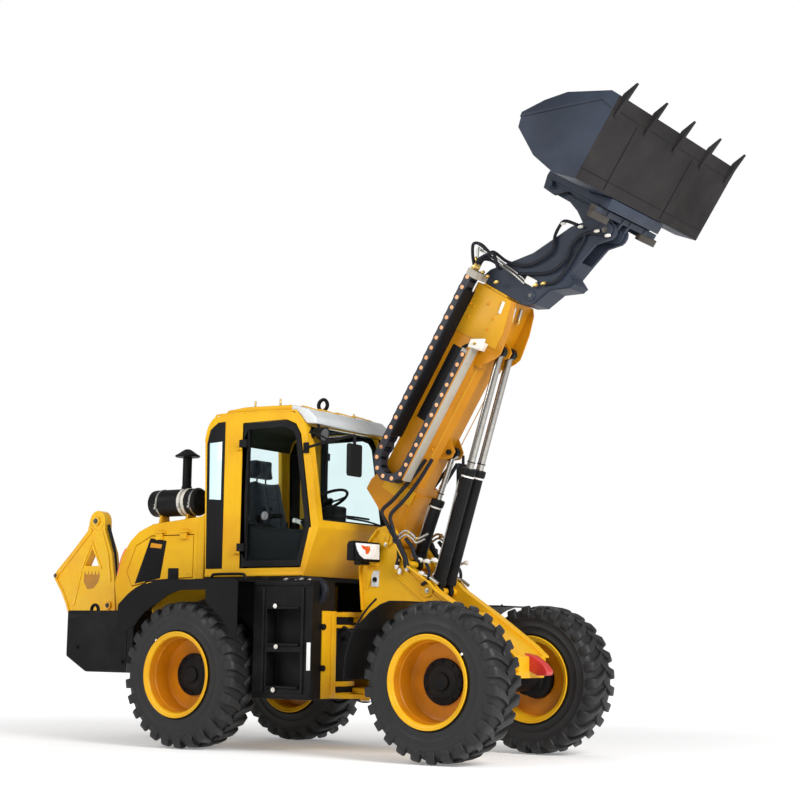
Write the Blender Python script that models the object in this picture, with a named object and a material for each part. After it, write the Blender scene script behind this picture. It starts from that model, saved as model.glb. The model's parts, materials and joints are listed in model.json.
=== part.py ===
"""Articulated telescopic wheel loader with a raised boom and a general purpose bucket.

Metres, +Z up, +X towards the bucket, +Y to the driver's left.
Positions are first written from the point on the floor under the middle of the
wheelbase. The last step slides the whole machine along X, so that the floor
point under the middle of its bounding box is the origin.
"""

import math

import bmesh
import bpy
from mathutils import Matrix, Vector

# ---------------------------------------------------------------- clearances
TOUCH = 0.0003          # gap between pieces that rest on each other
RUNNING = 0.0004        # radial gap of a shaft in its bore
SWING = 0.006           # gap round a piece that moves

# ---------------------------------------------------------------- wheels
WHEELBASE = 2.454
TRACK = 1.502
TYRE_RADIUS = 0.595
TYRE_WIDTH = 0.380
RIM_SEAT_RADIUS = 0.318
RIM_FLANGE_RADIUS = 0.345
RIM_WALL = 0.014
RIM_DISC_OUTSET = 0.020     # disc, outboard of the tyre's middle
HUB_RADIUS = 0.165
HUB_LENGTH = 0.150
STUB_RADIUS = 0.050
STUB_LENGTH = 0.090
ROUND = 40                  # facets of a wheel
BORE_ROUND = 32             # facets of a running bore and its shaft

# ---------------------------------------------------------------- frames
AXLE_RADIUS = 0.095
DIFF_RADIUS = 0.144
FRAME_HALF = 0.280
FRAME_BOTTOM = 0.470
FRAME_TOP = 1.000
HITCH_TOP = 1.116
HITCH_BOTTOM = 0.420
HITCH_PLATE = 0.038
HITCH_LUG = 0.045
HITCH_RADIUS = 0.140
HITCH_PIN_RADIUS = 0.040
HITCH_COLUMN_FRONT = -0.060
HITCH_COLUMN_REAR = -0.300
HITCH_COLUMN_HALF = 0.250
REAR_FRAME_REAR = -1.930

# ---------------------------------------------------------------- boom
BOOM_ANGLE = math.radians(58.2)
BOOM_PIVOT = (0.350, 1.720)         # x, z
BOOM_LOWERED = math.radians(-81)    # lowest, from the stored pose
BOOM_HALF = 0.160
BOOM_PLATE = 0.012
BOOM_TOP = 0.367
BOOM_END = 2.150
BOOM_PIN_RADIUS = 0.040
CAVITY_BOTTOM = 0.035
CAVITY_TOP = 0.335
CAVITY_HALF = 0.128
TELESCOPE_REAR = 0.420
CORNER_WIDE = 0.090           # lower corners taken off both beams
CORNER_HIGH = 0.070
TELESCOPE_GAP = 0.006
PAD_LENGTH = 0.100
TOWER_GAP = 0.013
TOWER_PLATE = 0.037

# ---------------------------------------------------------------- cylinders
LIFT_BASE = (0.745, 1.285)          # x, z on the front frame
LIFT_EYE = (1.750, -0.065)          # along, above the boom's axis
LIFT_SPREAD = 0.075
LIFT_BARREL_RADIUS = 0.048
LIFT_BARREL_LENGTH = 1.010
LIFT_ROD_RADIUS = 0.030
LEVEL_BASE = (0.500, 1.500)
LEVEL_EYE = (0.835, -0.066)
LEVEL_BARREL_RADIUS = 0.048
LEVEL_BARREL_LENGTH = 0.560
LEVEL_ROD_RADIUS = 0.023
TILT_BASE = (2.257, -0.100)
TILT_BARREL_RADIUS = 0.040
TILT_BARREL_LENGTH = 0.490
TILT_ROD_RADIUS = 0.022
CYLINDER_PIN_RADIUS = 0.028

# ---------------------------------------------------------------- bucket
BUCKET_ANGLE = math.radians(56.7)
BUCKET_PIN = (2.977, -0.427)        # along, above the boom's axis
BUCKET_ROLLED = math.radians(40)    # rolled back, from the stored pose
BUCKET_DUMPED = math.radians(95)    # dumped, from the stored pose
TILT_LEVER = 0.180
TILT_LEVER_ANGLE = math.radians(116.5)
BUCKET_HALF = 1.050
BUCKET_WALL = 0.014
BUCKET_FLOOR_DROP = -0.120
BUCKET_EDGE = 0.900
TOOTH_LENGTH = 0.130
TOOTH_HALF = 0.020
TOOTH_COUNT = 5

# ---------------------------------------------------------------- cab
CAB_HALF = 0.560
CAB_WALL = 0.045
CAB_SILL = 1.400
DOOR_REAR = -0.905
DOOR_GAP = 0.008

# ---------------------------------------------------------------- chassis sides
TANK_REAR = -0.610
TANK_FRONT = -0.010
TANK_OUTER = 0.720
TANK_INNER = 0.420
TANK_TOP = 1.360
TANK_BOTTOM = 0.420
FENDER_OUTER = 0.925
FENDER_INNER = 0.490
FENDER_SHEET = 0.012

COLOURS = {
    "amber": ((0.78, 0.42, 0.02, 1), 0.35, 0.0),
    "lemon": ((0.85, 0.62, 0.01, 1), 0.35, 0.0),
    "black": ((0.02, 0.02, 0.022, 1), 0.5, 0.0),
    "slate": ((0.05, 0.06, 0.08, 1), 0.45, 0.0),
    "tyre": ((0.03, 0.03, 0.03, 1), 0.9, 0.0),
    "chrome": ((0.8, 0.8, 0.82, 1), 0.1, 1.0),
    "glass": ((0.6, 0.75, 0.76, 1), 0.05, 0.0),
    "grey": ((0.6, 0.62, 0.62, 1), 0.4, 0.0),
    "lens": ((0.9, 0.9, 0.88, 1), 0.2, 0.0),
}


# ================================================================ tools
def clear_scene():
    for item in list(bpy.data.objects):
        bpy.data.objects.remove(item, do_unlink=True)


def material(name):
    found = bpy.data.materials.get(name)
    if found:
        return found
    colour, roughness, metallic = COLOURS[name]
    made = bpy.data.materials.new(name)
    made.use_nodes = True
    shader = made.node_tree.nodes["Principled BSDF"]
    shader.inputs["Base Color"].default_value = colour
    shader.inputs["Roughness"].default_value = roughness
    shader.inputs["Metallic"].default_value = metallic
    made.diffuse_color = colour
    return made


def solid(bm, name="blank"):
    """A scene object from a bmesh whose faces are turned outwards first."""
    bmesh.ops.recalc_face_normals(bm, faces=bm.faces)
    mesh = bpy.data.meshes.new(name)
    bm.to_mesh(mesh)
    bm.free()
    made = bpy.data.objects.new(name, mesh)
    bpy.context.scene.collection.objects.link(made)
    return made


def plate(points, y_low, y_high):
    """An outline in X and Z, extruded along Y."""
    bm = bmesh.new()
    face = bm.faces.new([bm.verts.new((x, y_low, z)) for x, z in points])
    grown = bmesh.ops.extrude_face_region(bm, geom=[face])
    verts = [item for item in grown["geom"] if isinstance(item, bmesh.types.BMVert)]
    bmesh.ops.translate(bm, verts=verts, vec=(0, y_high - y_low, 0))
    return solid(bm)


def slab(points, z_low, z_high):
    """An outline in X and Y, extruded along Z."""
    bm = bmesh.new()
    face = bm.faces.new([bm.verts.new((x, y, z_low)) for x, y in points])
    grown = bmesh.ops.extrude_face_region(bm, geom=[face])
    verts = [item for item in grown["geom"] if isinstance(item, bmesh.types.BMVert)]
    bmesh.ops.translate(bm, verts=verts, vec=(0, 0, z_high - z_low))
    return solid(bm)


def box(x_low, x_high, y_low, y_high, z_low, z_high):
    outline = [(x_low, z_low), (x_high, z_low), (x_high, z_high), (x_low, z_high)]
    return plate(outline, y_low, y_high)


def rod(start, end, radius, facets=24, end_radius=None):
    """A round bar or cone between two points."""
    start, end = Vector(start), Vector(end)
    run = end - start
    bm = bmesh.new()
    bmesh.ops.create_cone(
        bm, cap_ends=True, segments=facets, radius1=radius,
        radius2=radius if end_radius is None else end_radius, depth=run.length)
    turn = run.to_track_quat("Z", "Y").to_matrix().to_4x4()
    bmesh.ops.transform(bm, matrix=Matrix.Translation((start + end) / 2) @ turn, verts=bm.verts)
    return solid(bm)


def turned(profile, facets=ROUND):
    """A closed profile of (radius, y), turned a full circle round the Y axis."""
    bm = bmesh.new()
    verts = [bm.verts.new((radius, y, 0)) for radius, y in profile]
    edges = [bm.edges.new((verts[i - 1], verts[i])) for i in range(len(verts))]
    bmesh.ops.spin(bm, geom=verts + edges, cent=(0, 0, 0), axis=(0, 1, 0),
                   angle=math.tau, steps=facets, use_merge=True)
    bmesh.ops.remove_doubles(bm, verts=bm.verts, dist=1e-5)
    return solid(bm)


def combine(kind, body, others):
    """Boolean of one solid with others, which are used up."""
    for other in others:
        step = body.modifiers.new(kind.lower(), "BOOLEAN")
        step.operation = kind
        step.solver = "EXACT"
        step.object = other
    bpy.context.view_layer.update()
    graph = bpy.context.evaluated_depsgraph_get()
    mesh = bpy.data.meshes.new_from_object(body.evaluated_get(graph))
    body.modifiers.clear()
    bm = bmesh.new()
    bm.from_mesh(mesh)
    bmesh.ops.remove_doubles(bm, verts=bm.verts, dist=1e-6)
    bm.to_mesh(mesh)
    bm.free()
    body.data = mesh
    for other in others:
        bpy.data.objects.remove(other, do_unlink=True)
    return body


def join(body, *others):
    return combine("UNION", body, others)


def cut(body, *others):
    return combine("DIFFERENCE", body, others)


def moved(body, x=0.0, y=0.0, z=0.0):
    body.data.transform(Matrix.Translation((x, y, z)))
    return body


def mirrored(points):
    return [(x, -y) for x, y in reversed(points)]


def side_range(side, inner, outer):
    """Low and high y of a stretch that lies between two distances from the middle."""
    return sorted((side * inner, side * outer))


def finish(body, name, colour, parent):
    """Name a solid, colour it and hang it on its axis empty."""
    body.name = name
    body.data.name = name
    body.data.materials.clear()
    body.data.materials.append(material(colour))
    body.data.shade_smooth()
    body.data.set_sharp_from_angle(angle=math.radians(35))
    body.parent = parent
    return body


def axis_empty(name, location, angle=0.0, parent=None):
    made = bpy.data.objects.new(name, None)
    made.location = location
    made.rotation_euler = (0, -angle, 0)
    made.parent = parent
    bpy.context.scene.collection.objects.link(made)
    return made


def arc(centre, radius, start, end, steps):
    """Points on an arc, angles in degrees."""
    points = []
    for i in range(steps + 1):
        angle = math.radians(start + (end - start) * i / steps)
        points.append((centre[0] + radius * math.cos(angle), centre[1] + radius * math.sin(angle)))
    return points


def distance(first, second):
    return math.hypot(second[0] - first[0], second[1] - first[1])


def swung(point, centre, angle):
    """A point in X and Z after a turn about a centre, positive from X towards Z."""
    dx, dz = point[0] - centre[0], point[1] - centre[1]
    return (centre[0] + dx * math.cos(angle) - dz * math.sin(angle),
            centre[1] + dx * math.sin(angle) + dz * math.cos(angle))


def boom_to_world(along, above):
    c, s = math.cos(BOOM_ANGLE), math.sin(BOOM_ANGLE)
    return (BOOM_PIVOT[0] + along * c - above * s, BOOM_PIVOT[1] + along * s + above * c)


# ================================================================ wheels
def tyre_profile():
    half = TYRE_WIDTH / 2
    return [
        (RIM_SEAT_RADIUS, -0.89 * half), (0.375, -0.97 * half), (0.455, -half),
        (0.545, -0.95 * half), (TYRE_RADIUS - 0.012, -0.84 * half), (TYRE_RADIUS, -0.60 * half),
        (TYRE_RADIUS, 0.60 * half), (TYRE_RADIUS - 0.012, 0.84 * half), (0.545, 0.95 * half),
        (0.455, half), (0.375, 0.97 * half), (RIM_SEAT_RADIUS, 0.89 * half),
    ]


def wheel(corner, x, side, parent):
    """Tyre and deep dished rim. side is -1 on the right and 1 on the left."""
    y = side * TRACK / 2
    hub = axis_empty("axis_wheel_" + corner, (x, y, TYRE_RADIUS), parent=parent)
    finish(turned(tyre_profile()), "tyre_" + corner, "tyre", hub)
    seat = RIM_SEAT_RADIUS - TOUCH
    bead = 0.89 * TYRE_WIDTH / 2
    edge = TYRE_WIDTH / 2
    inside = seat - RIM_WALL
    barrel = turned([
        (seat, -bead - TOUCH), (RIM_FLANGE_RADIUS - 0.008, -0.99 * edge - TOUCH),
        (RIM_FLANGE_RADIUS - 0.008, -edge - 0.012), (inside, -edge - 0.012),
        (inside, edge + 0.012), (RIM_FLANGE_RADIUS - 0.008, edge + 0.012),
        (RIM_FLANGE_RADIUS - 0.008, 0.99 * edge + TOUCH), (seat, bead + TOUCH)])
    disc_y = side * RIM_DISC_OUTSET
    disc = rod((0, disc_y - 0.009, 0), (0, disc_y + 0.009, 0), inside + 0.004, ROUND)
    hub_end = disc_y - side * HUB_LENGTH
    drum = rod((0, disc_y + side * 0.035, 0), (0, hub_end, 0), HUB_RADIUS, ROUND)
    bore = rod((0, hub_end - side * 0.02, 0), (0, hub_end + side * (STUB_LENGTH + 0.005), 0),
               STUB_RADIUS + RUNNING, BORE_ROUND)
    rim = cut(join(barrel, disc, drum), bore)
    finish(rim, "rim_" + corner, "amber", hub)
    return hub


def axle(name, x, parent):
    """Beam with a differential in the middle and stub shafts in the hubs."""
    hub_face = TRACK / 2 + RIM_DISC_OUTSET - HUB_LENGTH
    z = TYRE_RADIUS
    beam_end = hub_face - 0.0005
    beam = rod((x, -beam_end, z), (x, beam_end, z), AXLE_RADIUS, 24)
    stubs = rod((x, -beam_end - STUB_LENGTH, z), (x, beam_end + STUB_LENGTH, z), STUB_RADIUS, BORE_ROUND)
    ball = turned([(0.02, -0.2), (0.11, -0.17), (DIFF_RADIUS, -0.07), (DIFF_RADIUS, 0.07),
                   (0.11, 0.17), (0.02, 0.2)], 30)
    moved(ball, x, 0.06, z)
    pads = [box(x - 0.11, x + 0.11, side * 0.24 - 0.05, side * 0.24 + 0.05, z + 0.02, FRAME_AXLE_SEAT - TOUCH)
            for side in (-1, 1)]
    return finish(join(beam, stubs, ball, *pads), name, "black", parent)


FRAME_AXLE_SEAT = TYRE_RADIUS + 0.150


# ================================================================ rear chassis
def rear_frame(parent):
    """Two side rails, floor plates and the hitch column with its two pins."""
    x_axle = -WHEELBASE / 2
    outline = [
        (REAR_FRAME_REAR, FRAME_AXLE_SEAT), (REAR_FRAME_REAR, FRAME_TOP),
        (HITCH_COLUMN_REAR - 0.10, FRAME_TOP), (HITCH_COLUMN_REAR - 0.10, FRAME_BOTTOM),
        (x_axle + 0.35, FRAME_BOTTOM), (x_axle + 0.26, FRAME_AXLE_SEAT)]
    body = plate(outline, -FRAME_HALF, FRAME_HALF)
    hollow = box(REAR_FRAME_REAR + 0.05, HITCH_COLUMN_REAR - 0.16, -FRAME_HALF + 0.04, FRAME_HALF - 0.04,
                 FRAME_AXLE_SEAT + 0.04, FRAME_TOP + 0.1)
    body = cut(body, hollow)
    column = box(HITCH_COLUMN_REAR - 0.12, HITCH_COLUMN_FRONT, -HITCH_COLUMN_HALF, HITCH_COLUMN_HALF,
                 HITCH_BOTTOM, HITCH_TOP)
    throat = box(HITCH_COLUMN_REAR + 0.04, HITCH_COLUMN_FRONT + 0.1, -HITCH_COLUMN_HALF - 0.1,
                 HITCH_COLUMN_HALF + 0.1, HITCH_BOTTOM + HITCH_PLATE, HITCH_TOP - HITCH_PLATE)
    column = cut(column, throat)
    webs = []
    for side in (-1, 1):
        low, high = side_range(side, HITCH_COLUMN_HALF - 0.025, HITCH_COLUMN_HALF)
        webs.append(box(HITCH_COLUMN_REAR, HITCH_COLUMN_FRONT - 0.06, low, high,
                        HITCH_BOTTOM + 0.01, HITCH_TOP - 0.01))
    noses = []
    for low in (HITCH_BOTTOM, HITCH_TOP - HITCH_PLATE):
        outline = [(HITCH_COLUMN_FRONT - 0.02, HITCH_COLUMN_HALF)]
        outline += [(HITCH_COLUMN_FRONT - 0.02, -HITCH_COLUMN_HALF)]
        outline += arc((0, 0), HITCH_RADIUS, -70, 70, 8)
        noses.append(slab(outline, low, low + HITCH_PLATE))
    pins = [
        rod((0, 0, HITCH_BOTTOM - 0.02), (0, 0, HITCH_BOTTOM + HITCH_PLATE + HITCH_LUG + 0.01),
            HITCH_PIN_RADIUS, BORE_ROUND),
        rod((0, 0, HITCH_TOP - HITCH_PLATE - HITCH_LUG - 0.01), (0, 0, HITCH_TOP + 0.02),
            HITCH_PIN_RADIUS, BORE_ROUND)]
    return finish(join(body, column, *webs, *noses, *pins), "rear_frame", "amber", parent)


def counterweight(parent):
    outline = [(-1.9303, 0.590), (-1.9303, 1.120), (-2.740, 1.120), (-2.740, 0.720), (-2.500, 0.590)]
    return finish(plate(outline, -0.720, 0.720), "counterweight", "black", parent)


def rear_linkage(parent):
    """A-shaped arm on a bracket behind the counterweight, with a small toothed scoop in its foot."""
    rear_face = -2.740 - TOUCH
    arms = [
        (rear_face, 0.900), (rear_face, 1.060), (-2.822, 1.120), (-2.845, 1.413), (-2.891, 1.661),
        (-2.990, 1.880), (-2.992, 1.960)]
    arms += arc((-3.093, 1.965), 0.100, 15, 165, 8)
    arms += [(-3.215, 1.880), (-3.397, 1.702), (-3.608, 1.509), (-3.639, 1.461), (-3.529, 1.326),
             (-3.467, 1.215), (-3.440, 1.130), (-3.360, 1.000), (-3.200, 0.900)]
    body = plate(arms, -0.045, 0.045)
    window = plate([(-3.046, 1.547), (-3.236, 1.550), (-3.147, 1.713)], -0.2, 0.2)
    body = cut(body, window)
    bracket = box(-3.100, rear_face, -0.160, 0.160, 0.880, 1.070)
    return finish(join(body, bracket), "rear_linkage", "lemon", parent)


def engine_block(parent):
    base = box(-1.915, -1.440, -0.260, 0.260, FRAME_TOP + TOUCH, 1.300)
    head = box(-2.060, -1.500, -0.180, 0.180, 1.280, 1.640)
    return finish(join(base, head), "engine_block", "grey", parent)


HOOD_SIDE = [
    (-1.330, 1.925), (-1.930, 1.872), (-2.090, 1.812), (-2.190, 1.732), (-2.290, 1.600),
    (-2.365, 1.365), (-2.330, 1.1203), (-2.220, 1.1203), (-1.980, 1.290), (-1.800, 1.3603), (-1.330, 1.3603)]
HOOD_HALF = 0.530
HOOD_SHEET = 0.030
HOOD_DOOR = [(-1.450, 1.400), (-1.450, 1.770), (-1.940, 1.770), (-2.120, 1.690), (-2.225, 1.460),
             (-2.160, 1.330), (-1.900, 1.380)]
HOOD_HINGE_Z = 1.795
HOOD_HINGE_OUTSET = 0.020


def engine_hood(parent):
    """Sheet hood, open below and towards the cab, with an opening in each side for its door."""
    body = plate(HOOD_SIDE, -HOOD_HALF, HOOD_HALF)
    inner = [
        (-1.200, 1.904), (-1.926, 1.841), (-2.076, 1.784), (-2.168, 1.709), (-2.262, 1.590),
        (-2.334, 1.363), (-2.300, 1.100), (-1.200, 1.000)]
    body = cut(body, plate(inner, -HOOD_HALF + HOOD_SHEET, HOOD_HALF - HOOD_SHEET))
    openings = []
    for side in (-1, 1):
        low, high = side_range(side, HOOD_HALF - 0.06, HOOD_HALF + 0.06)
        openings.append(plate(HOOD_DOOR, low, high))
    body = cut(body, *openings)
    pins = []
    for side in (-1, 1):
        y = side * (HOOD_HALF + HOOD_HINGE_OUTSET)
        for x in (-1.560, -1.840):
            pins.append(rod((x - 0.030, y, HOOD_HINGE_Z), (x + 0.075, y, HOOD_HINGE_Z), 0.008, 16))
            pins.append(box(x + 0.050, x + 0.070, min(y, side * (HOOD_HALF - 0.01)),
                            max(y, side * (HOOD_HALF - 0.01)), HOOD_HINGE_Z - 0.008, HOOD_HINGE_Z + 0.010))
    return finish(join(body, *pins), "engine_hood", "amber", parent)


def shrink(points, gap):
    """Move each corner of a convex-ish outline towards its middle by about the gap on each side."""
    count = len(points)
    area = sum(points[i - 1][0] * points[i][1] - points[i][0] * points[i - 1][1] for i in range(count))
    turn = 1.0 if area > 0 else -1.0
    result = []
    for i in range(count):
        before, here, after = (Vector(points[(i + k) % count]) for k in (-1, 0, 1))
        first = (here - before).normalized()
        second = (after - here).normalized()
        n1 = Vector((-first.y, first.x)) * turn
        n2 = Vector((-second.y, second.x)) * turn
        middle = (n1 + n2)
        middle.normalize()
        result.append(tuple(here + middle * (gap / max(0.3, middle.dot(n1)))))
    return result


def hood_door(word, side, parent):
    y_axis = side * (HOOD_HALF + HOOD_HINGE_OUTSET)
    hinge = axis_empty("axis_hood_door_" + word, (0, 0, 0), parent=parent)
    low, high = side_range(side, HOOD_HALF - 0.025, HOOD_HALF)
    panel = plate(shrink(HOOD_DOOR, SWING), low, high)
    knuckles = []
    bores = []
    for x in (-1.560, -1.840):
        knuckles.append(rod((x - 0.028, y_axis, HOOD_HINGE_Z), (x + 0.044, y_axis, HOOD_HINGE_Z), 0.014, 16))
        low_y, high_y = side_range(side, HOOD_HALF - 0.010, HOOD_HALF + 0.025)
        knuckles.append(box(x - 0.028, x + 0.044, low_y, high_y, 1.730, 1.758))
        low_y, high_y = side_range(side, HOOD_HALF + 0.006, HOOD_HALF + 0.025)
        knuckles.append(box(x - 0.028, x + 0.044, low_y, high_y, 1.740, HOOD_HINGE_Z - 0.004))
        bores.append(rod((x - 0.06, y_axis, HOOD_HINGE_Z), (x + 0.09, y_axis, HOOD_HINGE_Z), 0.0085, 16))
    panel = cut(join(panel, *knuckles), *bores)
    return finish(panel, "hood_door_" + word, "amber", hinge)


def air_cleaner(parent):
    y, z = -0.360, 2.065
    can = rod((-2.070, y, z), (-1.510, y, z), 0.120, 28)
    pipe = rod((-1.700, y, z), (-1.700, y, 2.470), 0.040, 20)
    cap = rod((-1.700, y, 2.455), (-1.700, y, 2.490), 0.110, 24)
    top = rod((-1.700, y, 2.480), (-1.700, y, 2.540), 0.090, 24, 0.020)
    feet = []
    for x in (-1.950, -1.640):
        surface = 1.925 + (x + 1.330) * (1.925 - 1.872) / 0.600
        feet.append(plate([(x - 0.02, surface - 0.0015 + TOUCH), (x + 0.02, surface + 0.0015 + TOUCH),
                           (x + 0.02, z - 0.06), (x - 0.02, z - 0.06)], y - 0.075, y + 0.075))
    return finish(join(can, pipe, cap, top, *feet), "air_cleaner", "black", parent)


def rear_fender(word, side, parent):
    """Deck over the wheel, a skirt round its arch and a wall on its inner side."""
    x_axle, z_axle = -WHEELBASE / 2, TYRE_RADIUS
    outer = [(TANK_REAR - 0.002, TANK_TOP), (-1.500, TANK_TOP), (-1.650, 1.330), (-1.790, 1.265),
             (-1.928, 1.160)]
    inner = [(x, z - FENDER_SHEET) for x, z in outer]
    inner[-1] = (-1.928, 1.144)
    low, high = side_range(side, FENDER_INNER, FENDER_OUTER)
    deck = plate(outer + list(reversed(inner)), low, high)
    low_edge = [(-1.928, 0.900)] + list(reversed(arc((x_axle, z_axle), 0.645, 124, 142, 3)))
    low_edge += [(-1.470, 1.188), (-1.373, 1.243), (-1.275, 1.277), (-1.173, 1.291), (-0.955, 1.289)]
    low_edge += list(reversed(arc((x_axle, z_axle), 0.645, 28, 64, 5))) + [(TANK_REAR - 0.002, 0.860)]
    skirt_outline = outer + low_edge
    liner = arc((x_axle, z_axle), 0.635, 28, 142, 14)
    wall_outline = outer + [(-1.928, 0.900)] + list(reversed(liner)) + [(TANK_REAR - 0.002, 0.860)]
    s_low, s_high = side_range(side, FENDER_OUTER - FENDER_SHEET, FENDER_OUTER)
    skirt = plate([(x, z - 0.001) for x, z in skirt_outline], s_low, s_high)
    w_low, w_high = side_range(side, FENDER_INNER, FENDER_INNER + FENDER_SHEET)
    wall = plate([(x, z - 0.001) for x, z in wall_outline], w_low, w_high)
    return finish(join(deck, skirt, wall), "rear_fender_" + word, "black", parent)


def side_tank(word, side, parent):
    """Tank box below the cab with three step treads on its face."""
    low, high = side_range(side, TANK_INNER, TANK_OUTER)
    body = box(TANK_REAR, TANK_FRONT, low, high, TANK_BOTTOM, TANK_TOP)
    niche = []
    for z_low, z_high in ((0.505, 0.790), (0.840, 1.130)):
        n_low, n_high = side_range(side, TANK_OUTER - 0.140, TANK_OUTER + 0.1)
        niche.append(box(-0.470, -0.130, n_low, n_high, z_low, z_high))
    return finish(cut(body, *niche), "side_tank_" + word, "black", parent)


# ================================================================ cab
CAB_SIDE = [
    (-1.285, CAB_SILL), (-1.325, 2.560), (-1.290, 2.680), (-1.220, 2.755), (-1.120, 2.780),
    (-0.430, 2.765), (-0.330, 2.735), (-0.255, 2.650), (-0.200, 2.490), (-0.090, 1.790), (-0.235, CAB_SILL)]
DOOR_OUTLINE = [
    (DOOR_REAR, 1.470), (DOOR_REAR, 2.690), (-0.440, 2.690), (-0.340, 2.650), (-0.285, 2.560),
    (-0.165, 1.800), (-0.265, 1.470)]
QUARTER_OUTLINE = [(-1.235, 1.480), (-1.260, 2.540), (-1.210, 2.650), (-1.130, 2.690), (-1.115, 1.480)]
DOOR_HINGES = (1.610, 2.480)
DOOR_HINGE_OUTSET = 0.022
DOOR_PIN_RADIUS = 0.009


def cab_floor(parent):
    return finish(box(-1.285, -0.235, -CAB_HALF, CAB_HALF, TANK_TOP + TOUCH, CAB_SILL - TOUCH),
                  "cab_floor", "black", parent)


def cab_shell(parent):
    body = plate(CAB_SIDE, -CAB_HALF, CAB_HALF)
    body = cut(body, plate(shrink(CAB_SIDE, CAB_WALL), -CAB_HALF + CAB_WALL, CAB_HALF - CAB_WALL))
    holes = [
        plate(DOOR_OUTLINE, -CAB_HALF - 0.1, CAB_HALF + 0.1),
        plate(QUARTER_OUTLINE, -CAB_HALF - 0.1, CAB_HALF + 0.1),
        box(-0.400, 0.100, -CAB_HALF + 0.075, CAB_HALF - 0.075, 1.850, 2.640),
        box(-1.500, -1.200, -CAB_HALF + 0.120, CAB_HALF - 0.120, 1.930, 2.620),
        box(-1.150, -0.330, -0.430, 0.430, 2.700, 2.900)]
    body = cut(body, *holes)
    pins = []
    for side in (-1, 1):
        y = side * (CAB_HALF + DOOR_HINGE_OUTSET)
        for z in DOOR_HINGES:
            pins.append(rod((DOOR_REAR, y, z - 0.018), (DOOR_REAR, y, z + 0.070), DOOR_PIN_RADIUS, 16))
            low, high = side_range(side, CAB_HALF - 0.010, CAB_HALF + 0.030)
            pins.append(box(DOOR_REAR - 0.060, DOOR_REAR - 0.012, low, high, z - 0.020, z))
            low, high = side_range(side, CAB_HALF + 0.008, CAB_HALF + 0.030)
            pins.append(box(DOOR_REAR - 0.030, DOOR_REAR + 0.004, low, high, z - 0.020, z))
    return finish(join(body, *pins), "cab_shell", "amber", parent)


def cab_roof(parent):
    outline = [
        (-1.120, 2.7800), (-0.430, 2.7650), (-0.330, 2.7350), (-0.255, 2.6500), (-0.150, 2.640),
        (-0.160, 2.700), (-0.240, 2.770), (-0.400, 2.815), (-0.900, 2.830), (-1.100, 2.815)]
    outline = [(x + 0.0002, z + 0.0004) for x, z in outline]
    return finish(plate(outline, -CAB_HALF + 0.02, CAB_HALF - 0.02), "cab_roof", "grey", parent)


def cab_door(word, side, parent):
    y_axis = side * (CAB_HALF + DOOR_HINGE_OUTSET)
    hinge = axis_empty("axis_cab_door_" + word, (DOOR_REAR, y_axis, 0), parent=parent)
    low, high = side_range(side, CAB_HALF - 0.040, CAB_HALF)
    panel = plate(shrink(DOOR_OUTLINE, DOOR_GAP), low, high)
    window = plate(shrink(DOOR_OUTLINE, 0.060), low - 0.1, high + 0.1)
    panel = cut(panel, window)
    pane = plate(shrink(DOOR_OUTLINE, 0.045), *side_range(side, CAB_HALF - 0.028, CAB_HALF - 0.018))
    parts, bores = [], []
    for z in DOOR_HINGES:
        parts.append(rod((DOOR_REAR, y_axis, z + TOUCH), (DOOR_REAR, y_axis, z + 0.065), 0.016, 16))
        k_low, k_high = side_range(side, CAB_HALF - 0.010, CAB_HALF + 0.030)
        parts.append(box(DOOR_REAR + 0.011, DOOR_REAR + 0.060, k_low, k_high, z + TOUCH, z + 0.065))
        bores.append(rod((DOOR_REAR, y_axis, z - 0.05), (DOOR_REAR, y_axis, z + 0.1),
                         DOOR_PIN_RADIUS + RUNNING, 16))
    panel = cut(join(panel, pane, *parts), *bores)
    moved(panel, -DOOR_REAR, -y_axis, 0)
    return finish(panel, "cab_door_" + word, "glass", hinge)


def windscreen(parent):
    """Pane in the front opening, 5 mm inside the wall's slope."""
    slope = (-0.090 + 0.200) / (1.790 - 2.490)
    z_low, z_high = 1.850 + TOUCH, 2.480
    x_low = -0.090 + (z_low - 1.790) * slope - 0.020
    x_high = -0.090 + (z_high - 1.790) * slope - 0.020
    outline = [(x_low, z_low), (x_high, z_high), (x_high - 0.055, 2.640 - TOUCH),
               (x_high - 0.063, 2.640 - TOUCH), (x_high - 0.008, z_high), (x_low - 0.008, z_low)]
    half = CAB_HALF - 0.075 - TOUCH
    return finish(plate(outline, -half, half), "windscreen", "glass", parent)


def rear_window(parent):
    half = CAB_HALF - 0.120 - TOUCH
    return finish(box(-1.290, -1.282, -half, half, 1.930 + TOUCH, 2.620 - TOUCH), "rear_window", "glass", parent)


def seat(parent):
    base = box(-1.020, -0.680, -0.200, 0.200, CAB_SILL + CAB_WALL + TOUCH, 1.660)
    cushion = box(-1.060, -0.560, -0.240, 0.240, 1.640, 1.780)
    back = plate([(-1.080, 1.700), (-0.950, 1.700), (-1.060, 2.250), (-1.160, 2.250)], -0.230, 0.230)
    head = box(-1.150, -1.060, -0.130, 0.130, 2.240, 2.420)
    return finish(join(base, cushion, back, head), "seat", "slate", parent)


def steering_column(parent):
    foot = plate([(-0.420, CAB_SILL + CAB_WALL + TOUCH), (-0.300, CAB_SILL + CAB_WALL + TOUCH),
                  (-0.280, 2.000), (-0.380, 1.990)], -0.110, 0.110)
    hoop = turned([(0.165, -0.012), (0.165, 0.012), (0.190, 0.012), (0.190, -0.012)], 28)
    spokes = [box(-0.175, 0.175, -0.008, 0.008, -0.015, 0.015), rod((0, -0.20, 0), (0, 0.02, 0), 0.030, 16)]
    wheel_shape = join(hoop, *spokes)
    wheel_shape.data.transform(Matrix.Rotation(math.radians(62), 4, "X"))
    wheel_shape.data.transform(Matrix.Rotation(math.radians(90), 4, "Z"))
    moved(wheel_shape, -0.420, 0, 2.060)
    return finish(join(foot, wheel_shape), "steering_column", "black", parent)


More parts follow.
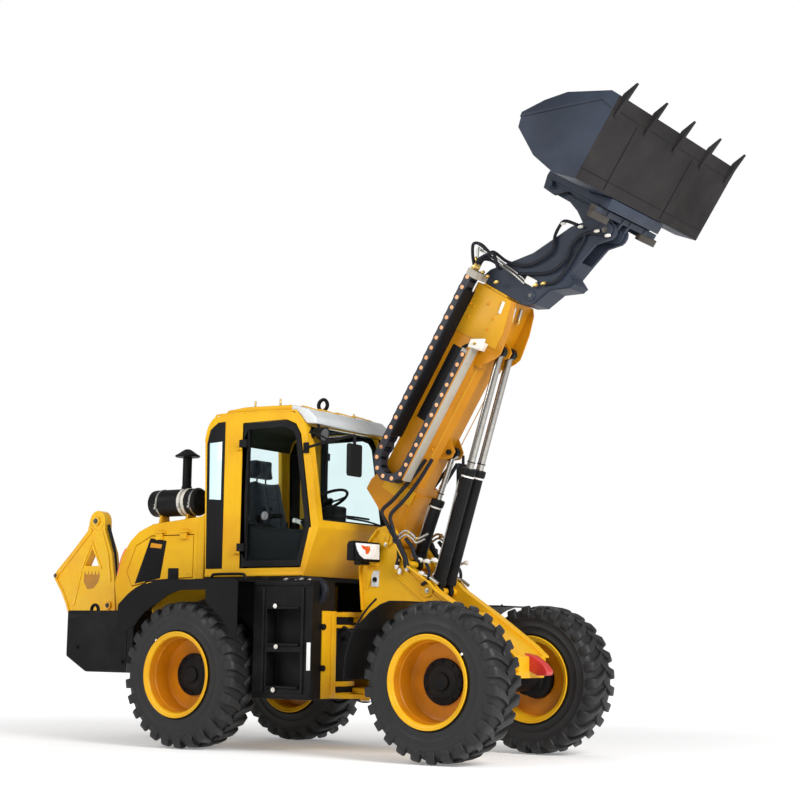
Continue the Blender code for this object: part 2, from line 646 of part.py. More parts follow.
def mirror(word, side, parent):
    y = side * (CAB_HALF + 0.240)
    head = box(0.415, 0.453, y - 0.083, y + 0.083, 2.150, 2.408)
    arm = [rod((0.434, y, 2.350), (0.434, y, 2.480), 0.012, 12),
           rod((0.434, y, 2.470), (-0.215, side * (CAB_HALF + 0.012), 2.440), 0.012, 12),
           box(-0.245, -0.198, *side_range(side, CAB_HALF + TOUCH, CAB_HALF + 0.020), 2.400, 2.480)]
    return finish(join(head, *arm), "mirror_" + word, "black", parent)


# ================================================================ front chassis
def tower_outline():
    return [
        (0.110, 1.060), (0.072, 1.480), (0.170, 1.705), (0.250, 1.795), (0.340, 1.812), (0.420, 1.765),
        (0.455, 1.675), (0.565, 1.490), (0.775, 1.362), (0.835, 1.300), (1.150, 1.100), (1.480, 0.870),
        (1.720, 0.660), (1.720, 0.560), (1.350, FRAME_AXLE_SEAT), (0.320, FRAME_AXLE_SEAT),
        (0.300, FRAME_BOTTOM), (0.200, FRAME_BOTTOM), (0.200, 1.060)]


def front_frame(parent):
    inner = BOOM_HALF + TOWER_GAP
    outer = inner + TOWER_PLATE
    parts = []
    for side in (-1, 1):
        low, high = side_range(side, inner, outer)
        parts.append(plate(tower_outline(), low, high))
    base = plate([(0.300, FRAME_BOTTOM), (0.300, 1.000), (1.100, 1.000), (1.480, 0.800), (1.660, 0.640),
                  (1.660, 0.570), (1.350, FRAME_AXLE_SEAT), (0.420, FRAME_AXLE_SEAT), (0.420, FRAME_BOTTOM)],
                 -inner - 0.01, inner + 0.01)
    back = box(0.200, 0.320, -inner - 0.01, inner + 0.01, 0.485, 1.050)
    lugs = []
    for low in (HITCH_BOTTOM + HITCH_PLATE + 0.002, HITCH_TOP - HITCH_PLATE - HITCH_LUG - 0.002):
        outline = [(0.310, 0.200), (0.310, -0.200)]
        outline = outline[::-1] + arc((0, 0), HITCH_RADIUS - 0.010, 70, 290, 12)
        lugs.append(slab(outline, low, low + HITCH_LUG))
    bore = rod((0, 0, 0.1), (0, 0, 1.5), HITCH_PIN_RADIUS + RUNNING, BORE_ROUND)
    body = join(base, back, *parts)
    body = cut(join(body, *lugs), bore)
    px, pz = BOOM_PIVOT
    cross = [
        rod((px, -outer - 0.03, pz), (px, outer + 0.03, pz), BOOM_PIN_RADIUS, BORE_ROUND),
        rod((LIFT_BASE[0], -outer - 0.015, LIFT_BASE[1]), (LIFT_BASE[0], outer + 0.015, LIFT_BASE[1]),
            CYLINDER_PIN_RADIUS, BORE_ROUND),
        rod((LEVEL_BASE[0], -inner - 0.01, LEVEL_BASE[1]), (LEVEL_BASE[0], inner + 0.01, LEVEL_BASE[1]),
            CYLINDER_PIN_RADIUS, BORE_ROUND)]
    brackets = []
    for side in (-1, 1):
        low, high = side_range(side, outer - 0.005, 0.480)
        brackets.append(box(0.560, 0.640, low, high, 0.870, 0.950))
        low, high = side_range(side, outer - 0.005, 0.300)
        brackets.append(box(0.150, 0.260, low, high, 1.490, 1.508))
    body = join(body, *cross, *brackets)
    return finish(body, "front_frame", "amber", parent)


def front_fender(word, side, parent):
    x_axle, z_axle = WHEELBASE / 2, TYRE_RADIUS
    outer = arc((x_axle, z_axle), 0.775, 180, 150, 5) + [(0.698, 1.108), (0.789, 1.162), (0.869, 1.188), (0.985, 1.186)]
    inner = arc((x_axle, z_axle), 0.763, 180, 150, 5) + [(0.705, 1.097), (0.794, 1.150), (0.871, 1.176), (0.985, 1.174)]
    low, high = side_range(side, 0.480 + TOUCH, 0.930)
    sheet = plate(outer + list(reversed(inner)), low, high)
    rib = plate([(0.470, 0.750), (0.640, 0.860), (0.640, 0.960), (0.540, 0.980)],
                *side_range(side, 0.480 + TOUCH, 0.495))
    return finish(join(sheet, rib), "front_fender_" + word, "black", parent)


def headlight(word, side, parent):
    low, high = side_range(side, 0.245, 0.610)
    body = box(0.235, 0.300, low, high, 1.515, 1.670)
    low, high = side_range(side, 0.245, 0.290)
    foot = box(0.150, 0.250, low, high, 1.508 + TOUCH, 1.530)
    return finish(join(body, foot), "headlight_" + word, "black", parent)


# ================================================================ boom
def lower_corners(start, end, half, bottom):
    """Two wedges that take the lower corners off a beam along X, from its side down to its narrow belly."""
    wedges = []
    for side in (-1, 1):
        bm = bmesh.new()
        outline = [(side * (half + 0.02), bottom - 0.02), (side * (half - CORNER_WIDE - 0.020), bottom - 0.020),
                   (side * (half - CORNER_WIDE), bottom), (side * half, bottom + CORNER_HIGH),
                   (side * (half + 0.020), bottom + CORNER_HIGH + 0.020)]
        face = bm.faces.new([bm.verts.new((start, y, z)) for y, z in outline])
        grown = bmesh.ops.extrude_face_region(bm, geom=[face])
        verts = [item for item in grown["geom"] if isinstance(item, bmesh.types.BMVert)]
        bmesh.ops.translate(bm, verts=verts, vec=(end - start, 0, 0))
        wedges.append(solid(bm))
    return wedges


def outer_boom(parent):
    shell = plate([
        (0.100, 0.020), (0.075, 0.110), (0.150, 0.270), (0.215, 0.430), (0.300, 0.430), (0.480, BOOM_TOP),
        (BOOM_END, BOOM_TOP), (BOOM_END, -0.005), (1.900, -0.010), (0.300, -0.010)],
        -BOOM_HALF, BOOM_HALF)
    hollow = box(TELESCOPE_REAR - 0.060, BOOM_END + 0.1, -CAVITY_HALF - TELESCOPE_GAP,
                 CAVITY_HALF + TELESCOPE_GAP, CAVITY_BOTTOM - TELESCOPE_GAP, CAVITY_TOP + TELESCOPE_GAP)
    hollow = cut(hollow, *lower_corners(TELESCOPE_REAR - 0.1, BOOM_END + 0.2, CAVITY_HALF + TELESCOPE_GAP,
                                        CAVITY_BOTTOM - TELESCOPE_GAP))
    shell = cut(shell, hollow)
    shell = cut(shell, *lower_corners(0.470, 1.560, BOOM_HALF, -0.010))
    ring = box(BOOM_END - PAD_LENGTH, BOOM_END - 0.002, -BOOM_HALF + 0.005, BOOM_HALF - 0.005,
               0.012, BOOM_TOP - 0.005)
    mouth = box(BOOM_END - PAD_LENGTH - 0.1, BOOM_END + 0.1, -CAVITY_HALF - TOUCH, CAVITY_HALF + TOUCH,
                CAVITY_BOTTOM - TOUCH, CAVITY_TOP + TOUCH)
    mouth = cut(mouth, *lower_corners(BOOM_END - 0.5, BOOM_END + 0.5, CAVITY_HALF + TOUCH,
                                      CAVITY_BOTTOM - TOUCH))
    shell = join(shell, cut(ring, mouth))
    cheek = [(1.548, 0.043), (2.132, 0.043), (2.148, -0.012), (2.100, -0.050), (1.950, -0.095),
             (1.800, -0.118), (1.740, -0.124), (1.690, -0.102), (1.620, -0.045)]
    foot = [(-0.090, 0.030), (0.120, 0.080), (0.400, 0.120), (0.458, 0.083), (0.300, 0.000), (0.120, -0.075),
            (0.000, -0.092), (-0.075, -0.050)]
    ex, ez = LIFT_EYE
    plates = [plate([(ex - 0.090, 0.010), (ex + 0.090, 0.010), (ex + 0.050, ez - 0.020), (ex + 0.025, ez - 0.052),
                     (ex - 0.025, ez - 0.052), (ex - 0.050, ez - 0.020)], -0.009, 0.009)]
    ex, ez = LEVEL_EYE
    for side in (-1, 1):
        low, high = side_range(side, BOOM_HALF - BOOM_PLATE, BOOM_HALF)
        plates.append(plate(cheek, low, high))
        plates.append(plate(foot, low, high))
        low, high = side_range(side, 0.057, 0.069)
        plates.append(plate([(ex - 0.110, 0.012), (ex + 0.120, 0.012), (ex + 0.055, ez - 0.010),
                             (ex + 0.030, ez - 0.042), (ex - 0.030, ez - 0.042), (ex - 0.055, ez - 0.010)],
                            low, high))
    boss = rod((0, -BOOM_HALF, 0), (0, BOOM_HALF, 0), 0.085, 24)
    neck = plate([(-0.050, -0.040), (-0.050, 0.040), (0.140, 0.120), (0.400, 0.010), (0.400, -0.030)],
                 -BOOM_HALF + 0.01, BOOM_HALF - 0.01)
    bore = rod((0, -0.5, 0), (0, 0.5, 0), BOOM_PIN_RADIUS + RUNNING, BORE_ROUND)
    trays = [
        box(0.480, 1.740, CHAIN_LOW - 0.010, -BOOM_HALF + 0.01, CHAIN_LOWER - CHAIN_RUN / 2 - 0.012 - TOUCH,
            CHAIN_LOWER - CHAIN_RUN / 2 - TOUCH),
        box(0.740, 2.060, CHAIN_LOW - 0.010, -BOOM_HALF + 0.01, CHAIN_UPPER - CHAIN_RUN / 2 - 0.012 - TOUCH,
            CHAIN_UPPER - CHAIN_RUN / 2 - TOUCH)]
    body = cut(join(shell, boss, neck, *plates, *trays), bore)
    return finish(body, "boom_outer", "amber", parent)


def inner_boom(parent):
    body = box(TELESCOPE_REAR, BOOM_END + 0.015, -CAVITY_HALF, CAVITY_HALF, CAVITY_BOTTOM, CAVITY_TOP)
    body = cut(body, *lower_corners(TELESCOPE_REAR - 0.1, BOOM_END + 0.1, CAVITY_HALF, CAVITY_BOTTOM))
    return finish(body, "boom_inner", "amber", parent)


NECK_ROOT = BOOM_END + 0.015
NECK_HALF = 0.115
NECK_PLATE = 0.030


def gooseneck(parent):
    """Forked head that drops the bucket pin below the boom's axis."""
    start = NECK_ROOT + TOUCH
    tip = arc(BUCKET_PIN, 0.085, 35, -150, 8)
    outline = [(start, 0.400), (2.280, 0.350), (2.420, 0.200), (2.560, 0.060), (2.720, -0.040),
               (2.880, -0.140), (2.990, -0.260)] + tip
    outline += [(2.845, -0.405), (2.690, -0.362), (2.540, -0.325), (2.500, -0.405), (2.455, -0.385),
                (2.370, -0.245), (2.215, -0.170), (start, -0.075)]
    body = plate(outline, -NECK_HALF, NECK_HALF)
    cavity = [(start + 0.032, 0.340), (2.260, 0.315), (2.400, 0.170), (2.545, 0.030), (2.660, -0.035),
              (2.700, 0.100), (3.300, 0.100), (3.300, -0.700), (2.720, -0.700), (2.665, -0.330),
              (2.545, -0.298), (2.400, -0.235), (2.225, -0.158), (start + 0.030, -0.115)]
    gap = NECK_HALF - NECK_PLATE
    body = cut(body, plate(cavity, -gap, gap))
    pins = [
        rod((TILT_BASE[0], -NECK_HALF - 0.01, TILT_BASE[1]), (TILT_BASE[0], NECK_HALF + 0.01, TILT_BASE[1]),
            CYLINDER_PIN_RADIUS, BORE_ROUND),
        rod((BUCKET_PIN[0], -NECK_HALF - 0.015, BUCKET_PIN[1]),
            (BUCKET_PIN[0], NECK_HALF + 0.015, BUCKET_PIN[1]), 0.032, BORE_ROUND)]
    return finish(join(body, *pins), "gooseneck", "slate", parent)


CHAIN_LOW, CHAIN_HIGH = -0.290, -0.175
CHAIN_RUN = 0.070
CHAIN_LOWER = 0.108
CHAIN_UPPER = 0.402
CHAIN_LOOP_S = 0.560


def chain_loop(parent):
    """Lower run on its tray and the bend at the rear."""
    middle = (CHAIN_LOWER + CHAIN_UPPER) / 2
    radius = (CHAIN_UPPER - CHAIN_LOWER) / 2
    outer = arc((CHAIN_LOOP_S, middle), radius + CHAIN_RUN / 2, 90, 270, 12)
    inner = arc((CHAIN_LOOP_S, middle), radius - CHAIN_RUN / 2, 90, 270, 12)
    outline = outer + [(1.600, CHAIN_LOWER - CHAIN_RUN / 2), (1.600, CHAIN_LOWER + CHAIN_RUN / 2)]
    outline += list(reversed(inner))
    body = plate(outline, CHAIN_LOW, CHAIN_HIGH)
    return finish(body, "energy_chain_loop", "slate", parent)


def chain_upper(parent):
    body = box(CHAIN_LOOP_S + TOUCH, NECK_ROOT, CHAIN_LOW, CHAIN_HIGH,
               CHAIN_UPPER - CHAIN_RUN / 2, CHAIN_UPPER + CHAIN_RUN / 2)
    return finish(body, "energy_chain_run", "slate", parent)


def chain_bracket(parent):
    arm = box(NECK_ROOT + TOUCH, NECK_ROOT + 0.060, CHAIN_LOW, NECK_HALF * 0 - NECK_HALF - TOUCH, 0.330, 0.430)
    return finish(arm, "chain_bracket", "grey", parent)


# ================================================================ cylinders
def cylinder(name, base, tip, shortest, y, barrel_radius, barrel_length, rod_radius, eye_half, parent):
    """Barrel pinned at its base and chromed rod with an eye at its tip. shortest is the closed length."""
    base, tip = Vector(base), Vector(tip)
    run = tip - base
    angle = math.atan2(run.y, run.x)
    length = run.length
    frame = axis_empty("axis_" + name, (base.x, y, base.y), angle, parent)
    slide = axis_empty("slide_" + name, (base.x, y, base.y), angle, parent)
    eye_radius = CYLINDER_PIN_RADIUS + 0.020
    eye = rod((0, -eye_half, 0), (0, eye_half, 0), eye_radius, 24)
    neck = box(0, eye_radius + 0.025, -eye_half * 0.9, eye_half * 0.9, -eye_radius * 0.6, eye_radius * 0.6)
    tube = rod((eye_radius + 0.015, 0, 0), (barrel_length, 0, 0), barrel_radius, 28)
    gland = rod((barrel_length - 0.055, 0, 0), (barrel_length, 0, 0), barrel_radius + 0.002, 28)
    bore_start = eye_radius + 0.022
    bore = rod((bore_start, 0, 0), (barrel_length + 0.1, 0, 0), rod_radius + RUNNING, 24)
    hole = rod((0, -0.3, 0), (0, 0.3, 0), CYLINDER_PIN_RADIUS + RUNNING, BORE_ROUND)
    barrel = cut(join(eye, neck, tube, gland), bore, hole)
    finish(barrel, name + "_barrel", "black", frame)
    shaft = rod((bore_start + length - shortest + 0.006, 0, 0), (length - 0.020, 0, 0), rod_radius, 24)
    end = rod((length, -eye_half, 0), (length, eye_half, 0), eye_radius, 24)
    ram = cut(join(shaft, end), moved(rod((0, -0.3, 0), (0, 0.3, 0), CYLINDER_PIN_RADIUS - 0.006, 20), length))
    finish(ram, name + "_rod", "chrome", slide)


# ================================================================ coupler and bucket
def lever_tip():
    return (TILT_LEVER * math.cos(TILT_LEVER_ANGLE), TILT_LEVER * math.sin(TILT_LEVER_ANGLE))


def coupler(parent):
    """Two middle ears on the bucket pin, cross bars and outer plates."""
    lx, lz = lever_tip()
    ears = []
    for side in (-1, 1):
        low, high = side_range(side, 0.045, 0.075)
        outline = arc((0, 0), 0.070, 180, 300, 6) + [(0.130, -0.080), (0.150, 0.100), (0.150, 0.500),
                                                     (0.080, 0.510), (0.020, 0.330)]
        outline += arc((lx, lz), 0.055, 60, 200, 6)
        ears.append(plate(outline, low, high))
    bore = rod((0, -0.3, 0), (0, 0.3, 0), 0.032 + RUNNING, BORE_ROUND)
    hole = moved(rod((0, -0.3, 0), (0, 0.3, 0), 0.024, 20), lx, 0, lz)
    plates = []
    for side in (-1, 1):
        low, high = side_range(side, 0.300, 0.325)
        plates.append(plate([(0.060, -0.070), (0.130, -0.080), (0.150, 0.100), (0.150, 0.500),
                             (0.080, 0.510), (0.060, 0.400)], low, high))
    top_bar = rod((0.110, -0.420, 0.460), (0.110, 0.420, 0.460), 0.030, 20)
    low_bar = box(0.095, 0.140, -0.510, 0.510, -0.070, -0.010)
    body = cut(join(ears[0], top_bar), bore)
    body = join(body, cut(ears[1], rod((0, -0.3, 0), (0, 0.3, 0), 0.032 + RUNNING, BORE_ROUND)))
    body = cut(join(body, low_bar, *plates), hole)
    return finish(body, "coupler", "slate", parent)


def bucket_profile():
    """Outline in the bucket's own axes: x along the floor from the pin, z above it."""
    drop = BUCKET_FLOOR_DROP
    return [
        (BUCKET_EDGE, drop), (0.244, drop), (0.205, 0.075), (0.246, 0.291), (0.373, 0.524),
        (0.482, 0.555), (0.633, 0.425), (0.758, 0.281), (BUCKET_EDGE + 0.006, -0.042)]


def bucket(parent):
    outline = bucket_profile()
    body = plate(outline, -BUCKET_HALF, BUCKET_HALF)
    inner = shrink(outline, BUCKET_WALL)
    inner = [(1.2, BUCKET_FLOOR_DROP + BUCKET_WALL)] + inner[1:5]
    inner[4] = (0.385, 0.515)
    inner += [(0.470, 0.900), (1.2, 0.900)]
    half = BUCKET_HALF - BUCKET_WALL
    body = cut(body, plate(inner, -half, half))
    parts = []
    edge_z = BUCKET_FLOOR_DROP
    for i in range(TOOTH_COUNT):
        y = (i / (TOOTH_COUNT - 1) - 0.5) * 2 * (BUCKET_HALF - TOOTH_HALF - 0.050)
        parts.append(plate([(BUCKET_EDGE - 0.150, edge_z - 0.012), (BUCKET_EDGE - 0.020, edge_z - 0.030),
                            (BUCKET_EDGE + TOOTH_LENGTH, edge_z - 0.050),
                            (BUCKET_EDGE + TOOTH_LENGTH + 0.002, edge_z - 0.038),
                            (BUCKET_EDGE + 0.030, edge_z + 0.008), (BUCKET_EDGE - 0.050, edge_z + 0.016)],
                           y - TOOTH_HALF, y + TOOTH_HALF))
    for side in (-1, 1):
        low, high = side_range(side, 0.345, 0.375)
        hook = plate([(0.377, 0.515), (0.160, 0.540), (0.060, 0.515), (0.050, 0.400), (0.140, 0.280),
                      (0.246, 0.240)], low, high)
        socket = rod((0.110, low - 0.1, 0.460), (0.110, high + 0.1, 0.460), 0.0305, 20)
        parts.append(cut(hook, socket))
        low, high = side_range(side, 0.345, 0.375)
        parts.append(plate([(0.1403, -0.065), (0.1403, 0.030), (0.212, 0.070), (0.245, -0.110), (0.180, -0.110)],
                           low, high))
    return finish(join(body, *parts), "bucket", "slate", parent)


# ================================================================ the machine
def build():
    clear_scene()
    machine = axis_empty("machine", (0, 0, 0))
    rear_frame(machine)
    axle("rear_axle", -WHEELBASE / 2, machine)
    counterweight(machine)
    rear_linkage(machine)
    engine_block(machine)
    engine_hood(machine)
    air_cleaner(machine)
    cab_floor(machine)
    cab_shell(machine)
    cab_roof(machine)
    windscreen(machine)
    rear_window(machine)
    seat(machine)
    steering_column(machine)

    front = axis_empty("axis_articulation", (0, 0, 0), parent=machine)
    front_frame(front)
    axle("front_axle", WHEELBASE / 2, front)

    for word, side in (("right", -1), ("left", 1)):
        hood_door(word, side, machine)
        rear_fender(word, side, machine)
        side_tank(word, side, machine)
        cab_door(word, side, machine)
        mirror(word, side, machine)
        wheel("rear_" + word, -WHEELBASE / 2, side, machine)
        front_fender(word, side, front)
        headlight(word, side, front)
        wheel("front_" + word, WHEELBASE / 2, side, front)

    boom = axis_empty("axis_boom", (BOOM_PIVOT[0], 0, BOOM_PIVOT[1]), BOOM_ANGLE, front)
    outer_boom(boom)
    chain_loop(boom)
    chain_upper(boom)
    telescope = axis_empty("slide_telescope", (0, 0, 0), parent=boom)
    inner_boom(telescope)
    gooseneck(telescope)
    chain_bracket(telescope)
    tool = axis_empty("axis_bucket", (BUCKET_PIN[0], 0, BUCKET_PIN[1]), BUCKET_ANGLE - BOOM_ANGLE, telescope)
    coupler(tool)
    bucket(tool)

    lift_eye, level_eye = boom_to_world(*LIFT_EYE), boom_to_world(*LEVEL_EYE)
    lift_shortest = distance(LIFT_BASE, swung(lift_eye, BOOM_PIVOT, BOOM_LOWERED))
    level_shortest = distance(LEVEL_BASE, swung(level_eye, BOOM_PIVOT, BOOM_LOWERED))
    for word, side in (("right", -1), ("left", 1)):
        cylinder("lift_" + word, LIFT_BASE, lift_eye, lift_shortest, side * LIFT_SPREAD,
                 LIFT_BARREL_RADIUS, LIFT_BARREL_LENGTH, LIFT_ROD_RADIUS, 0.026, front)
    cylinder("level", LEVEL_BASE, level_eye, level_shortest, 0.0, LEVEL_BARREL_RADIUS,
             LEVEL_BARREL_LENGTH, LEVEL_ROD_RADIUS, 0.022, front)
    lever_angle = TILT_LEVER_ANGLE + BUCKET_ANGLE - BOOM_ANGLE
    tilt_eye = (BUCKET_PIN[0] + TILT_LEVER * math.cos(lever_angle),
                BUCKET_PIN[1] + TILT_LEVER * math.sin(lever_angle))
    tilt_open = distance(TILT_BASE, swung(tilt_eye, BUCKET_PIN, -BUCKET_DUMPED))
    tilt_rest = distance(TILT_BASE, tilt_eye)
    tilt_shortest = tilt_rest - (tilt_open - tilt_rest) * BUCKET_ROLLED / BUCKET_DUMPED
    cylinder("tilt", TILT_BASE, tilt_eye, tilt_shortest, 0.0, TILT_BARREL_RADIUS, TILT_BARREL_LENGTH,
             TILT_ROD_RADIUS, 0.030, telescope)

    centre_on_origin(machine)


def centre_on_origin(machine):
    """Slide the machine along X until its bounding box is centred on the origin."""
    bpy.context.view_layer.update()
    xs = []
    for item in bpy.data.objects:
        if item.type == "MESH":
            xs += [(item.matrix_world @ vert.co).x for vert in item.data.vertices]
    machine.location.x = -(min(xs) + max(xs)) / 2


build()
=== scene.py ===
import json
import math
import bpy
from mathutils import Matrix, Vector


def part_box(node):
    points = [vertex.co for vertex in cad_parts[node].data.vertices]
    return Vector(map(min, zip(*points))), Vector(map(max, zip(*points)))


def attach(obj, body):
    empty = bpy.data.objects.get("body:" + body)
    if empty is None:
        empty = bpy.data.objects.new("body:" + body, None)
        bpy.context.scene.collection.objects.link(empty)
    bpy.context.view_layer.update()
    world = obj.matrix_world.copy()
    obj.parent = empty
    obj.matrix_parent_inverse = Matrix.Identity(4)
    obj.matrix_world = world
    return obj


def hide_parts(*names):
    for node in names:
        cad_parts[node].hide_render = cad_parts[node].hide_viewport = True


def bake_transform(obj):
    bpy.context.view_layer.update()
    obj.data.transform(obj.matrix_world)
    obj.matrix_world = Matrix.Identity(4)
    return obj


bl_info = {
    "name": "Telescopic Loader Looks",
    "version": (1, 0, 0),
    "blender": (4, 5, 0),
    "location": "View3D > Sidebar > Loader",
    "description": "Builds the detailed finish of a telescopic wheel loader around its fixed frame",
    "category": "Add Mesh",
}

import bmesh
import bpy
from bpy.props import FloatProperty, FloatVectorProperty, IntProperty, PointerProperty
from bpy.types import Operator, Panel, PropertyGroup
from mathutils import Matrix, Vector

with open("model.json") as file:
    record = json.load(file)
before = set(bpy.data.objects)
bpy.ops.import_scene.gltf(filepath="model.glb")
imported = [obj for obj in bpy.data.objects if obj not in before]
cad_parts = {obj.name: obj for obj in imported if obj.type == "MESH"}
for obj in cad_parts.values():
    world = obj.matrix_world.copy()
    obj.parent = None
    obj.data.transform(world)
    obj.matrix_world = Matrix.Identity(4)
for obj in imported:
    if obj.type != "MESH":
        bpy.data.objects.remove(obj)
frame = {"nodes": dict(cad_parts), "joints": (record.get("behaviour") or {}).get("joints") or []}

# ---------------------------------------------------------------- places
JOINTS = {joint["name"]: joint for joint in frame["joints"]}
BOOM_PIVOT = Vector(JOINTS["boom_lift"]["pos_m"])
BOOM_AXIS = Vector(JOINTS["telescope"]["axis"]).normalized()
TOOL_PIVOT = Vector(JOINTS["bucket_tilt"]["pos_m"])
MACHINE = Matrix.Translation((JOINTS["articulation"]["pos_m"][0], 0, 0))
BOOM_LEAN = math.atan2(BOOM_AXIS.z, BOOM_AXIS.x)
TOOL_LEAN = math.radians(56.7)
BOOM = Matrix.Translation(BOOM_PIVOT) @ Matrix.Rotation(-BOOM_LEAN, 4, "Y")
TOOL = Matrix.Translation(TOOL_PIVOT) @ Matrix.Rotation(-TOOL_LEAN, 4, "Y")
WORLD = Matrix.Identity(4)
SIDES = (("right", -1), ("left", 1))
CORNERS = [(end + "_" + word, side) for end in ("front", "rear") for word, side in SIDES]
SHARP = math.radians(32)
# the colour slot that each finish belongs to, unless a piece names its own
SLOT_OF = {finish: slot for slot, finishes in (
    ("amber", "paint_amber paint_boom paint_doubler paint_deep paint_red brass"),
    ("black", "paint_black cast_black moulded_black trim_rubber hose_rubber cabin_lining"),
    ("slate", "paint_slate bar_worn chain_plastic seat_cloth"), ("lemon", "paint_lemon scoop_worn"),
    ("grey", "paint_grey handle_grey reflector_white"), ("chrome", "zinc zinc_tray chrome worn_steel"),
    ("glass", "pane_bright"), ("tyre", "tyre_rubber")) for finish in finishes.split()}


# ---------------------------------------------------------------- shaping tools
def verts_of(made):
    return [item for item in made if isinstance(item, bmesh.types.BMVert)]


def round_edges(bm, edges, width, segments=2):
    if width > 0 and edges:
        bmesh.ops.bevel(bm, geom=list(edges), offset=width, offset_type="OFFSET", segments=segments,
                        profile=0.5, affect="EDGES", clamp_overlap=True, material=-1)


def as_mesh(bm, name):
    """The shape as a mesh. The bmesh is freed."""
    mesh = bpy.data.meshes.new(name)
    bm.to_mesh(mesh)
    bm.free()
    return mesh


def join_into(bm, other):
    """Moves one bmesh's shape into another."""
    mesh = as_mesh(other, "joined")
    bm.from_mesh(mesh)
    bpy.data.meshes.remove(mesh)


def prism(bm, outline, low, high, rounding=0.0, segments=2, along="Y"):
    """An outline extruded between two distances, given in any order, on the axis that along names."""
    low, high = min(low, high), max(low, high)

    def spot(a, b, depth):
        return (a, depth, b) if along == "Y" else (depth, a, b)

    face = bm.faces.new([bm.verts.new(spot(a, b, low)) for a, b in outline])
    grown = bmesh.ops.extrude_face_region(bm, geom=[face])
    top = verts_of(grown["geom"])
    bmesh.ops.translate(bm, verts=top, vec=spot(0, 0, high - low))
    sides = list(face.verts) + top
    edges = {edge for vert in sides for edge in vert.link_edges}
    faces = {f for vert in sides for f in vert.link_faces}
    bmesh.ops.recalc_face_normals(bm, faces=list(faces))
    round_edges(bm, [e for e in edges if e.calc_face_angle(0) > 0.35], rounding, segments)


def block(bm, low, high, rounding=0.004, segments=2):
    """A box between any two opposite corners, with rounded edges."""
    made = bmesh.ops.create_cube(bm, size=1.0)
    size = Vector(high) - Vector(low)
    middle = (Vector(high) + Vector(low)) / 2
    bmesh.ops.scale(bm, vec=[abs(s) for s in size], verts=made["verts"])
    bmesh.ops.translate(bm, vec=middle, verts=made["verts"])
    edges = {edge for vert in made["verts"] for edge in vert.link_edges}
    round_edges(bm, edges, min(rounding, 0.45 * min(abs(s) for s in size)), segments)


def turn_to(direction):
    return Vector(direction).to_track_quat("Z", "Y").to_matrix().to_4x4()


def bar(bm, start, end, radius, sides=20, rounding=0.002):
    """A round bar between two points, with rounded rims."""
    start, end = Vector(start), Vector(end)
    run = end - start
    place = Matrix.Translation((start + end) / 2) @ turn_to(run)
    made = bmesh.ops.create_cone(bm, cap_ends=True, segments=sides, radius1=radius, radius2=radius,
                                 depth=run.length, matrix=place)
    if rounding:
        caps = {f for v in made["verts"] for f in v.link_faces if len(f.verts) == sides}
        rims = {e for f in caps for e in f.edges}
        round_edges(bm, rims, min(rounding, radius * 0.4, run.length * 0.4), 2)


def lathe(bm, profile, centre=(0, 0, 0), axis=(0, 1, 0), steps=48, closed=True):
    """A profile of (radius, distance) turned about an axis through a centre."""
    verts = [bm.verts.new((radius, 0, distance)) for radius, distance in profile]
    pairs = list(zip(verts, verts[1:])) + ([(verts[-1], verts[0])] if closed else [])
    edges = [bm.edges.new(pair) for pair in pairs]
    before = set(bm.verts) - set(verts)
    bmesh.ops.spin(bm, geom=verts + edges, cent=(0, 0, 0), axis=(0, 0, 1), angle=math.tau,
                   steps=steps, use_merge=True)
    made = [v for v in bm.verts if v not in before]
    bmesh.ops.remove_doubles(bm, verts=made, dist=1e-5)
    made = [v for v in bm.verts if v not in before]
    bmesh.ops.transform(bm, matrix=Matrix.Translation(centre) @ turn_to(axis), verts=made)
    bmesh.ops.recalc_face_normals(bm, faces=list({f for v in made for f in v.link_faces}))


def on_arc(x, z, radius, degrees):
    """Points round a centre, at angles in degrees."""
    return [(x + radius * math.cos(math.radians(a)), z + radius * math.sin(math.radians(a))) for a in degrees]


def dome(bm, centre, axis, radius, height, steps=24):
    """A closed cap with a flat foot and a round top."""
    rings = 5
    profile = [(1e-6, 0.0), (radius, 0.0)]
    profile += [(radius * math.cos(a), height * math.sin(a))
                for a in (math.pi / 2 * k / rings for k in range(1, rings))] + [(1e-6, height)]
    lathe(bm, profile, centre, axis, steps, closed=False)


def bolt(bm, centre, axis, radius=0.012, washer=True):
    """A hexagon head on a round washer."""
    axis = Vector(axis).normalized()
    centre = Vector(centre)
    if washer:
        bar(bm, centre, centre + axis * radius * 0.25, radius * 1.45, 20, 0.0004)
    bar(bm, centre + axis * radius * 0.25, centre + axis * radius * 1.0, radius, 6, 0.0008)
    bar(bm, centre + axis * radius * 0.9, centre + axis * radius * 1.2, radius * 0.5, 12, 0.0005)


def smooth_line(points):
    """Points of a rounded line through the given ones."""
    steps = 6
    line = [Vector(p) for p in points]
    ends = [line[0] * 2 - line[1]] + line + [line[-1] * 2 - line[-2]]
    out = []
    for a, b, c, d in zip(ends, ends[1:], ends[2:], ends[3:]):
        for k in range(steps):
            t = k / steps
            out.append(0.5 * ((2 * b) + (c - a) * t + (2 * a - 5 * b + 4 * c - d) * t * t
                              + (3 * b - a - 3 * c + d) * t * t * t))
    return out + [line[-1]]


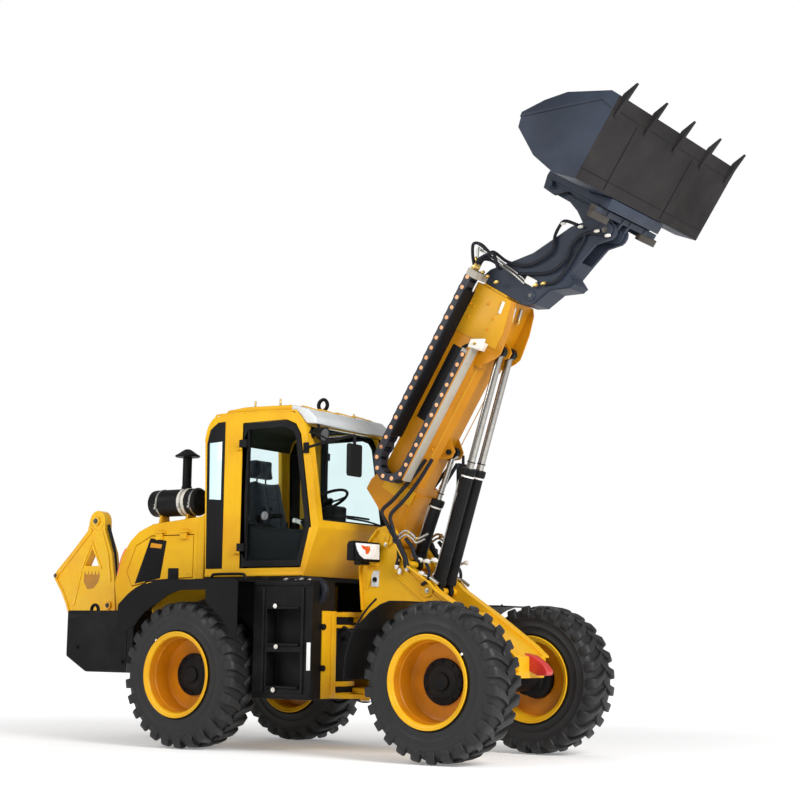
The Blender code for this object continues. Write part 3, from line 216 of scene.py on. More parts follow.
def tube(bm, points, radius, sides=12, rounded=True):
    """A round pipe or hose along a line: one ring is extruded from point to point."""
    line = smooth_line(points) if rounded else [Vector(p) for p in points]
    ahead = (line[1] - line[0]).normalized()
    ring = bmesh.ops.create_circle(bm, cap_ends=True, segments=sides, radius=radius,
                                   matrix=Matrix.Translation(line[0]) @ turn_to(ahead))["verts"]
    made = list(ring)
    face = next(f for f in ring[0].link_faces)
    previous = ahead
    for index in range(1, len(line)):
        after = line[min(index + 1, len(line) - 1)] - line[index - 1]
        heading = after.normalized()
        grown = bmesh.ops.extrude_discrete_faces(bm, faces=[face])
        new_face = grown["faces"][0]
        turn = previous.rotation_difference(heading).to_matrix().to_4x4()
        old, here = line[index - 1], line[index]
        bmesh.ops.transform(bm, matrix=Matrix.Translation(here) @ turn @ Matrix.Translation(-old),
                            verts=list(new_face.verts))
        face = new_face
        made += list(face.verts)
        previous = heading
    # the first face went with the extrusion, so the start is closed again
    rim = [e for e in {e for v in ring for e in v.link_edges} if e.is_boundary]
    bmesh.ops.holes_fill(bm, edges=rim, sides=sides)
    bmesh.ops.recalc_face_normals(bm, faces=list({f for v in made if v.is_valid for f in v.link_faces}))


def fitting(bm, centre, axis, radius=0.014, length=0.04):
    """A hose end: a hexagon nut between two collars."""
    axis = Vector(axis).normalized()
    centre = Vector(centre)
    bar(bm, centre - axis * length * 0.5, centre + axis * length * 0.5, radius * 0.78, 16, 0.001)
    bar(bm, centre - axis * length * 0.2, centre + axis * length * 0.25, radius, 6, 0.001)


def strip(bm, line, thick, low, high, rounding=0.002):
    """A flat bar that follows a line: the line and its copy moved sideways make one outline."""
    points = [Vector(p) for p in line]
    beside = []
    for k, point in enumerate(points):
        ahead = (points[min(k + 1, len(points) - 1)] - points[max(k - 1, 0)]).normalized()
        beside.append(point + Vector((-ahead.y, ahead.x)) * thick)
    outline = [tuple(p) for p in points] + [tuple(p) for p in reversed(beside)]
    prism(bm, outline, low, high, rounding)


def softened(node, width=0.004, angle=20):
    """A copy of a CAD node's mesh, merged and with its long sharp edges rounded."""
    shortest, nearby = 0.03, 0.012
    bm = bmesh.new()
    bm.from_mesh(frame["nodes"][node].data)
    bmesh.ops.remove_doubles(bm, verts=bm.verts, dist=1e-5)
    bmesh.ops.dissolve_limit(bm, angle_limit=math.radians(0.5), verts=bm.verts, edges=bm.edges)
    sharp = [e for e in bm.edges if len(e.link_faces) == 2 and e.calc_face_angle(0) > math.radians(angle)
             and e.calc_length() > shortest
             and all(other.calc_length() > nearby for v in e.verts for other in v.link_edges)]
    round_edges(bm, sharp, width, 2)
    bm.faces.layers.int.new("broad")
    return bm


def make(name, bm, finish, body="chassis", place=MACHINE, slot=None, replaces=None, sharp=SHARP):
    """A finished piece: placed in its mesh, shaded, painted and riding on its body."""
    bmesh.ops.transform(bm, matrix=place, verts=bm.verts)
    broad = bm.faces.layers.int.get("broad")
    if broad:
        bm.faces.layers.int.remove(broad)
    mesh = as_mesh(bm, name)
    finishes = finish if isinstance(finish, list) else [finish]
    for each in finishes:
        mesh.materials.append(MATERIALS[each])
    mesh.shade_smooth()
    mesh.set_sharp_from_angle(angle=sharp)
    piece = bpy.data.objects.new(name, mesh)
    bpy.context.scene.collection.objects.link(piece)
    if broad:
        # flat faces stay flat beside their rounded edges
        flats = piece.modifiers.new("flats", "WEIGHTED_NORMAL")
        flats.keep_sharp = True
        flats.weight = 90
    if body:
        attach(piece, body)
    slot = slot or SLOT_OF.get(finishes[0])
    if replaces:
        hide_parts(replaces)
    return piece


def dress(name, node, finish, body="chassis", width=0.004, angle=20, slot=None):
    """A CAD node's own shape with softened edges, as the piece that replaces it."""
    return make(name, softened(node, width, angle), finish, body, WORLD, slot, node)


# ---------------------------------------------------------------- finishes
MATERIALS, GROUPS = {}, {}
DARK_DUST = (0.075, 0.066, 0.055, 1)


def rgb(colour, factor=1.0):
    return tuple(min(1.0, c * factor) for c in colour[:3]) + (1.0,)


def scaled(colour, *shares):
    return tuple(c * share for c, share in zip(colour, shares))


def group_start(name, inputs, outputs):
    """A shader node group with named sockets, and its nodes and links."""
    tree = bpy.data.node_groups.new(name, "ShaderNodeTree")
    for label, kind, value in inputs:
        socket = tree.interface.new_socket(name=label, in_out="INPUT", socket_type=kind)
        socket.default_value = value
    for label, kind in outputs:
        tree.interface.new_socket(name=label, in_out="OUTPUT", socket_type=kind)
    return tree, tree.nodes.new("NodeGroupInput"), tree.nodes.new("NodeGroupOutput")


def add_node(tree, kind, links=(), **settings):
    """A node with its settings; links are (input name or index, source socket or value)."""
    made = tree.nodes.new(kind)
    for key, value in settings.items():
        setattr(made, key, value)
    for where, source in links:
        if isinstance(source, bpy.types.NodeSocket):
            tree.links.new(source, made.inputs[where])
        else:
            made.inputs[where].default_value = source
    return made


def ramp(tree, value, low, high, to_low=0.0, to_high=1.0, smooth=True):
    node = add_node(tree, "ShaderNodeMapRange", [("Value", value), ("From Min", low), ("From Max", high),
                                                 ("To Min", to_low), ("To Max", to_high)],
                    interpolation_type="SMOOTHSTEP" if smooth else "LINEAR")
    return node.outputs["Result"]


def noise(tree, place, scale, detail, roughness=0.5):
    return add_node(tree, "ShaderNodeTexNoise", [("Vector", place), ("Scale", scale), ("Detail", detail),
                                                 ("Roughness", roughness)]).outputs["Fac"]


def own_place(tree):
    return add_node(tree, "ShaderNodeTexCoord").outputs["Object"]


def bumped(tree, shader, height, strength):
    """Joins a height to the shader's normal."""
    bump = add_node(tree, "ShaderNodeBump", [("Height", height), ("Strength", strength), ("Distance", 0.001)])
    tree.links.new(bump.outputs["Normal"], shader.inputs["Normal"])


def sum_of(tree, first, second, kind="ADD", clamp=False):
    return add_node(tree, "ShaderNodeMath", [(0, first), (1, second)], operation=kind,
                    use_clamp=clamp).outputs["Value"]


def blend_colour(tree, share, first, second):
    return add_node(tree, "ShaderNodeMix", [(0, share), (6, first), (7, second)], data_type="RGBA",
                    blend_type="MIX").outputs[2]


def build_dust_group():
    """Dust that settles low down and in soft patches."""
    tree, given, result = group_start("Loader Dust", [
        ("Low", "NodeSocketFloat", 0.4), ("High", "NodeSocketFloat", 1.6),
        ("Scale", "NodeSocketFloat", 5.0), ("Amount", "NodeSocketFloat", 0.3)], [("Mask", "NodeSocketFloat")])
    place = own_place(tree)
    height = add_node(tree, "ShaderNodeSeparateXYZ", [(0, place)]).outputs["Z"]
    fall = ramp(tree, height, given.outputs["Low"], given.outputs["High"], 1.0, 0.18, False)
    soft = ramp(tree, noise(tree, place, given.outputs["Scale"], 5.0, 0.62), 0.38, 0.72)
    fine = ramp(tree, noise(tree, place, 90.0, 2.0), 0.35, 0.75, 0.6, 1.0)
    mask = sum_of(tree, sum_of(tree, fall, soft, "MULTIPLY"), fine, "MULTIPLY")
    tree.links.new(sum_of(tree, mask, given.outputs["Amount"], "MULTIPLY", True), result.inputs["Mask"])
    return tree


def build_grain_group():
    """The fine skin of paint, rubber or castings as a height."""
    tree, given, result = group_start("Loader Grain", [
        ("Scale", "NodeSocketFloat", 300.0), ("Coarse", "NodeSocketFloat", 30.0),
        ("Coarse Share", "NodeSocketFloat", 0.3)], [("Height", "NodeSocketFloat")])
    place = own_place(tree)
    fine = noise(tree, place, given.outputs["Scale"], 3.0)
    coarse = noise(tree, place, given.outputs["Coarse"], 2.0)
    wide = sum_of(tree, coarse, given.outputs["Coarse Share"], "MULTIPLY")
    tree.links.new(sum_of(tree, fine, wide), result.inputs["Height"])
    return tree


def build_scuff_group():
    """Thin scratches and rubbed patches as a mask."""
    tree, given, result = group_start("Loader Scuffs", [
        ("Scale", "NodeSocketFloat", 12.0), ("Amount", "NodeSocketFloat", 0.3)], [("Mask", "NodeSocketFloat")])
    place = own_place(tree)
    lean = add_node(tree, "ShaderNodeMapping", [("Vector", place), ("Rotation", (0.3, 0.5, 0.2)),
                                                ("Scale", (1.0, 1.0, 9.0))]).outputs["Vector"]
    thin = ramp(tree, noise(tree, lean, given.outputs["Scale"], 6.0, 0.7), 0.62, 0.7)
    where = ramp(tree, noise(tree, place, 3.0, 2.0), 0.48, 0.66)
    mask = sum_of(tree, thin, where, "MULTIPLY")
    tree.links.new(sum_of(tree, mask, given.outputs["Amount"], "MULTIPLY", True), result.inputs["Mask"])
    return tree


def finish_base(name, colour, roughness, shade=0.8, metallic=0.0, shade_scale=2.2, dust=None,
                dust_colour=(0.3, 0.25, 0.19, 1), grain=(500.0, 60.0, 0.5, 0.15), scuffs=0.0,
                scuff_colour=(0.3, 0.29, 0.28, 1), coat=0.0, spread=0.1, gloss=0.5):
    """A finish: two tones that drift, dust, scuffs and a grain, around one shader."""
    made = bpy.data.materials.new(name)
    made.use_nodes = True
    tree = made.node_tree
    shader = tree.nodes["Principled BSDF"]
    shader.inputs["Metallic"].default_value = metallic
    shader.inputs["Specular IOR Level"].default_value = gloss
    if coat:
        shader.inputs["Coat Weight"].default_value = coat
        shader.inputs["Coat Roughness"].default_value = 0.12
    drift = noise(tree, own_place(tree), shade_scale, 4.0, 0.55)
    tone = blend_colour(tree, ramp(tree, drift, 0.35, 0.68), rgb(colour),
                        rgb(colour, shade) if isinstance(shade, float) else rgb(shade))
    if scuffs:
        marks = add_node(tree, "ShaderNodeGroup", [("Amount", scuffs)], node_tree=GROUPS["scuffs"])
        tone = blend_colour(tree, marks.outputs["Mask"], tone, scuff_colour)
    rough = ramp(tree, drift, 0.3, 0.75, roughness - spread / 2, roughness + spread / 2)
    if dust:
        settled = add_node(tree, "ShaderNodeGroup", zip(("Low", "High", "Amount"), dust), node_tree=GROUPS["dust"])
        tone = blend_colour(tree, settled.outputs["Mask"], tone, dust_colour)
        rough = sum_of(tree, rough, sum_of(tree, settled.outputs["Mask"], 0.35, "MULTIPLY"), "ADD", True)
    tree.links.new(tone, shader.inputs["Base Color"])
    tree.links.new(rough, shader.inputs["Roughness"])
    if grain:
        skin = add_node(tree, "ShaderNodeGroup", zip(("Scale", "Coarse", "Coarse Share"), grain),
                        node_tree=GROUPS["grain"])
        bumped(tree, shader, skin.outputs["Height"], grain[3])
    MATERIALS[name] = made
    return made, tree, shader


def mix_finishes(paints):
    """All finishes of the machine, from the colours that the user sets."""
    GROUPS["dust"] = build_dust_group()
    GROUPS["grain"] = build_grain_group()
    GROUPS["scuffs"] = build_scuff_group()
    amber, lemon, black, slate, rubber = paints.amber, paints.lemon, paints.black, paints.slate, paints.rubber
    casting, skin, fine = (160.0, 40.0, 0.8, 0.5), (420.0, 26.0, 0.35, 0.12), (900.0, 200.0, 0.5, 0.4)
    painted = dict(dust=(0.3, 2.6, 0.05), grain=skin, scuffs=0.12, coat=0.03, gloss=0.2)
    finish_base("paint_amber", amber, 0.36, scaled(amber, 0.9, 0.8, 0.8), **painted)
    # the boom's body is the same amber, painted darker and deeper orange: painted shade
    finish_base("paint_boom", scaled(amber, 0.66, 0.47, 0.4), 0.4, 0.86, **painted)
    # the doublers are the same amber, painted lighter and yellower than the boom's body: painted highlight
    finish_base("paint_doubler", scaled(amber, 0.78, 0.7, 1.2), 0.4, 0.86, **painted)
    # a darker, deeper orange copy of the amber: painted shade, on the boom's bolts and the hood's blank plate
    finish_base("paint_deep", scaled(amber, 0.86, 0.62, 1.0), 0.42, 0.8, dust=(0.3, 2.6, 0.08), grain=skin,
                scuffs=0.25, gloss=0.2)
    # the rim's dish in a darker, deeper orange copy of the amber: painted shade of the flange; its dust and scuffs
    # are real
    finish_base("paint_dish_shaded", scaled(amber, 0.82, 0.52, 0.4), 0.4, 0.72, dust=(0.0, 1.6, 0.06), grain=skin,
                scuffs=0.08, coat=0.05, gloss=0.2)
    finish_base("paint_lemon", lemon, 0.38, scaled(lemon, 0.95, 0.8, 0.6), dust=(0.6, 2.4, 0.14),
                grain=skin, scuffs=0.3, coat=0.15)
    finish_base("paint_black", black, 0.45, 1.6, dust=(0.3, 2.2, 0.15), dust_colour=DARK_DUST, grain=skin,
                scuffs=0.15, scuff_colour=(0.05, 0.05, 0.05, 1), gloss=0.12)
    finish_base("cast_black", black, 0.55, 1.3, dust=(0.3, 1.6, 0.2), dust_colour=DARK_DUST, grain=casting,
                gloss=0.12)
    finish_base("paint_slate", slate, 0.5, 0.72, dust=(3.0, 5.0, 0.03), grain=skin, scuffs=0.25,
                scuff_colour=(0.07, 0.07, 0.08, 1), gloss=0.2)
    finish_base("paint_floor", (0.014, 0.012, 0.013), 0.6, (0.009, 0.008, 0.008), dust=(3.0, 5.0, 0.05),
                scuffs=0.35, scuff_colour=(0.05, 0.045, 0.043, 1), gloss=0.15)
    finish_base("paint_grey", (0.62, 0.65, 0.66), 0.35, 0.86, dust=(1.0, 3.5, 0.1), coat=0.3)
    finish_base("engine_grey", (0.11, 0.115, 0.12), 0.5, 0.65, grain=casting, gloss=0.3)
    finish_base("paint_red", (0.62, 0.03, 0.025), 0.35, 0.75, coat=0.3)
    finish_base("tyre_rubber", rubber, 0.56, 0.7, dust=(-0.2, 1.9, 0.3), dust_colour=(0.05, 0.048, 0.048, 1),
                grain=(260.0, 55.0, 0.8, 0.35), spread=0.16, shade_scale=5.0, gloss=0.4)
    # lugs lighter than the walls: partly dust, partly a painted sheen
    finish_base("tyre_lug_dust_and_sheen", rgb(rubber, 1.2), 0.52, 0.8, dust=(-0.2, 1.9, 0.4), dust_colour=(0.06, 0.057, 0.055, 1),
                grain=(200.0, 45.0, 0.9, 0.45), spread=0.16, shade_scale=9.0, gloss=0.4)
    finish_base("hose_rubber", (0.008, 0.009, 0.013), 0.5, 1.5, grain=fine, gloss=0.2)
    finish_base("trim_rubber", (0.005, 0.005, 0.006), 0.62, 1.5, grain=fine, gloss=0.15)
    finish_base("moulded_black", (0.0055, 0.0055, 0.006), 0.55, 1.3, grain=(1100.0, 300.0, 0.6, 0.5), gloss=0.12)
    finish_base("chain_plastic", (0.02, 0.024, 0.034), 0.48, 0.75, grain=(800.0, 160.0, 0.5, 0.3), gloss=0.35)
    finish_base("rivet_plastic", (0.85, 0.42, 0.2), 0.4, (0.75, 0.33, 0.13), grain=fine)
    # dark olive lining: the shade inside the cab, painted into its colour
    finish_base("cabin_lining", (0.018, 0.022, 0.015), 0.8, 1.5, grain=(900.0, 90.0, 0.9, 0.7), gloss=0.2)
    finish_base("zinc", (0.5, 0.49, 0.46), 0.36, 0.72, metallic=0.85, dust=(0.5, 3.0, 0.1), spread=0.16)
    finish_base("zinc_tray", (0.4, 0.37, 0.31), 0.55, 0.8, dust=(0.5, 3.0, 0.2), gloss=0.4)
    finish_base("white_fitting", (0.8, 0.78, 0.74), 0.4, (0.62, 0.58, 0.5), dust=(0.5, 3.0, 0.08))
    finish_base("brass", (0.55, 0.38, 0.12), 0.32, 0.7, metallic=0.9)
    finish_base("worn_steel", (0.14, 0.135, 0.13), 0.42, (0.09, 0.075, 0.06), metallic=0.5, scuffs=0.3,
                dust=(0.3, 4.0, 0.2), dust_colour=DARK_DUST, grain=(300.0, 40.0, 0.8, 0.35), spread=0.2)
    finish_base("bar_worn", (0.04, 0.033, 0.028), 0.5, 0.7, scuffs=0.3, scuff_colour=(0.12, 0.1, 0.08, 1),
                grain=casting, gloss=0.25)
    # the scoop's dark orange-brown is painted shade of a recess; its scuffs and dust are wear
    finish_base("scoop_worn", (0.5, 0.21, 0.012), 0.5, 0.6, dust=(0.3, 3.0, 0.1), scuffs=0.2, grain=casting)
    finish_base("pane_bright", (0.66, 0.88, 0.89), 0.1, 0.95, coat=0.5, grain=None)
    finish_base("chrome", (0.34, 0.325, 0.3), 0.14, 0.85, metallic=1.0, grain=(1500.0, 200.0, 0.2, 0.03),
                spread=0.06, shade_scale=30.0)
    finish_base("reflector_white", (0.85, 0.85, 0.84), 0.3, 0.92, grain=(1600.0, 400.0, 1.0, 0.5))
    finish_base("mirror_face", (0.8, 0.82, 0.84), 0.05, 0.95, metallic=1.0, grain=None, spread=0.02)
    finish_base("lens_clear", (0.9, 0.91, 0.92), 0.14, 0.85, coat=0.6, grain=(90.0, 30.0, 1.0, 0.3),
                shade_scale=22.0)
    finish_base("lens_orange", (0.85, 0.13, 0.02), 0.18, (0.62, 0.04, 0.01), coat=0.6,
                grain=(160.0, 60.0, 1.0, 0.4), shade_scale=30.0)
    finish_base("lens_red", (0.66, 0.06, 0.04), 0.2, (0.85, 0.22, 0.14), coat=0.6, grain=(160.0, 60.0, 1.0, 0.4),
                shade_scale=40.0)
    finish_base("handle_grey", (0.16, 0.165, 0.17), 0.35, 0.8, coat=0.2)
    finish_base("dial_face", (0.45, 0.47, 0.48), 0.4, 0.7, grain=None)
    mix_glass("glass_clear", rgb(paints.glass))
    mix_seat_cloth(slate)


def mix_glass(name, tint):
    """Lightly tinted pane with a trace of dust."""
    made = bpy.data.materials.new(name)
    made.use_nodes = True
    tree = made.node_tree
    shader = tree.nodes["Principled BSDF"]
    shader.inputs["Metallic"].default_value = 0.0
    shader.inputs["Transmission Weight"].default_value = 1.0
    shader.inputs["IOR"].default_value = 1.05
    haze = noise(tree, own_place(tree), 3.5, 5.0)
    tree.links.new(ramp(tree, haze, 0.35, 0.8, 0.0, 0.05), shader.inputs["Roughness"])
    tree.links.new(blend_colour(tree, ramp(tree, haze, 0.4, 0.8, 0.0, 0.5), tint, rgb(tint, 0.94)),
                   shader.inputs["Base Color"])
    MATERIALS[name] = made


def mix_seat_cloth(slate):
    """Woven seat cover: two crossing threads as bands on the object's own axes."""
    _, tree, shader = finish_base("seat_cloth", rgb(slate, 1.1), 0.85, 0.7, grain=None, shade_scale=9.0, gloss=0.2)
    shader.inputs["Sheen Weight"].default_value = 0.3
    place = own_place(tree)
    warp, weft = (add_node(tree, "ShaderNodeTexWave", [("Vector", place), ("Scale", 160.0), ("Distortion", 1.5)],
                           bands_direction=axis).outputs["Fac"] for axis in "YZ")
    bumped(tree, shader, sum_of(tree, warp, weft), 0.5)


# ---------------------------------------------------------------- tyres and rims
TYRE_HALF, LUG_TOP, SHAFT_Y = 0.19, 0.5945, 0.06
RIM_PROFILE = [
    (0.3168, 0.164), (0.328, 0.188), (0.344, 0.1925), (0.349, 0.199), (0.348, 0.2055), (0.342, 0.209),
    (0.335, 0.206), (0.33, 0.199), (0.318, 0.196), (0.312, 0.19), (0.306, 0.178), (0.304, 0.12),
    (0.301, 0.112), (0.295, 0.106), (0.293, -0.015), (0.286, -0.029), (0.27, -0.035), (0.2, -0.036),
    (0.15, -0.036), (0.15, -0.054), (0.286, -0.054), (0.298, -0.065), (0.3, -0.165), (0.307, -0.186),
    (0.318, -0.196), (0.33, -0.199), (0.335, -0.206), (0.342, -0.209), (0.348, -0.2055),
    (0.349, -0.199), (0.344, -0.1925), (0.328, -0.188), (0.3168, -0.164), (0.315, 0.0)]


def wheel_place(corner):
    low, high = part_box("tyre_" + corner)
    return Matrix.Translation((low + high) / 2)


def tyre_profile(crown, half):
    """Carcass outline from bead to bead, with a rim guard and two rings on each wall."""
    wall = [(0.318, 0.86), (0.34, 0.925), (0.356, 0.952), (0.362, 0.985), (0.37, 0.992), (0.377, 0.975),
            (0.4, 0.978), (0.42, 0.984), (0.423, 0.994), (0.43, 0.995), (0.433, 0.986), (0.46, 0.99),
            (0.482, 0.98), (0.485, 0.988), (0.491, 0.987), (0.494, 0.972), (0.515, 0.945), (0.532, 0.89),
            (0.546, 0.79), (0.554, 0.65), (0.559, 0.45), (0.561, 0.2)]
    shift = crown - 0.562
    outer = [(r + shift * min(1, max(0, (r - 0.5) / 0.06)), share * half) for r, share in wall]
    return outer + [(crown, 0.0)] + [(r, -y) for r, y in reversed(outer)]


def lug_stations(half, top, width):
    """(bottom radius, bottom y, top radius, top y, turn in radians, half width) from crown to shoulder."""
    return [
        (0.545, -0.018, top - 0.006, -0.014, -0.118, width * 0.6),
        (0.545, 0.03, top - 0.001, 0.03, -0.066, width * 0.76),
        (0.545, 0.08, top - 0.0008, 0.08, -0.016, width * 0.88),
        (0.54, 0.126, top - 0.001, 0.128, 0.016, width * 0.98),
        (0.528, 0.15, top - 0.006, 0.158, 0.03, width * 1.06),
        (0.512, 0.166, top - 0.018, half - 0.012, 0.036, width * 1.14),
        (0.495, 0.174, top - 0.046, half, 0.04, width * 1.1),
        (0.48, 0.178, top - 0.086, half, 0.042, width * 0.8)]


def lug_mesh(half, top, width):
    """One slanted lug: a face that is extruded from station to station over the shoulder."""
    bm = bmesh.new()

    def ring(station):
        r0, y0, r1, y1, turn, w = station
        corners = []
        for radius, y, across in ((r0, y0, -w * 1.12), (r0, y0, w * 1.12), (r1, y1, w), (r1, y1, -w)):
            angle = turn + across / radius
            corners.append((radius * math.sin(angle), y, radius * math.cos(angle)))
        return corners

    stations = lug_stations(half, top, width)
    face = bm.faces.new([bm.verts.new(c) for c in ring(stations[0])])
    for station in stations[1:]:
        order = [v.co.copy() for v in face.verts]
        grown = bmesh.ops.extrude_discrete_faces(bm, faces=[face])
        face = grown["faces"][0]
        for vert in face.verts:
            index = min(range(4), key=lambda k: (order[k] - vert.co).length)
            vert.co = ring(station)[index]
    bmesh.ops.holes_fill(bm, edges=[e for e in bm.edges if e.is_boundary], sides=4)
    bmesh.ops.recalc_face_normals(bm, faces=bm.faces)
    top_edges = [e for e in bm.edges if len(e.link_faces) == 2 and e.calc_face_angle(0) > 0.7
                 and all(v.co.x ** 2 + v.co.z ** 2 > 0.505 ** 2 for v in e.verts)]
    round_edges(bm, top_edges, 0.0085, 3)
    return as_mesh(bm, "lug")


def add_copy(bm, mesh, place):
    """The mesh, added at a place. A mirroring place has its faces turned back outwards."""
    before = set(bm.verts)
    bm.from_mesh(mesh)
    added = [v for v in bm.verts if v not in before]
    bmesh.ops.transform(bm, matrix=place, verts=added)
    if place.to_3x3().determinant() < 0:
        bmesh.ops.reverse_faces(bm, faces=list({f for v in added for f in v.link_faces}))


def build_tyre(corner, side, sizes, lug):
    bm = bmesh.new()
    lathe(bm, tyre_profile(sizes.crown, TYRE_HALF), steps=96)
    carcass = len(bm.faces)
    step = math.tau / sizes.lugs
    for index in range(sizes.lugs):
        add_copy(bm, lug, Matrix.Rotation(index * step, 4, "Y"))
        add_copy(bm, lug, Matrix.Rotation((index + 0.5) * step, 4, "Y") @ Matrix.Scale(-1, 4, (0, 1, 0)))
    # lug faces take the lighter rubber, which is partly a painted sheen
    bm.faces.ensure_lookup_table()
    for index, face in enumerate(bm.faces):
        if index >= carcass and abs(face.normal.y) < 0.85:
            face.material_index = 1
    if side < 0:
        bmesh.ops.transform(bm, matrix=Matrix.Rotation(math.pi, 4, "Z"), verts=bm.verts)
    make("tread_tyre_" + corner, bm, ["tyre_rubber", "tyre_lug_dust_and_sheen"], corner + "_wheel", wheel_place(corner),
         replaces="tyre_" + corner, sharp=math.radians(38))


def build_rim(corner, side):
    """Dished rim, its nuts, the black hub cover and the valve."""
    place = wheel_place(corner)
    outward = Matrix.Rotation(0 if side > 0 else math.pi, 4, "Z")
    body = corner + "_wheel"
    bm = bmesh.new()
    lathe(bm, RIM_PROFILE, steps=96)
    # faces of the dish inside the flange take the darker amber: painted shade
    for face in bm.faces:
        spot = face.calc_center_median()
        if math.hypot(spot.x, spot.z) < 0.309 and -0.06 < spot.y < 0.175:
            face.material_index = 1
    make("rim_dish_" + corner, bm, ["paint_amber", "paint_dish_shaded"], body, place @ outward,
         replaces="rim_" + corner, sharp=math.radians(40))
    hub = bmesh.new()
    lathe(hub, [(1e-6, 0.018), (0.06, 0.018), (0.066, 0.012), (0.068, 0.0), (0.12, -0.004), (0.128, -0.01),
                (0.168, -0.014), (0.1725, -0.02), (0.1725, -0.0365), (0.1, -0.037), (0.1, -0.056), (0.155, -0.056),
                (0.158, -0.064), (0.15, -0.11), (0.118, -0.128), (0.06, -0.13), (1e-6, -0.13)], steps=64,
          closed=False)
    for index in range(10):
        angle = math.tau * index / 10
        bolt(hub, (0.148 * math.sin(angle), -0.012, 0.148 * math.cos(angle)), (0, 1, 0), 0.01)
    make("hub_" + corner, hub, "cast_black", body, place @ outward)
    # white valve cap at the tyre's wall, upwards and outwards
    valve = bmesh.new()
    turn = math.radians(55 if "front" in corner else -40)
    x, z = math.sin(turn), math.cos(turn)
    bar(valve, (x * 0.35, side * 0.186, z * 0.35), (x * 0.366, side * 0.1955, z * 0.366), 0.0095, 12)
    make("valve_" + corner, valve, "white_fitting", body, place)


def build_axle(end, body):
    node = end + "_axle"
    bm = softened(node, 0.006, 25)
    low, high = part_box(node)
    middle = (low + high) / 2
    x, z = middle.x, middle.z
    for side in (-1, 1):
        for index in range(8):
            angle = math.tau * index / 8
            bolt(bm, (x + 0.112 * math.cos(angle) * 0.98, SHAFT_Y + side * 0.166,
                      z + 0.112 * math.sin(angle) * 0.6), (0, side, 0), 0.009, False)
        lathe(bm, [(0.097, -0.02), (0.128, -0.018), (0.132, -0.01), (0.132, 0.01), (0.128, 0.016), (0.097, 0.018)],
              (x, side * 0.54, z), (0, side, 0), 32)
        bar(bm, (x - 0.105, side * 0.46, z + 0.02), (x - 0.105, side * 0.36, z + 0.02), 0.026, 16, 0.004)
    make(node + "_casting", bm, "cast_black", body, WORLD, replaces=node)


def build_driveline():
    """Shafts from the middle of the machine to both axles."""
    for end, body, sign in (("rear", "chassis", -1), ("front", "front_chassis", 1)):
        low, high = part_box(end + "_axle")
        middle = (low + high) / 2
        flange = middle.x - sign * 0.115
        inner = MACHINE.translation.x + sign * 0.2
        bm = bmesh.new()
        bar(bm, (inner, SHAFT_Y, 0.64), (flange, SHAFT_Y, middle.z + 0.01), 0.034, 24, 0.003)
        for x, z in ((inner, 0.64), (flange, 0.615)):
            bar(bm, (x - 0.018, SHAFT_Y, z), (x + 0.018, SHAFT_Y, z), 0.062, 24, 0.004)
            for index in range(6):
                angle = math.tau * index / 6
                bolt(bm, (x + sign * 0.018, SHAFT_Y + 0.048 * math.cos(angle), z + 0.048 * math.sin(angle)),
                     (sign, 0, 0), 0.006, False)
        make(end + "_drive_shaft", bm, "cast_black", body, WORLD)


# ---------------------------------------------------------------- rear chassis
def build_rear_frame():
    dress("rear_frame_welded", "rear_frame", "paint_amber", width=0.005)
    bm = bmesh.new()
    for z in (0.445, 1.12):
        dome(bm, (0, 0, z - 0.006 if z > 1 else z - 0.05), (0, 0, 1 if z > 1 else -1), 0.052, 0.014)
    for side in (-1, 1):
        for z in (0.56, 0.8, 1.02):
            bolt(bm, (-0.0595, side * 0.205, z), (1, 0, 0), 0.012)
    make("hitch_pins", bm, "cast_black")
    # bulkhead behind the front wheels: black plates between amber bars, which paint the shade in the frame's
    # openings, and the upright plates
    bm, dark = bmesh.new(), bmesh.new()
    for side in (-1, 1):
        for low, high in ((0.47, 0.52), (0.56, 0.985), (1.012, 1.075)):
            block(dark, (-0.052, side * 0.1, low), (-0.044, side * 0.425, high), 0.002)
        for low, high in ((0.43, 0.47), (0.52, 0.56), (0.985, 1.012), (1.075, 1.11)):
            block(bm, (-0.05, side * 0.1, low), (-0.036, side * 0.425, high), 0.004)
        for near, far, foot, top, back, front, rounding in ((0.415, 0.6, 0.43, 1.118, -0.0095, 0.004, 0.003),
                                                            (0.455, 0.49, 0.45, 1.1, 0.0035, 0.014, 0.005)):
            low, high = sorted((side * near, side * far))
            prism(bm, [(low, foot), (high, foot), (high, top), (low, top)], back, front, rounding, along="X")
        for z in (0.992, 0.667):
            bar(dark, (-0.008, side * 0.592, z), (0.02, side * 0.592, z), 0.024, 20, 0.004)
    make("bulkhead_plates", bm, "paint_amber")
    make("bulkhead_shade_plates", dark, "trim_rubber")


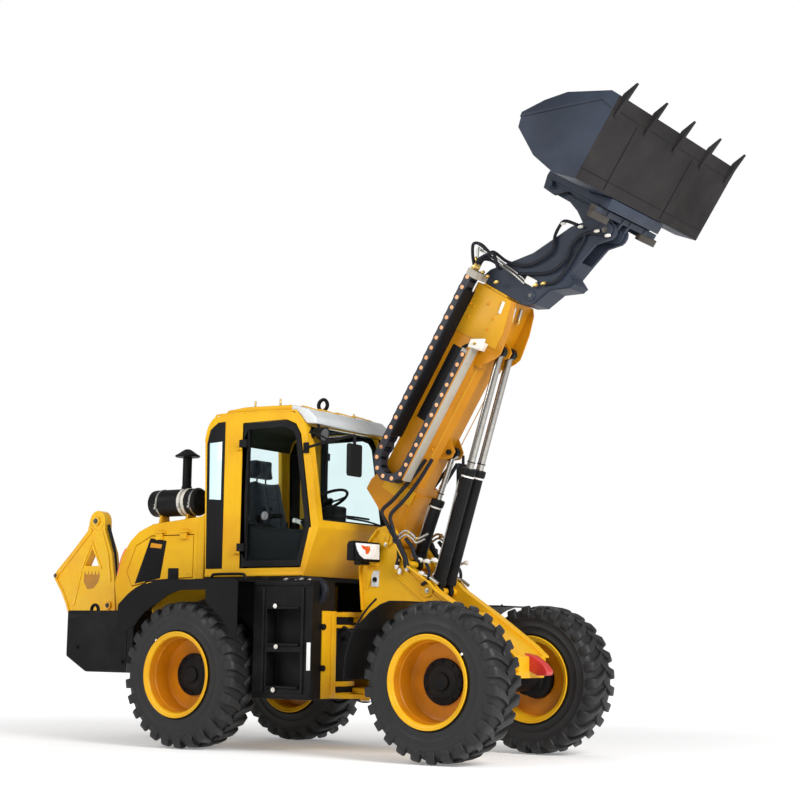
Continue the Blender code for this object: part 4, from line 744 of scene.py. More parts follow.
def build_counterweight():
    bm = softened("counterweight", 0.016, 20)
    make("counterweight_casting", bm, "paint_black", place=WORLD, replaces="counterweight")
    bm = bmesh.new()
    for side in (-1, 1):
        y = side * 0.72
        prism(bm, [(-2.7, 1.05), (-2.3, 1.085), (-2.3, 1.1), (-2.715, 1.1)], y, y + side * 0.004, 0.0015)
        for x, z in ((-2.05, 0.68), (-2.05, 1.04), (-2.6, 0.8)):
            bolt(bm, (x, y, z), (0, side, 0), 0.016)
        prism(bm, [(-2.02, 0.6), (-2.006, 0.6), (-2.006, 1.11), (-2.02, 1.11)], y, y + side * 0.003, 0.001)
        # lifting eyes on top
        lathe(bm, [(0.03, -0.01), (0.052, -0.01), (0.056, 0.0), (0.052, 0.01), (0.03, 0.01)],
              (-2.56, side * 0.56, 1.13), (0, 1, 0), 28)
    make("counterweight_fittings", bm, "paint_black")
    lamps, rings = bmesh.new(), bmesh.new()
    for side in (-1, 1):
        for y, half in ((side * 0.61, 0.06), (side * 0.48, 0.05)):
            block(rings, (-2.7475, y - half - 0.008, 0.952), (-2.7395, y + half + 0.008, 1.048), 0.003)
            block(lamps, (-2.756, y - half, 0.96), (-2.746, y + half, 1.04), 0.004)
    make("rear_lamps", lamps, "lens_red")
    make("rear_lamp_frames", rings, "moulded_black")


def build_rear_linkage():
    """A-arm with rounded head, folded edges, pins, a toothed scoop and its cables."""
    dress("linkage_arm", "rear_linkage", "paint_lemon", width=0.004)
    bm = bmesh.new()
    head = (-3.093, 1.965)
    ring = on_arc(*head, 0.078, range(200, 341, 14)) + on_arc(*head, 0.09, range(340, 199, -14))
    for side in (-1, 1):
        y = side * 0.045
        prism(bm, ring, y, y + side * 0.006, 0.0015)
        # folded flanges along the two legs
        for line in ([(-3.165, 1.9), (-3.33, 1.74), (-3.61, 1.475), (-3.585, 1.455), (-3.315, 1.712),
                      (-3.15, 1.872)],
                     [(-3.02, 1.88), (-2.925, 1.655), (-2.88, 1.405), (-2.905, 1.4), (-2.95, 1.645),
                      (-3.045, 1.868)],
                     [(-3.61, 1.45), (-3.505, 1.32), (-3.44, 1.21), (-3.405, 1.12), (-3.425, 1.112),
                      (-3.465, 1.205), (-3.53, 1.312), (-3.628, 1.44)]):
            prism(bm, line, y, y + side * 0.01, 0.002)
        # inner web round the window
        prism(bm, [(-3.005, 1.52), (-3.03, 1.52), (-3.148, 1.748), (-3.262, 1.524), (-3.287, 1.524), (-3.15, 1.79)],
              y, y + side * 0.008, 0.002)
        prism(bm, [(-3.38, 1.18), (-3.35, 1.18), (-3.262, 1.5), (-3.29, 1.505)], y, y + side * 0.007, 0.002)
        for x, z, r in ((*head, 0.04), (-3.6, 1.462, 0.026), (-2.9, 1.18, 0.036)):
            bar(bm, (x, y, z), (x, y + side * 0.022, z), r, 28, 0.004)
    make("linkage_flanges", bm, "paint_lemon")
    bm = bmesh.new()
    for side in (-1, 1):
        for x, z, r in ((*head, 0.018), (-3.6, 1.462, 0.014), (-2.9, 1.18, 0.016)):
            bolt(bm, (x, side * 0.066, z), (0, side, 0), r)
    make("linkage_bolts", bm, "worn_steel")
    # scoop between the legs with a toothed lip, in a dark orange-brown that is painted shade of the recess there
    bm = bmesh.new()
    prism(bm, [(-3.24, 1.47), (-3.03, 1.465), (-3.05, 1.4), (-3.11, 1.34), (-3.19, 1.33), (-3.24, 1.4)],
          -0.0475, 0.0475, 0.002)
    for k in range(5):
        x = -3.24 + k * 0.045
        prism(bm, [(x, 1.466), (x + 0.022, 1.466), (x + 0.015, 1.5), (x + 0.007, 1.5)], -0.046, 0.046, 0.002)
    make("linkage_scoop", bm, "scoop_worn")
    # cables along the back of the head, and the stubs on its black edge
    bm = bmesh.new()
    tube(bm, [(-2.99, 0.0, 1.93), (-2.905, 0.0, 1.7), (-2.865, 0.0, 1.48), (-2.85, 0.0, 1.33)], 0.016)
    for k in range(5):
        x, z = -3.18 - k * 0.1, 1.905 - k * 0.098
        bar(bm, (x, 0.0, z), (x - 0.02, 0.0, z + 0.02), 0.014, 10)
    make("linkage_cables", bm, "hose_rubber")


def build_engine():
    dress("engine_castings", "engine_block", "engine_grey", width=0.012, angle=25, slot="grey")
    bm = bmesh.new()
    for k in range(4):
        x = -1.58 - k * 0.12
        block(bm, (x - 0.05, -0.135, 1.64), (x + 0.05, 0.135, 1.675), 0.01)
        for side in (-1, 1):
            bolt(bm, (x, side * 0.09, 1.675), (0, 0, 1), 0.008)
            tube(bm, [(x, side * 0.182, 1.56), (x, side * 0.225, 1.55), (x, side * 0.24, 1.48),
                      (x, side * 0.24, 1.33)], 0.014)
    for side in (-1, 1):
        block(bm, (-2.02, side * 0.181, 1.3), (-1.52, side * 0.235, 1.35), 0.012)
        for k in range(9):
            x = -1.545 - k * 0.056
            y, z = (0.2605, 1.24) if x > -1.91 else (0.1805, 1.4)
            bolt(bm, (x, side * y, z), (0, side, 0), 0.008, False)
    lathe(bm, [(0.02, -0.018), (0.092, -0.018), (0.096, -0.01), (0.084, 0.0), (0.096, 0.01), (0.092, 0.018),
               (0.02, 0.018)], (-2.085, 0.0, 1.44), (1, 0, 0), 36)
    lathe(bm, [(0.014, -0.012), (0.052, -0.012), (0.046, 0.0), (0.052, 0.012), (0.014, 0.012)],
          (-2.085, 0.11, 1.58), (1, 0, 0), 28)
    make("engine_fittings", bm, "cast_black")


HOOD_HALF = 0.53


def build_hood():
    dress("hood_sheet", "engine_hood", "paint_amber", width=0.009, angle=24)
    bm = bmesh.new()
    # rubber seal where the hood meets the cab, and the raised ribs along the top
    prism(bm, [(-1.332, 1.372), (-1.332, 1.922), (-1.322, 1.922), (-1.322, 1.372)], -0.515, 0.515, 0.002)
    make("hood_seal", bm, "trim_rubber")
    bm = bmesh.new()
    for y in (-0.17, 0.17):
        prism(bm, [(-1.37, 1.9215), (-1.9, 1.8747), (-2.06, 1.8235), (-2.064, 1.833), (-1.902, 1.886),
                   (-1.37, 1.932)], y - 0.016, y + 0.016, 0.003)
    for side in (-1, 1):
        y = side * HOOD_HALF
        prism(bm, [(-1.405, 1.372), (-1.397, 1.372), (-1.397, 1.915), (-1.405, 1.915)], y, y + side * 0.0025, 0.001)
    make("hood_ribs", bm, "paint_amber")
    # rear face: louvred grille and red corner lamps
    lamps, grille = bmesh.new(), bmesh.new()
    for side in (-1, 1):
        prism(lamps, [(-2.34, 1.44), (-2.299, 1.59), (-2.252, 1.668), (-2.242, 1.66), (-2.286, 1.586),
                      (-2.325, 1.438)], side * 0.47, side * 0.5305, 0.003)
    for k in range(11):
        t = k / 10
        x, z = -2.352 + t * 0.045, 1.41 + t * 0.15
        block(grille, (x - 0.01, -0.4, z - 0.004), (x + 0.012, 0.4, z + 0.004), 0.002)
    for y in (-0.405, 0.405):
        prism(grille, [(-2.366, 1.395), (-2.346, 1.395), (-2.296, 1.575), (-2.316, 1.575)], y - 0.01, y + 0.01,
              0.003)
    make("hood_corner_lamps", lamps, "lens_red")
    make("hood_rear_grille", grille, "moulded_black")
    bm = bmesh.new()
    tube(bm, [(-1.345, -0.515, 1.928), (-1.3, -0.52, 1.931), (-1.262, -0.527, 1.929)], 0.014)
    bar(bm, (-1.35, -0.5, 1.918), (-1.35, -0.5, 1.94), 0.02, 20, 0.003)
    make("hood_latch", bm, "paint_amber")
    bm = bmesh.new()
    bar(bm, (-1.268, -0.527, 1.929), (-1.222, -0.53, 1.927), 0.017, 16, 0.005)
    make("hood_latch_grip", bm, "trim_rubber")


def build_hood_door(word, side):
    body = word + "_hood_door"
    dress("hood_panel_" + word, "hood_door_" + word, "paint_amber", body, 0.005, 24)
    y = side * HOOD_HALF

    def layer(bm, outline, depth, rounding=0.002, start=0.0):
        prism(bm, outline, y + side * start, y + side * (start + depth), rounding)

    bm = bmesh.new()
    layer(bm, [(-1.947, 1.748), (-1.758, 1.721), (-1.821, 1.399), (-2.118, 1.356)], 0.0035)
    # ten slats of thirteen, since the plate at the top covers the others
    for k in range(10):
        t = (k + 0.7) / 13.6
        left, left_z = -2.118 + (2.118 - 1.947) * t + 0.022, 1.356 + (1.748 - 1.356) * t + 0.004
        right, right_z = -1.821 + (1.821 - 1.758) * t - 0.022, 1.399 + (1.721 - 1.399) * t - 0.004
        layer(bm, [(left, left_z - 0.007), (right, right_z - 0.007), (right, right_z + 0.004),
                   (left, left_z + 0.004)], 0.006, 0.0015, 0.003)
    layer(bm, [(-1.729, 1.484), (-1.609, 1.484), (-1.609, 1.389), (-1.729, 1.389)], 0.004)
    layer(bm, [(-1.712, 1.47), (-1.626, 1.47), (-1.626, 1.403), (-1.712, 1.403)], 0.003, 0.0012, 0.003)
    make("hood_grille_" + word, bm, "moulded_black", body)
    bm = bmesh.new()
    layer(bm, [(-1.934, 1.708), (-1.806, 1.69), (-1.816, 1.656), (-1.948, 1.668)], 0.003, 0.0012, 0.003)
    # the blank plate in the darker copy of the amber: painted shade
    make("hood_blank_plate_" + word, bm, "paint_deep", body)
    bm = bmesh.new()
    for x, z in ((-1.5, 1.44), (-1.5, 1.73)):
        bar(bm, (x, y, z), (x, y + side * 0.004, z), 0.009, 20, 0.002)
    make("hood_locks_" + word, bm, "paint_amber", body)


def build_air_cleaner():
    """Drum with bands and a domed end, feet, and a stack with a rain cap."""
    y, z = -0.36, 2.065
    bm = bmesh.new()
    lathe(bm, [(1e-6, -2.07), (0.07, -2.07), (0.078, -2.064), (0.106, -2.06), (0.117, -2.048), (0.119, -2.03),
               (0.119, -1.96), (0.1205, -1.956), (0.1205, -1.944), (0.119, -1.94), (0.119, -1.7), (0.119, -1.64),
               (0.117, -1.634), (0.117, -1.604), (0.1205, -1.598), (0.1205, -1.56), (0.118, -1.54),
               (0.104, -1.522), (0.08, -1.516), (0.052, -1.514), (0.048, -1.508), (1e-6, -1.508)],
          (0, y, z), (1, 0, 0), 56, closed=False)
    make("air_cleaner_drum", bm, "paint_black", replaces="air_cleaner")
    bm = bmesh.new()
    lathe(bm, [(0.118, -1.712), (0.1215, -1.71), (0.1225, -1.706), (0.1225, -1.64), (0.1215, -1.636),
               (0.118, -1.634)], (0, y, z), (1, 0, 0), 56)
    make("air_cleaner_band", bm, "white_fitting", slot="grey")
    bm = bmesh.new()
    for x in (-1.95, -1.672, -1.56):
        lathe(bm, [(0.119, x - 0.009), (0.1232, x - 0.008), (0.1232, x + 0.008), (0.119, x + 0.009)],
              (0, y, z), (1, 0, 0), 56)
        bar(bm, (x, y - 0.121, z - 0.045), (x, y - 0.134, z - 0.015), 0.006, 10)
        block(bm, (x - 0.012, y - 0.136, z - 0.06), (x + 0.012, y - 0.112, z - 0.04), 0.002)
    make("air_cleaner_straps", bm, "zinc")
    bm = bmesh.new()
    lathe(bm, [(0.034, 0.0), (0.04, 0.0), (0.046, 0.012), (0.046, 0.04), (0.0405, 0.046), (0.04, 0.24),
               (0.0405, 0.33), (0.044, 0.336), (0.044, 0.352), (0.04, 0.358), (0.034, 0.358)], (-1.7, y, z + 0.098),
          (0, 0, 1), 32)
    lathe(bm, [(1e-6, 0.0), (0.06, 0.002), (0.104, 0.004), (0.11, 0.01), (0.108, 0.02), (0.088, 0.03),
               (0.06, 0.05), (0.036, 0.066), (0.02, 0.074), (1e-6, 0.076)], (-1.7, y, 2.459), (0, 0, 1), 40,
          closed=False)
    for post_x, post_y in on_arc(-1.7, y, 0.034, range(0, 360, 60)):
        bar(bm, (post_x, post_y, 2.44), (post_x, post_y, 2.466), 0.004, 8, 0)
    make("air_cleaner_stack", bm, "moulded_black")
    bm = bmesh.new()
    for x in (-1.95, -1.64):
        surface = 1.925 + (x + 1.33) * (1.925 - 1.872) / 0.6
        prism(bm, [(y - 0.06, surface), (y + 0.06, surface), (y + 0.048, z - 0.1), (y - 0.048, z - 0.1)],
              x - 0.014, x + 0.014, 0.003, along="X")
        for offset in (-0.066, 0.066):
            bolt(bm, (x, y + offset, surface + 0.012), (0, 0, 1), 0.008)
    make("air_cleaner_feet", bm, "paint_amber")


def build_rear_fender(word, side):
    bm = softened("rear_fender_" + word, 0.004, 20)
    for face in bm.faces:
        if abs(face.calc_center_median().y) < 0.5025:
            face.material_index = 1
    make("rear_mudguard_" + word, bm, ["moulded_black", "paint_amber"], place=WORLD, replaces="rear_fender_" + word)
    bm = bmesh.new()
    edge = [(-0.955, 1.289), (-1.173, 1.291), (-1.275, 1.277), (-1.373, 1.243), (-1.47, 1.188)]
    edge += on_arc(-1.227, 0.595, 0.645, (124, 130, 136, 142))
    tube(bm, [(x, side * 0.921, z) for x, z in edge], 0.008, 10)
    top = [(-0.64, 1.361), (-1.5, 1.361), (-1.65, 1.331), (-1.79, 1.266), (-1.922, 1.163)]
    tube(bm, [(x, side * 0.9165, z + 0.0005) for x, z in top], 0.007, 10)
    make("rear_mudguard_beads_" + word, bm, "trim_rubber")
    bm = bmesh.new()
    for x in (-0.7, -0.95, -1.2, -1.45):
        bolt(bm, (x, side * 0.62, 1.36), (0, 0, 1), 0.009)
    block(bm, (-1.16, side * 0.64, 1.3602), (-0.8, side * 0.86, 1.372), 0.004)
    for k in range(9):
        x = -1.14 + k * 0.04
        block(bm, (x, side * 0.65, 1.371), (x + 0.014, side * 0.85, 1.377), 0.002)
    # closing plate between the mudguard and the tank
    block(bm, (-0.96, side * 0.5, 0.76), (-0.605, side * 0.548, 1.362), 0.004)
    make("rear_step_plate_" + word, bm, "moulded_black")
    bm = bmesh.new()
    tube(bm, [(-1.09, side * 0.7, 1.376), (-1.08, side * 0.7, 1.402), (-1.04, side * 0.7, 1.416),
              (-0.77, side * 0.7, 1.416), (-0.73, side * 0.7, 1.402), (-0.72, side * 0.7, 1.376)], 0.012)
    make("rear_grab_loop_" + word, bm, "paint_black")


def build_side_tank(word, side):
    dress("tank_box_" + word, "side_tank_" + word, "paint_black", width=0.006, angle=24)
    face = side * 0.72
    bm = bmesh.new()
    for z in (0.505, 0.84, 1.1305):
        block(bm, (-0.462, side * 0.59, z), (-0.138, side * 0.736, z + 0.016), 0.003)
        for k in range(8):
            x = -0.446 + k * 0.039
            for row in (0.615, 0.65, 0.685):
                bar(bm, (x, side * row, z + 0.015), (x, side * row, z + 0.02), 0.007, 10, 0.001)
    make("step_treads_" + word, bm, "paint_black")
    bm = bmesh.new()
    for x in (-0.5, -0.1):
        prism(bm, [(x - 0.012, 0.47), (x + 0.012, 0.47), (x + 0.012, 1.3), (x - 0.012, 1.3)],
              face, face + side * 0.016, 0.004)
    for low, high in ((0.44, 0.462), (1.318, 1.345)):
        prism(bm, [(-0.6, low), (-0.02, low), (-0.02, high), (-0.6, high)], face, face + side * 0.01, 0.003)
    make("step_rails_" + word, bm, "paint_black")
    bm = bmesh.new()
    for x, z in ((-0.374, 1.154), (-0.357, 0.832), (-0.378, 0.491)):
        bolt(bm, (x, side * 0.736 if z < 0.9 or z > 1.14 else face, z), (0, side, 0), 0.013)
    make("step_bolts_" + word, bm, "white_fitting", slot="chrome")
    bm = bmesh.new()
    prism(bm, [(-0.058, 0.65), (-0.02, 0.65), (-0.02, 0.868), (-0.058, 0.868)], face, face + side * 0.004, 0.004)
    make("tank_reflector_" + word, bm, "reflector_white")
    bm = bmesh.new()
    tube(bm, [(-0.1, side * 0.6, 1.35), (-0.05, side * 0.6, 1.352), (0.005, side * 0.6, 1.32),
              (0.018, side * 0.598, 1.25), (-0.04, side * 0.595, 1.18), (-0.166, side * 0.59, 1.11)], 0.034, 16)
    tube(bm, [(-0.33, side * 0.64, 1.372), (-0.2, side * 0.62, 1.378), (-0.1, side * 0.56, 1.372),
              (0.0, side * 0.53, 1.3)], 0.014, 12)
    make("tank_hoses_" + word, bm, "hose_rubber")
    bm = bmesh.new()
    for x, y, z in ((-0.25, 0.63, 1.37), (-0.18, 0.65, 1.368), (-0.1, 0.65, 1.36), (-0.33, 0.66, 1.368)):
        fitting(bm, (x, side * y, z), (1, 0, 0.2), 0.014, 0.04)
    make("tank_fittings_" + word, bm, "zinc")
    bm = bmesh.new()
    bar(bm, (-0.56, side * 0.64, 1.3602), (-0.56, side * 0.64, 1.385), 0.036, 28, 0.004)
    make("tank_cap_" + word, bm, "moulded_black")


# ---------------------------------------------------------------- cab
CAB_HALF = 0.56
DOOR_REAR = -0.905
DOOR_OUTLINE = [(DOOR_REAR, 1.47), (DOOR_REAR, 2.69), (-0.44, 2.69), (-0.34, 2.65), (-0.285, 2.56),
                (-0.165, 1.8), (-0.265, 1.47)]
QUARTER_OUTLINE = [(-1.235, 1.48), (-1.26, 2.54), (-1.21, 2.65), (-1.13, 2.69), (-1.115, 1.48)]
WIND_BASE, WIND_TOP = (-0.1195, 1.85), (-0.2185, 2.48)


def inset_outline(points, gap):
    """The outline moved inwards by a gap, by a bmesh inset of its face."""
    bm = bmesh.new()
    face = bm.faces.new([bm.verts.new((x, 0, z)) for x, z in points])
    bmesh.ops.inset_region(bm, faces=[face], thickness=gap, use_even_offset=True, use_boundary=True)
    out = [(v.co.x, v.co.z) for v in face.verts]
    bm.free()
    return out


def ring_frame(bm, outline, gap, low, high, rounding=0.003):
    """A frame that follows an outline: its face is inset, and the inner face removed before it is extruded."""
    low, high = min(low, high), max(low, high)
    face = bm.faces.new([bm.verts.new((x, low, z)) for x, z in outline])
    before = set(bm.faces)
    bmesh.ops.inset_region(bm, faces=[face], thickness=gap, use_even_offset=True, use_boundary=True)
    rim = [f for f in bm.faces if f not in before]
    bmesh.ops.delete(bm, geom=[face], context="FACES")
    grown = bmesh.ops.extrude_face_region(bm, geom=rim)
    top = verts_of(grown["geom"])
    bmesh.ops.translate(bm, verts=top, vec=(0, high - low, 0))
    faces = {f for v in top for f in v.link_faces} | {f for v in top for e in v.link_edges
                                                      for u in e.verts for f in u.link_faces}
    bmesh.ops.recalc_face_normals(bm, faces=list(faces))
    edges = {e for f in faces for e in f.edges if len(e.link_faces) == 2 and e.calc_face_angle(0) > 0.6}
    round_edges(bm, edges, rounding, 2)


def build_cab_shell():
    dress("cab_frame", "cab_shell", "paint_amber", width=0.01, angle=22)
    dress("cab_floor_plate", "cab_floor", "paint_black", width=0.005)
    bm = bmesh.new()
    for side in (-1, 1):
        y = side * CAB_HALF
        # black seal and lower panel of the quarter window
        ring_frame(bm, QUARTER_OUTLINE, 0.014, side * (CAB_HALF - 0.03), side * (CAB_HALF + 0.0015), 0.003)
        prism(bm, [(-1.236, 1.481), (-1.2475, 2.055), (-1.1148, 2.03), (-1.1148, 1.481)],
              side * (CAB_HALF - 0.034), side * (CAB_HALF - 0.01), 0.003)
        prism(bm, [(-1.2585, 2.538), (-1.208, 2.648), (-1.131, 2.688), (-1.128, 2.565)],
              side * (CAB_HALF - 0.032), side * (CAB_HALF - 0.012), 0.003)
        ring_frame(bm, inset_outline(DOOR_OUTLINE, -0.004), 0.006, y - side * 0.02, y + side * 0.002, 0.001)
        # trim plate that covers the whole quarter panel
        prism(bm, [(-1.274, 1.47), (-1.298, 2.54), (-1.264, 2.655), (-1.18, 2.712), (-1.1, 2.714), (-1.096, 1.47)],
              side * (CAB_HALF - 0.002), side * (CAB_HALF + 0.003), 0.001)
    make("cab_seals", bm, "trim_rubber")
    panes = bmesh.new()
    for side in (-1, 1):
        prism(panes, [(-1.255, 2.06), (-1.266, 2.54), (-1.13, 2.545), (-1.128, 2.05)],
              side * (CAB_HALF + 0.001), side * (CAB_HALF + 0.0045), 0.001)
    make("quarter_panes", panes, "pane_bright")
    # inner lining: roof, rear wall, floor mat and the dash, in a dark olive that is painted shade of the cab's
    # inside
    bm = bmesh.new()
    prism(bm, [(-1.262, 2.56), (-1.232, 2.66), (-1.15, 2.72), (-0.44, 2.704), (-0.36, 2.676), (-0.335, 2.64),
               (-0.352, 2.634), (-0.372, 2.664), (-0.445, 2.69), (-1.145, 2.705), (-1.22, 2.648), (-1.248, 2.556)],
          -0.512, 0.512, 0.003)
    prism(bm, [(-1.236, 1.448), (-1.262, 1.925), (-1.25, 1.93), (-1.222, 1.456), (-0.3, 1.456), (-0.3, 1.447)],
          -0.51, 0.51, 0.003)
    make("cab_lining", bm, "cabin_lining")
    bm = bmesh.new()
    prism(bm, [(-0.292, 1.452), (-0.292, 1.8), (-0.33, 1.842), (-0.3, 1.858), (-0.16, 1.852), (-0.15, 1.8),
               (-0.27, 1.452)], -0.505, 0.505, 0.008)
    for side in (-1, 1):
        prism(bm, [(-1.18, 1.457), (-1.18, 1.86), (-0.76, 1.85), (-0.64, 1.79), (-0.62, 1.457)],
              side * 0.33, side * 0.5, 0.018, 3)
    make("cab_console", bm, "moulded_black")
    # front face: seal round the windscreen, and the wiper
    bm = bmesh.new()
    run, rise = WIND_TOP[0] - WIND_BASE[0], WIND_TOP[1] - WIND_BASE[1]
    lean, tall = math.atan2(run, rise), math.hypot(run, rise)
    seal = bmesh.new()
    ring_frame(seal, [(-0.486, -0.01), (0.486, -0.01), (0.486, tall + 0.14), (-0.486, tall + 0.14)], 0.016, -0.006,
               0.014, 0.003)
    stand = (Matrix.Translation((WIND_BASE[0] + 0.004, 0, WIND_BASE[1] + 0.002)) @ Matrix.Rotation(lean, 4, "Y")
             @ Matrix.Rotation(math.pi / 2, 4, "Z") @ Matrix.Scale(-1, 4, (0, 1, 0)))
    bmesh.ops.transform(seal, matrix=stand, verts=seal.verts)
    bmesh.ops.recalc_face_normals(seal, faces=seal.faces)
    join_into(bm, seal)
    # wiper parked along the lower edge, and a dark sill below the pane
    tube(bm, [(-0.08, 0.3, 1.855), (-0.098, 0.12, 1.88), (-0.104, -0.15, 1.89)], 0.008, 10)
    tube(bm, [(-0.102, 0.16, 1.9), (-0.106, -0.06, 1.905), (-0.108, -0.33, 1.9)], 0.009, 8)
    prism(bm, [(-0.505, 1.836), (0.505, 1.836), (0.505, 1.862), (-0.505, 1.862)], -0.119, -0.108, 0.003, along="X")
    for side in (-1, 1):
        strip(bm, [(-0.112, 1.85), (-0.206, 2.48), (-0.222, 2.6)], 0.012, side * 0.484, side * 0.512, 0.003)
    make("windscreen_seal_and_wiper", bm, "trim_rubber")
    # rain gutter and folded sill along both sides
    bm = bmesh.new()
    for side in (-1, 1):
        y = side * (CAB_HALF + 0.001)
        tube(bm, [(x, y - side * 0.006, z + 0.002) for x, z in ((-1.322, 2.56), (-1.288, 2.68), (-1.22, 2.752),
                                                                (-1.12, 2.778),
                                                (-0.43, 2.763), (-0.332, 2.733), (-0.258, 2.648))], 0.009, 10)
        prism(bm, [(-1.283, 1.404), (-0.238, 1.404), (-0.243, 1.428), (-1.284, 1.428)],
              side * (CAB_HALF - 0.004), side * (CAB_HALF + 0.006), 0.003)
        prism(bm, [(-0.262, 1.47), (-0.178, 1.79), (-0.15, 1.79), (-0.236, 1.44)], side * CAB_HALF,
              side * (CAB_HALF + 0.004), 0.0015)
    make("cab_gutters", bm, "paint_amber")


def build_roof():
    bm = softened("cab_roof", 0.014, 20)
    front = MACHINE.translation.x - 0.4
    bmesh.ops.bisect_plane(bm, geom=list(bm.verts) + list(bm.edges) + list(bm.faces), plane_co=(front, 0, 0),
                           plane_no=(1, 0, 0))
    for face in bm.faces:
        if face.calc_center_median().x < front:
            face.material_index = 1
    make("roof_cap", bm, ["paint_grey", "paint_amber"], place=WORLD, slot="amber", replaces="cab_roof")
    bm = bmesh.new()
    for y in (-0.36, -0.12, 0.12, 0.36):
        prism(bm, [(-1.08, 2.8165), (-0.9, 2.83), (-0.4, 2.815), (-0.25, 2.77), (-0.246, 2.778), (-0.4, 2.826),
                   (-0.9, 2.842), (-1.08, 2.826)], y - 0.035, y + 0.035, 0.004)
    make("roof_ribs", bm, "paint_amber")
    bm = bmesh.new()
    for x in (-0.81, -0.54):
        for side in (-1, 1):
            bar(bm, (x, side * 0.52, 2.77), (x, side * 0.52, 2.805), 0.013, 16, 0.003)
            bar(bm, (x, side * 0.52, 2.8), (x, side * 0.52, 2.875), 0.009, 12, 0.003)
    make("roof_studs", bm, "brass")
    bm = bmesh.new()
    bar(bm, (-0.49, 0.0, 2.812), (-0.49, 0.0, 2.834), 0.034, 28, 0.004)
    lathe(bm, [(0.036, -0.013), (0.056, -0.015), (0.064, 0.0), (0.056, 0.015), (0.036, 0.013)], (-0.49, 0.0, 2.884),
          (0, 1, 0), 32)
    make("roof_ring", bm, "moulded_black")
    # work lamps under the roof's corners
    bm, glass = bmesh.new(), bmesh.new()
    for y in (-0.47, 0.47):
        lathe(bm, [(1e-6, -0.05), (0.03, -0.048), (0.052, -0.02), (0.058, 0.012), (0.062, 0.016), (0.062, 0.026),
                   (0.054, 0.028), (0.052, 0.018), (1e-6, 0.016)], (-0.135, y, 2.56), (0.95, 0, -0.3), 32,
              closed=False)
        bar(bm, (-0.16, y, 2.58), (-0.18, y, 2.65), 0.012, 12)
        lathe(glass, [(1e-6, 0.0185), (0.052, 0.0195), (0.05, 0.026), (0.03, 0.032), (1e-6, 0.034)],
              (-0.135, y, 2.56), (0.95, 0, -0.3), 32, closed=False)
    make("roof_lamp_housings", bm, "moulded_black")
    make("roof_lamp_glasses", glass, "engine_grey")


def build_cab_door(word, side):
    body = word + "_cab_door"
    bm = softened("cab_door_" + word, 0.004, 24)
    y = side * CAB_HALF
    pane_low, pane_high = sorted((y - side * 0.0285, y - side * 0.0175))
    for face in bm.faces:
        if (pane_low < face.calc_center_median().y < pane_high and face.calc_area() > 0.2
                and abs(face.normal.y) > 0.9):
            face.material_index = 1
    make("door_frame_" + word, bm, ["paint_black", "glass_clear"], body, WORLD, slot="glass",
         replaces="cab_door_" + word)
    bm = bmesh.new()
    ring_frame(bm, inset_outline(DOOR_OUTLINE, 0.054), 0.014, y - side * 0.019, y + side * 0.0015, 0.003)
    make("door_seal_" + word, bm, "trim_rubber", body)
    # lower door panel, a dark sheet behind the glass that paints the shade inside the cab, and the grab rail,
    # handle and lock
    bm = bmesh.new()
    prism(bm, [(-0.842, 1.532), (-0.842, 1.79), (-0.25, 1.752), (-0.262, 1.7), (-0.312, 1.532)],
          y - side * 0.034, y - side * 0.029, 0.002)
    prism(bm, [(-0.835, 1.79), (-0.835, 1.815), (-0.244, 1.778), (-0.25, 1.752)],
          y - side * 0.042, y - side * 0.029, 0.003)
    make("door_lower_shade_panel_" + word, bm, "trim_rubber", body)
    bm = bmesh.new()
    tube(bm, [(-0.37, y - side * 0.036, 1.855), (-0.355, y - side * 0.07, 1.85), (-0.225, y - side * 0.07, 1.8),
              (-0.21, y - side * 0.036, 1.792)], 0.018, 14)
    make("door_grab_rail_" + word, bm, "white_fitting", body, slot="chrome")
    bm = bmesh.new()
    lathe(bm, [(1e-6, 0.0), (0.036, 0.0), (0.036, 0.008), (0.028, 0.013), (0.012, 0.012), (1e-6, 0.012)],
          (-0.66, y - side * 0.017, 1.9), (0, side, 0), 32, closed=False)
    prism(bm, [(-0.676, 1.87), (-0.646, 1.88), (-0.64, 1.924), (-0.668, 1.93)], y - side * 0.01, y + side * 0.01,
          0.006, 3)
    make("door_handle_" + word, bm, "handle_grey", body)


def build_windows():
    for node in ("windscreen", "rear_window"):
        frame["nodes"][node].material_slots[0].material = MATERIALS["glass_clear"]


def build_mirror(word, side):
    y = side * (CAB_HALF + 0.24)
    bm = bmesh.new()
    prism(bm, [(0.415, 2.175), (0.421, 2.152), (0.446, 2.152), (0.453, 2.17), (0.453, 2.392), (0.446, 2.407),
               (0.421, 2.407), (0.414, 2.388)], y - 0.083, y + 0.083, 0.014, 3)
    bar(bm, (0.434, y, 2.4), (0.434, y, 2.48), 0.013, 14, 0.003)
    tube(bm, [(0.434, y, 2.474), (0.3, side * (CAB_HALF + 0.2), 2.47), (0.05, side * (CAB_HALF + 0.11), 2.458),
              (-0.215, side * (CAB_HALF + 0.014), 2.44)], 0.012, 12)
    tube(bm, [(0.12, side * (CAB_HALF + 0.13), 2.458), (-0.06, side * (CAB_HALF + 0.04), 2.53),
              (-0.19, side * (CAB_HALF + 0.01), 2.566)], 0.008, 10)
    block(bm, (-0.245, side * (CAB_HALF + 0.0005), 2.396), (-0.198, side * (CAB_HALF + 0.022), 2.484), 0.004)
    make("mirror_housing_" + word, bm, "moulded_black", replaces="mirror_" + word)
    bm = bmesh.new()
    prism(bm, [(y - 0.07, 2.178), (y + 0.07, 2.178), (y + 0.07, 2.384), (y - 0.07, 2.384)], 0.4125, 0.4155, 0.001,
          along="X")
    make("mirror_glass_" + word, bm, "mirror_face")


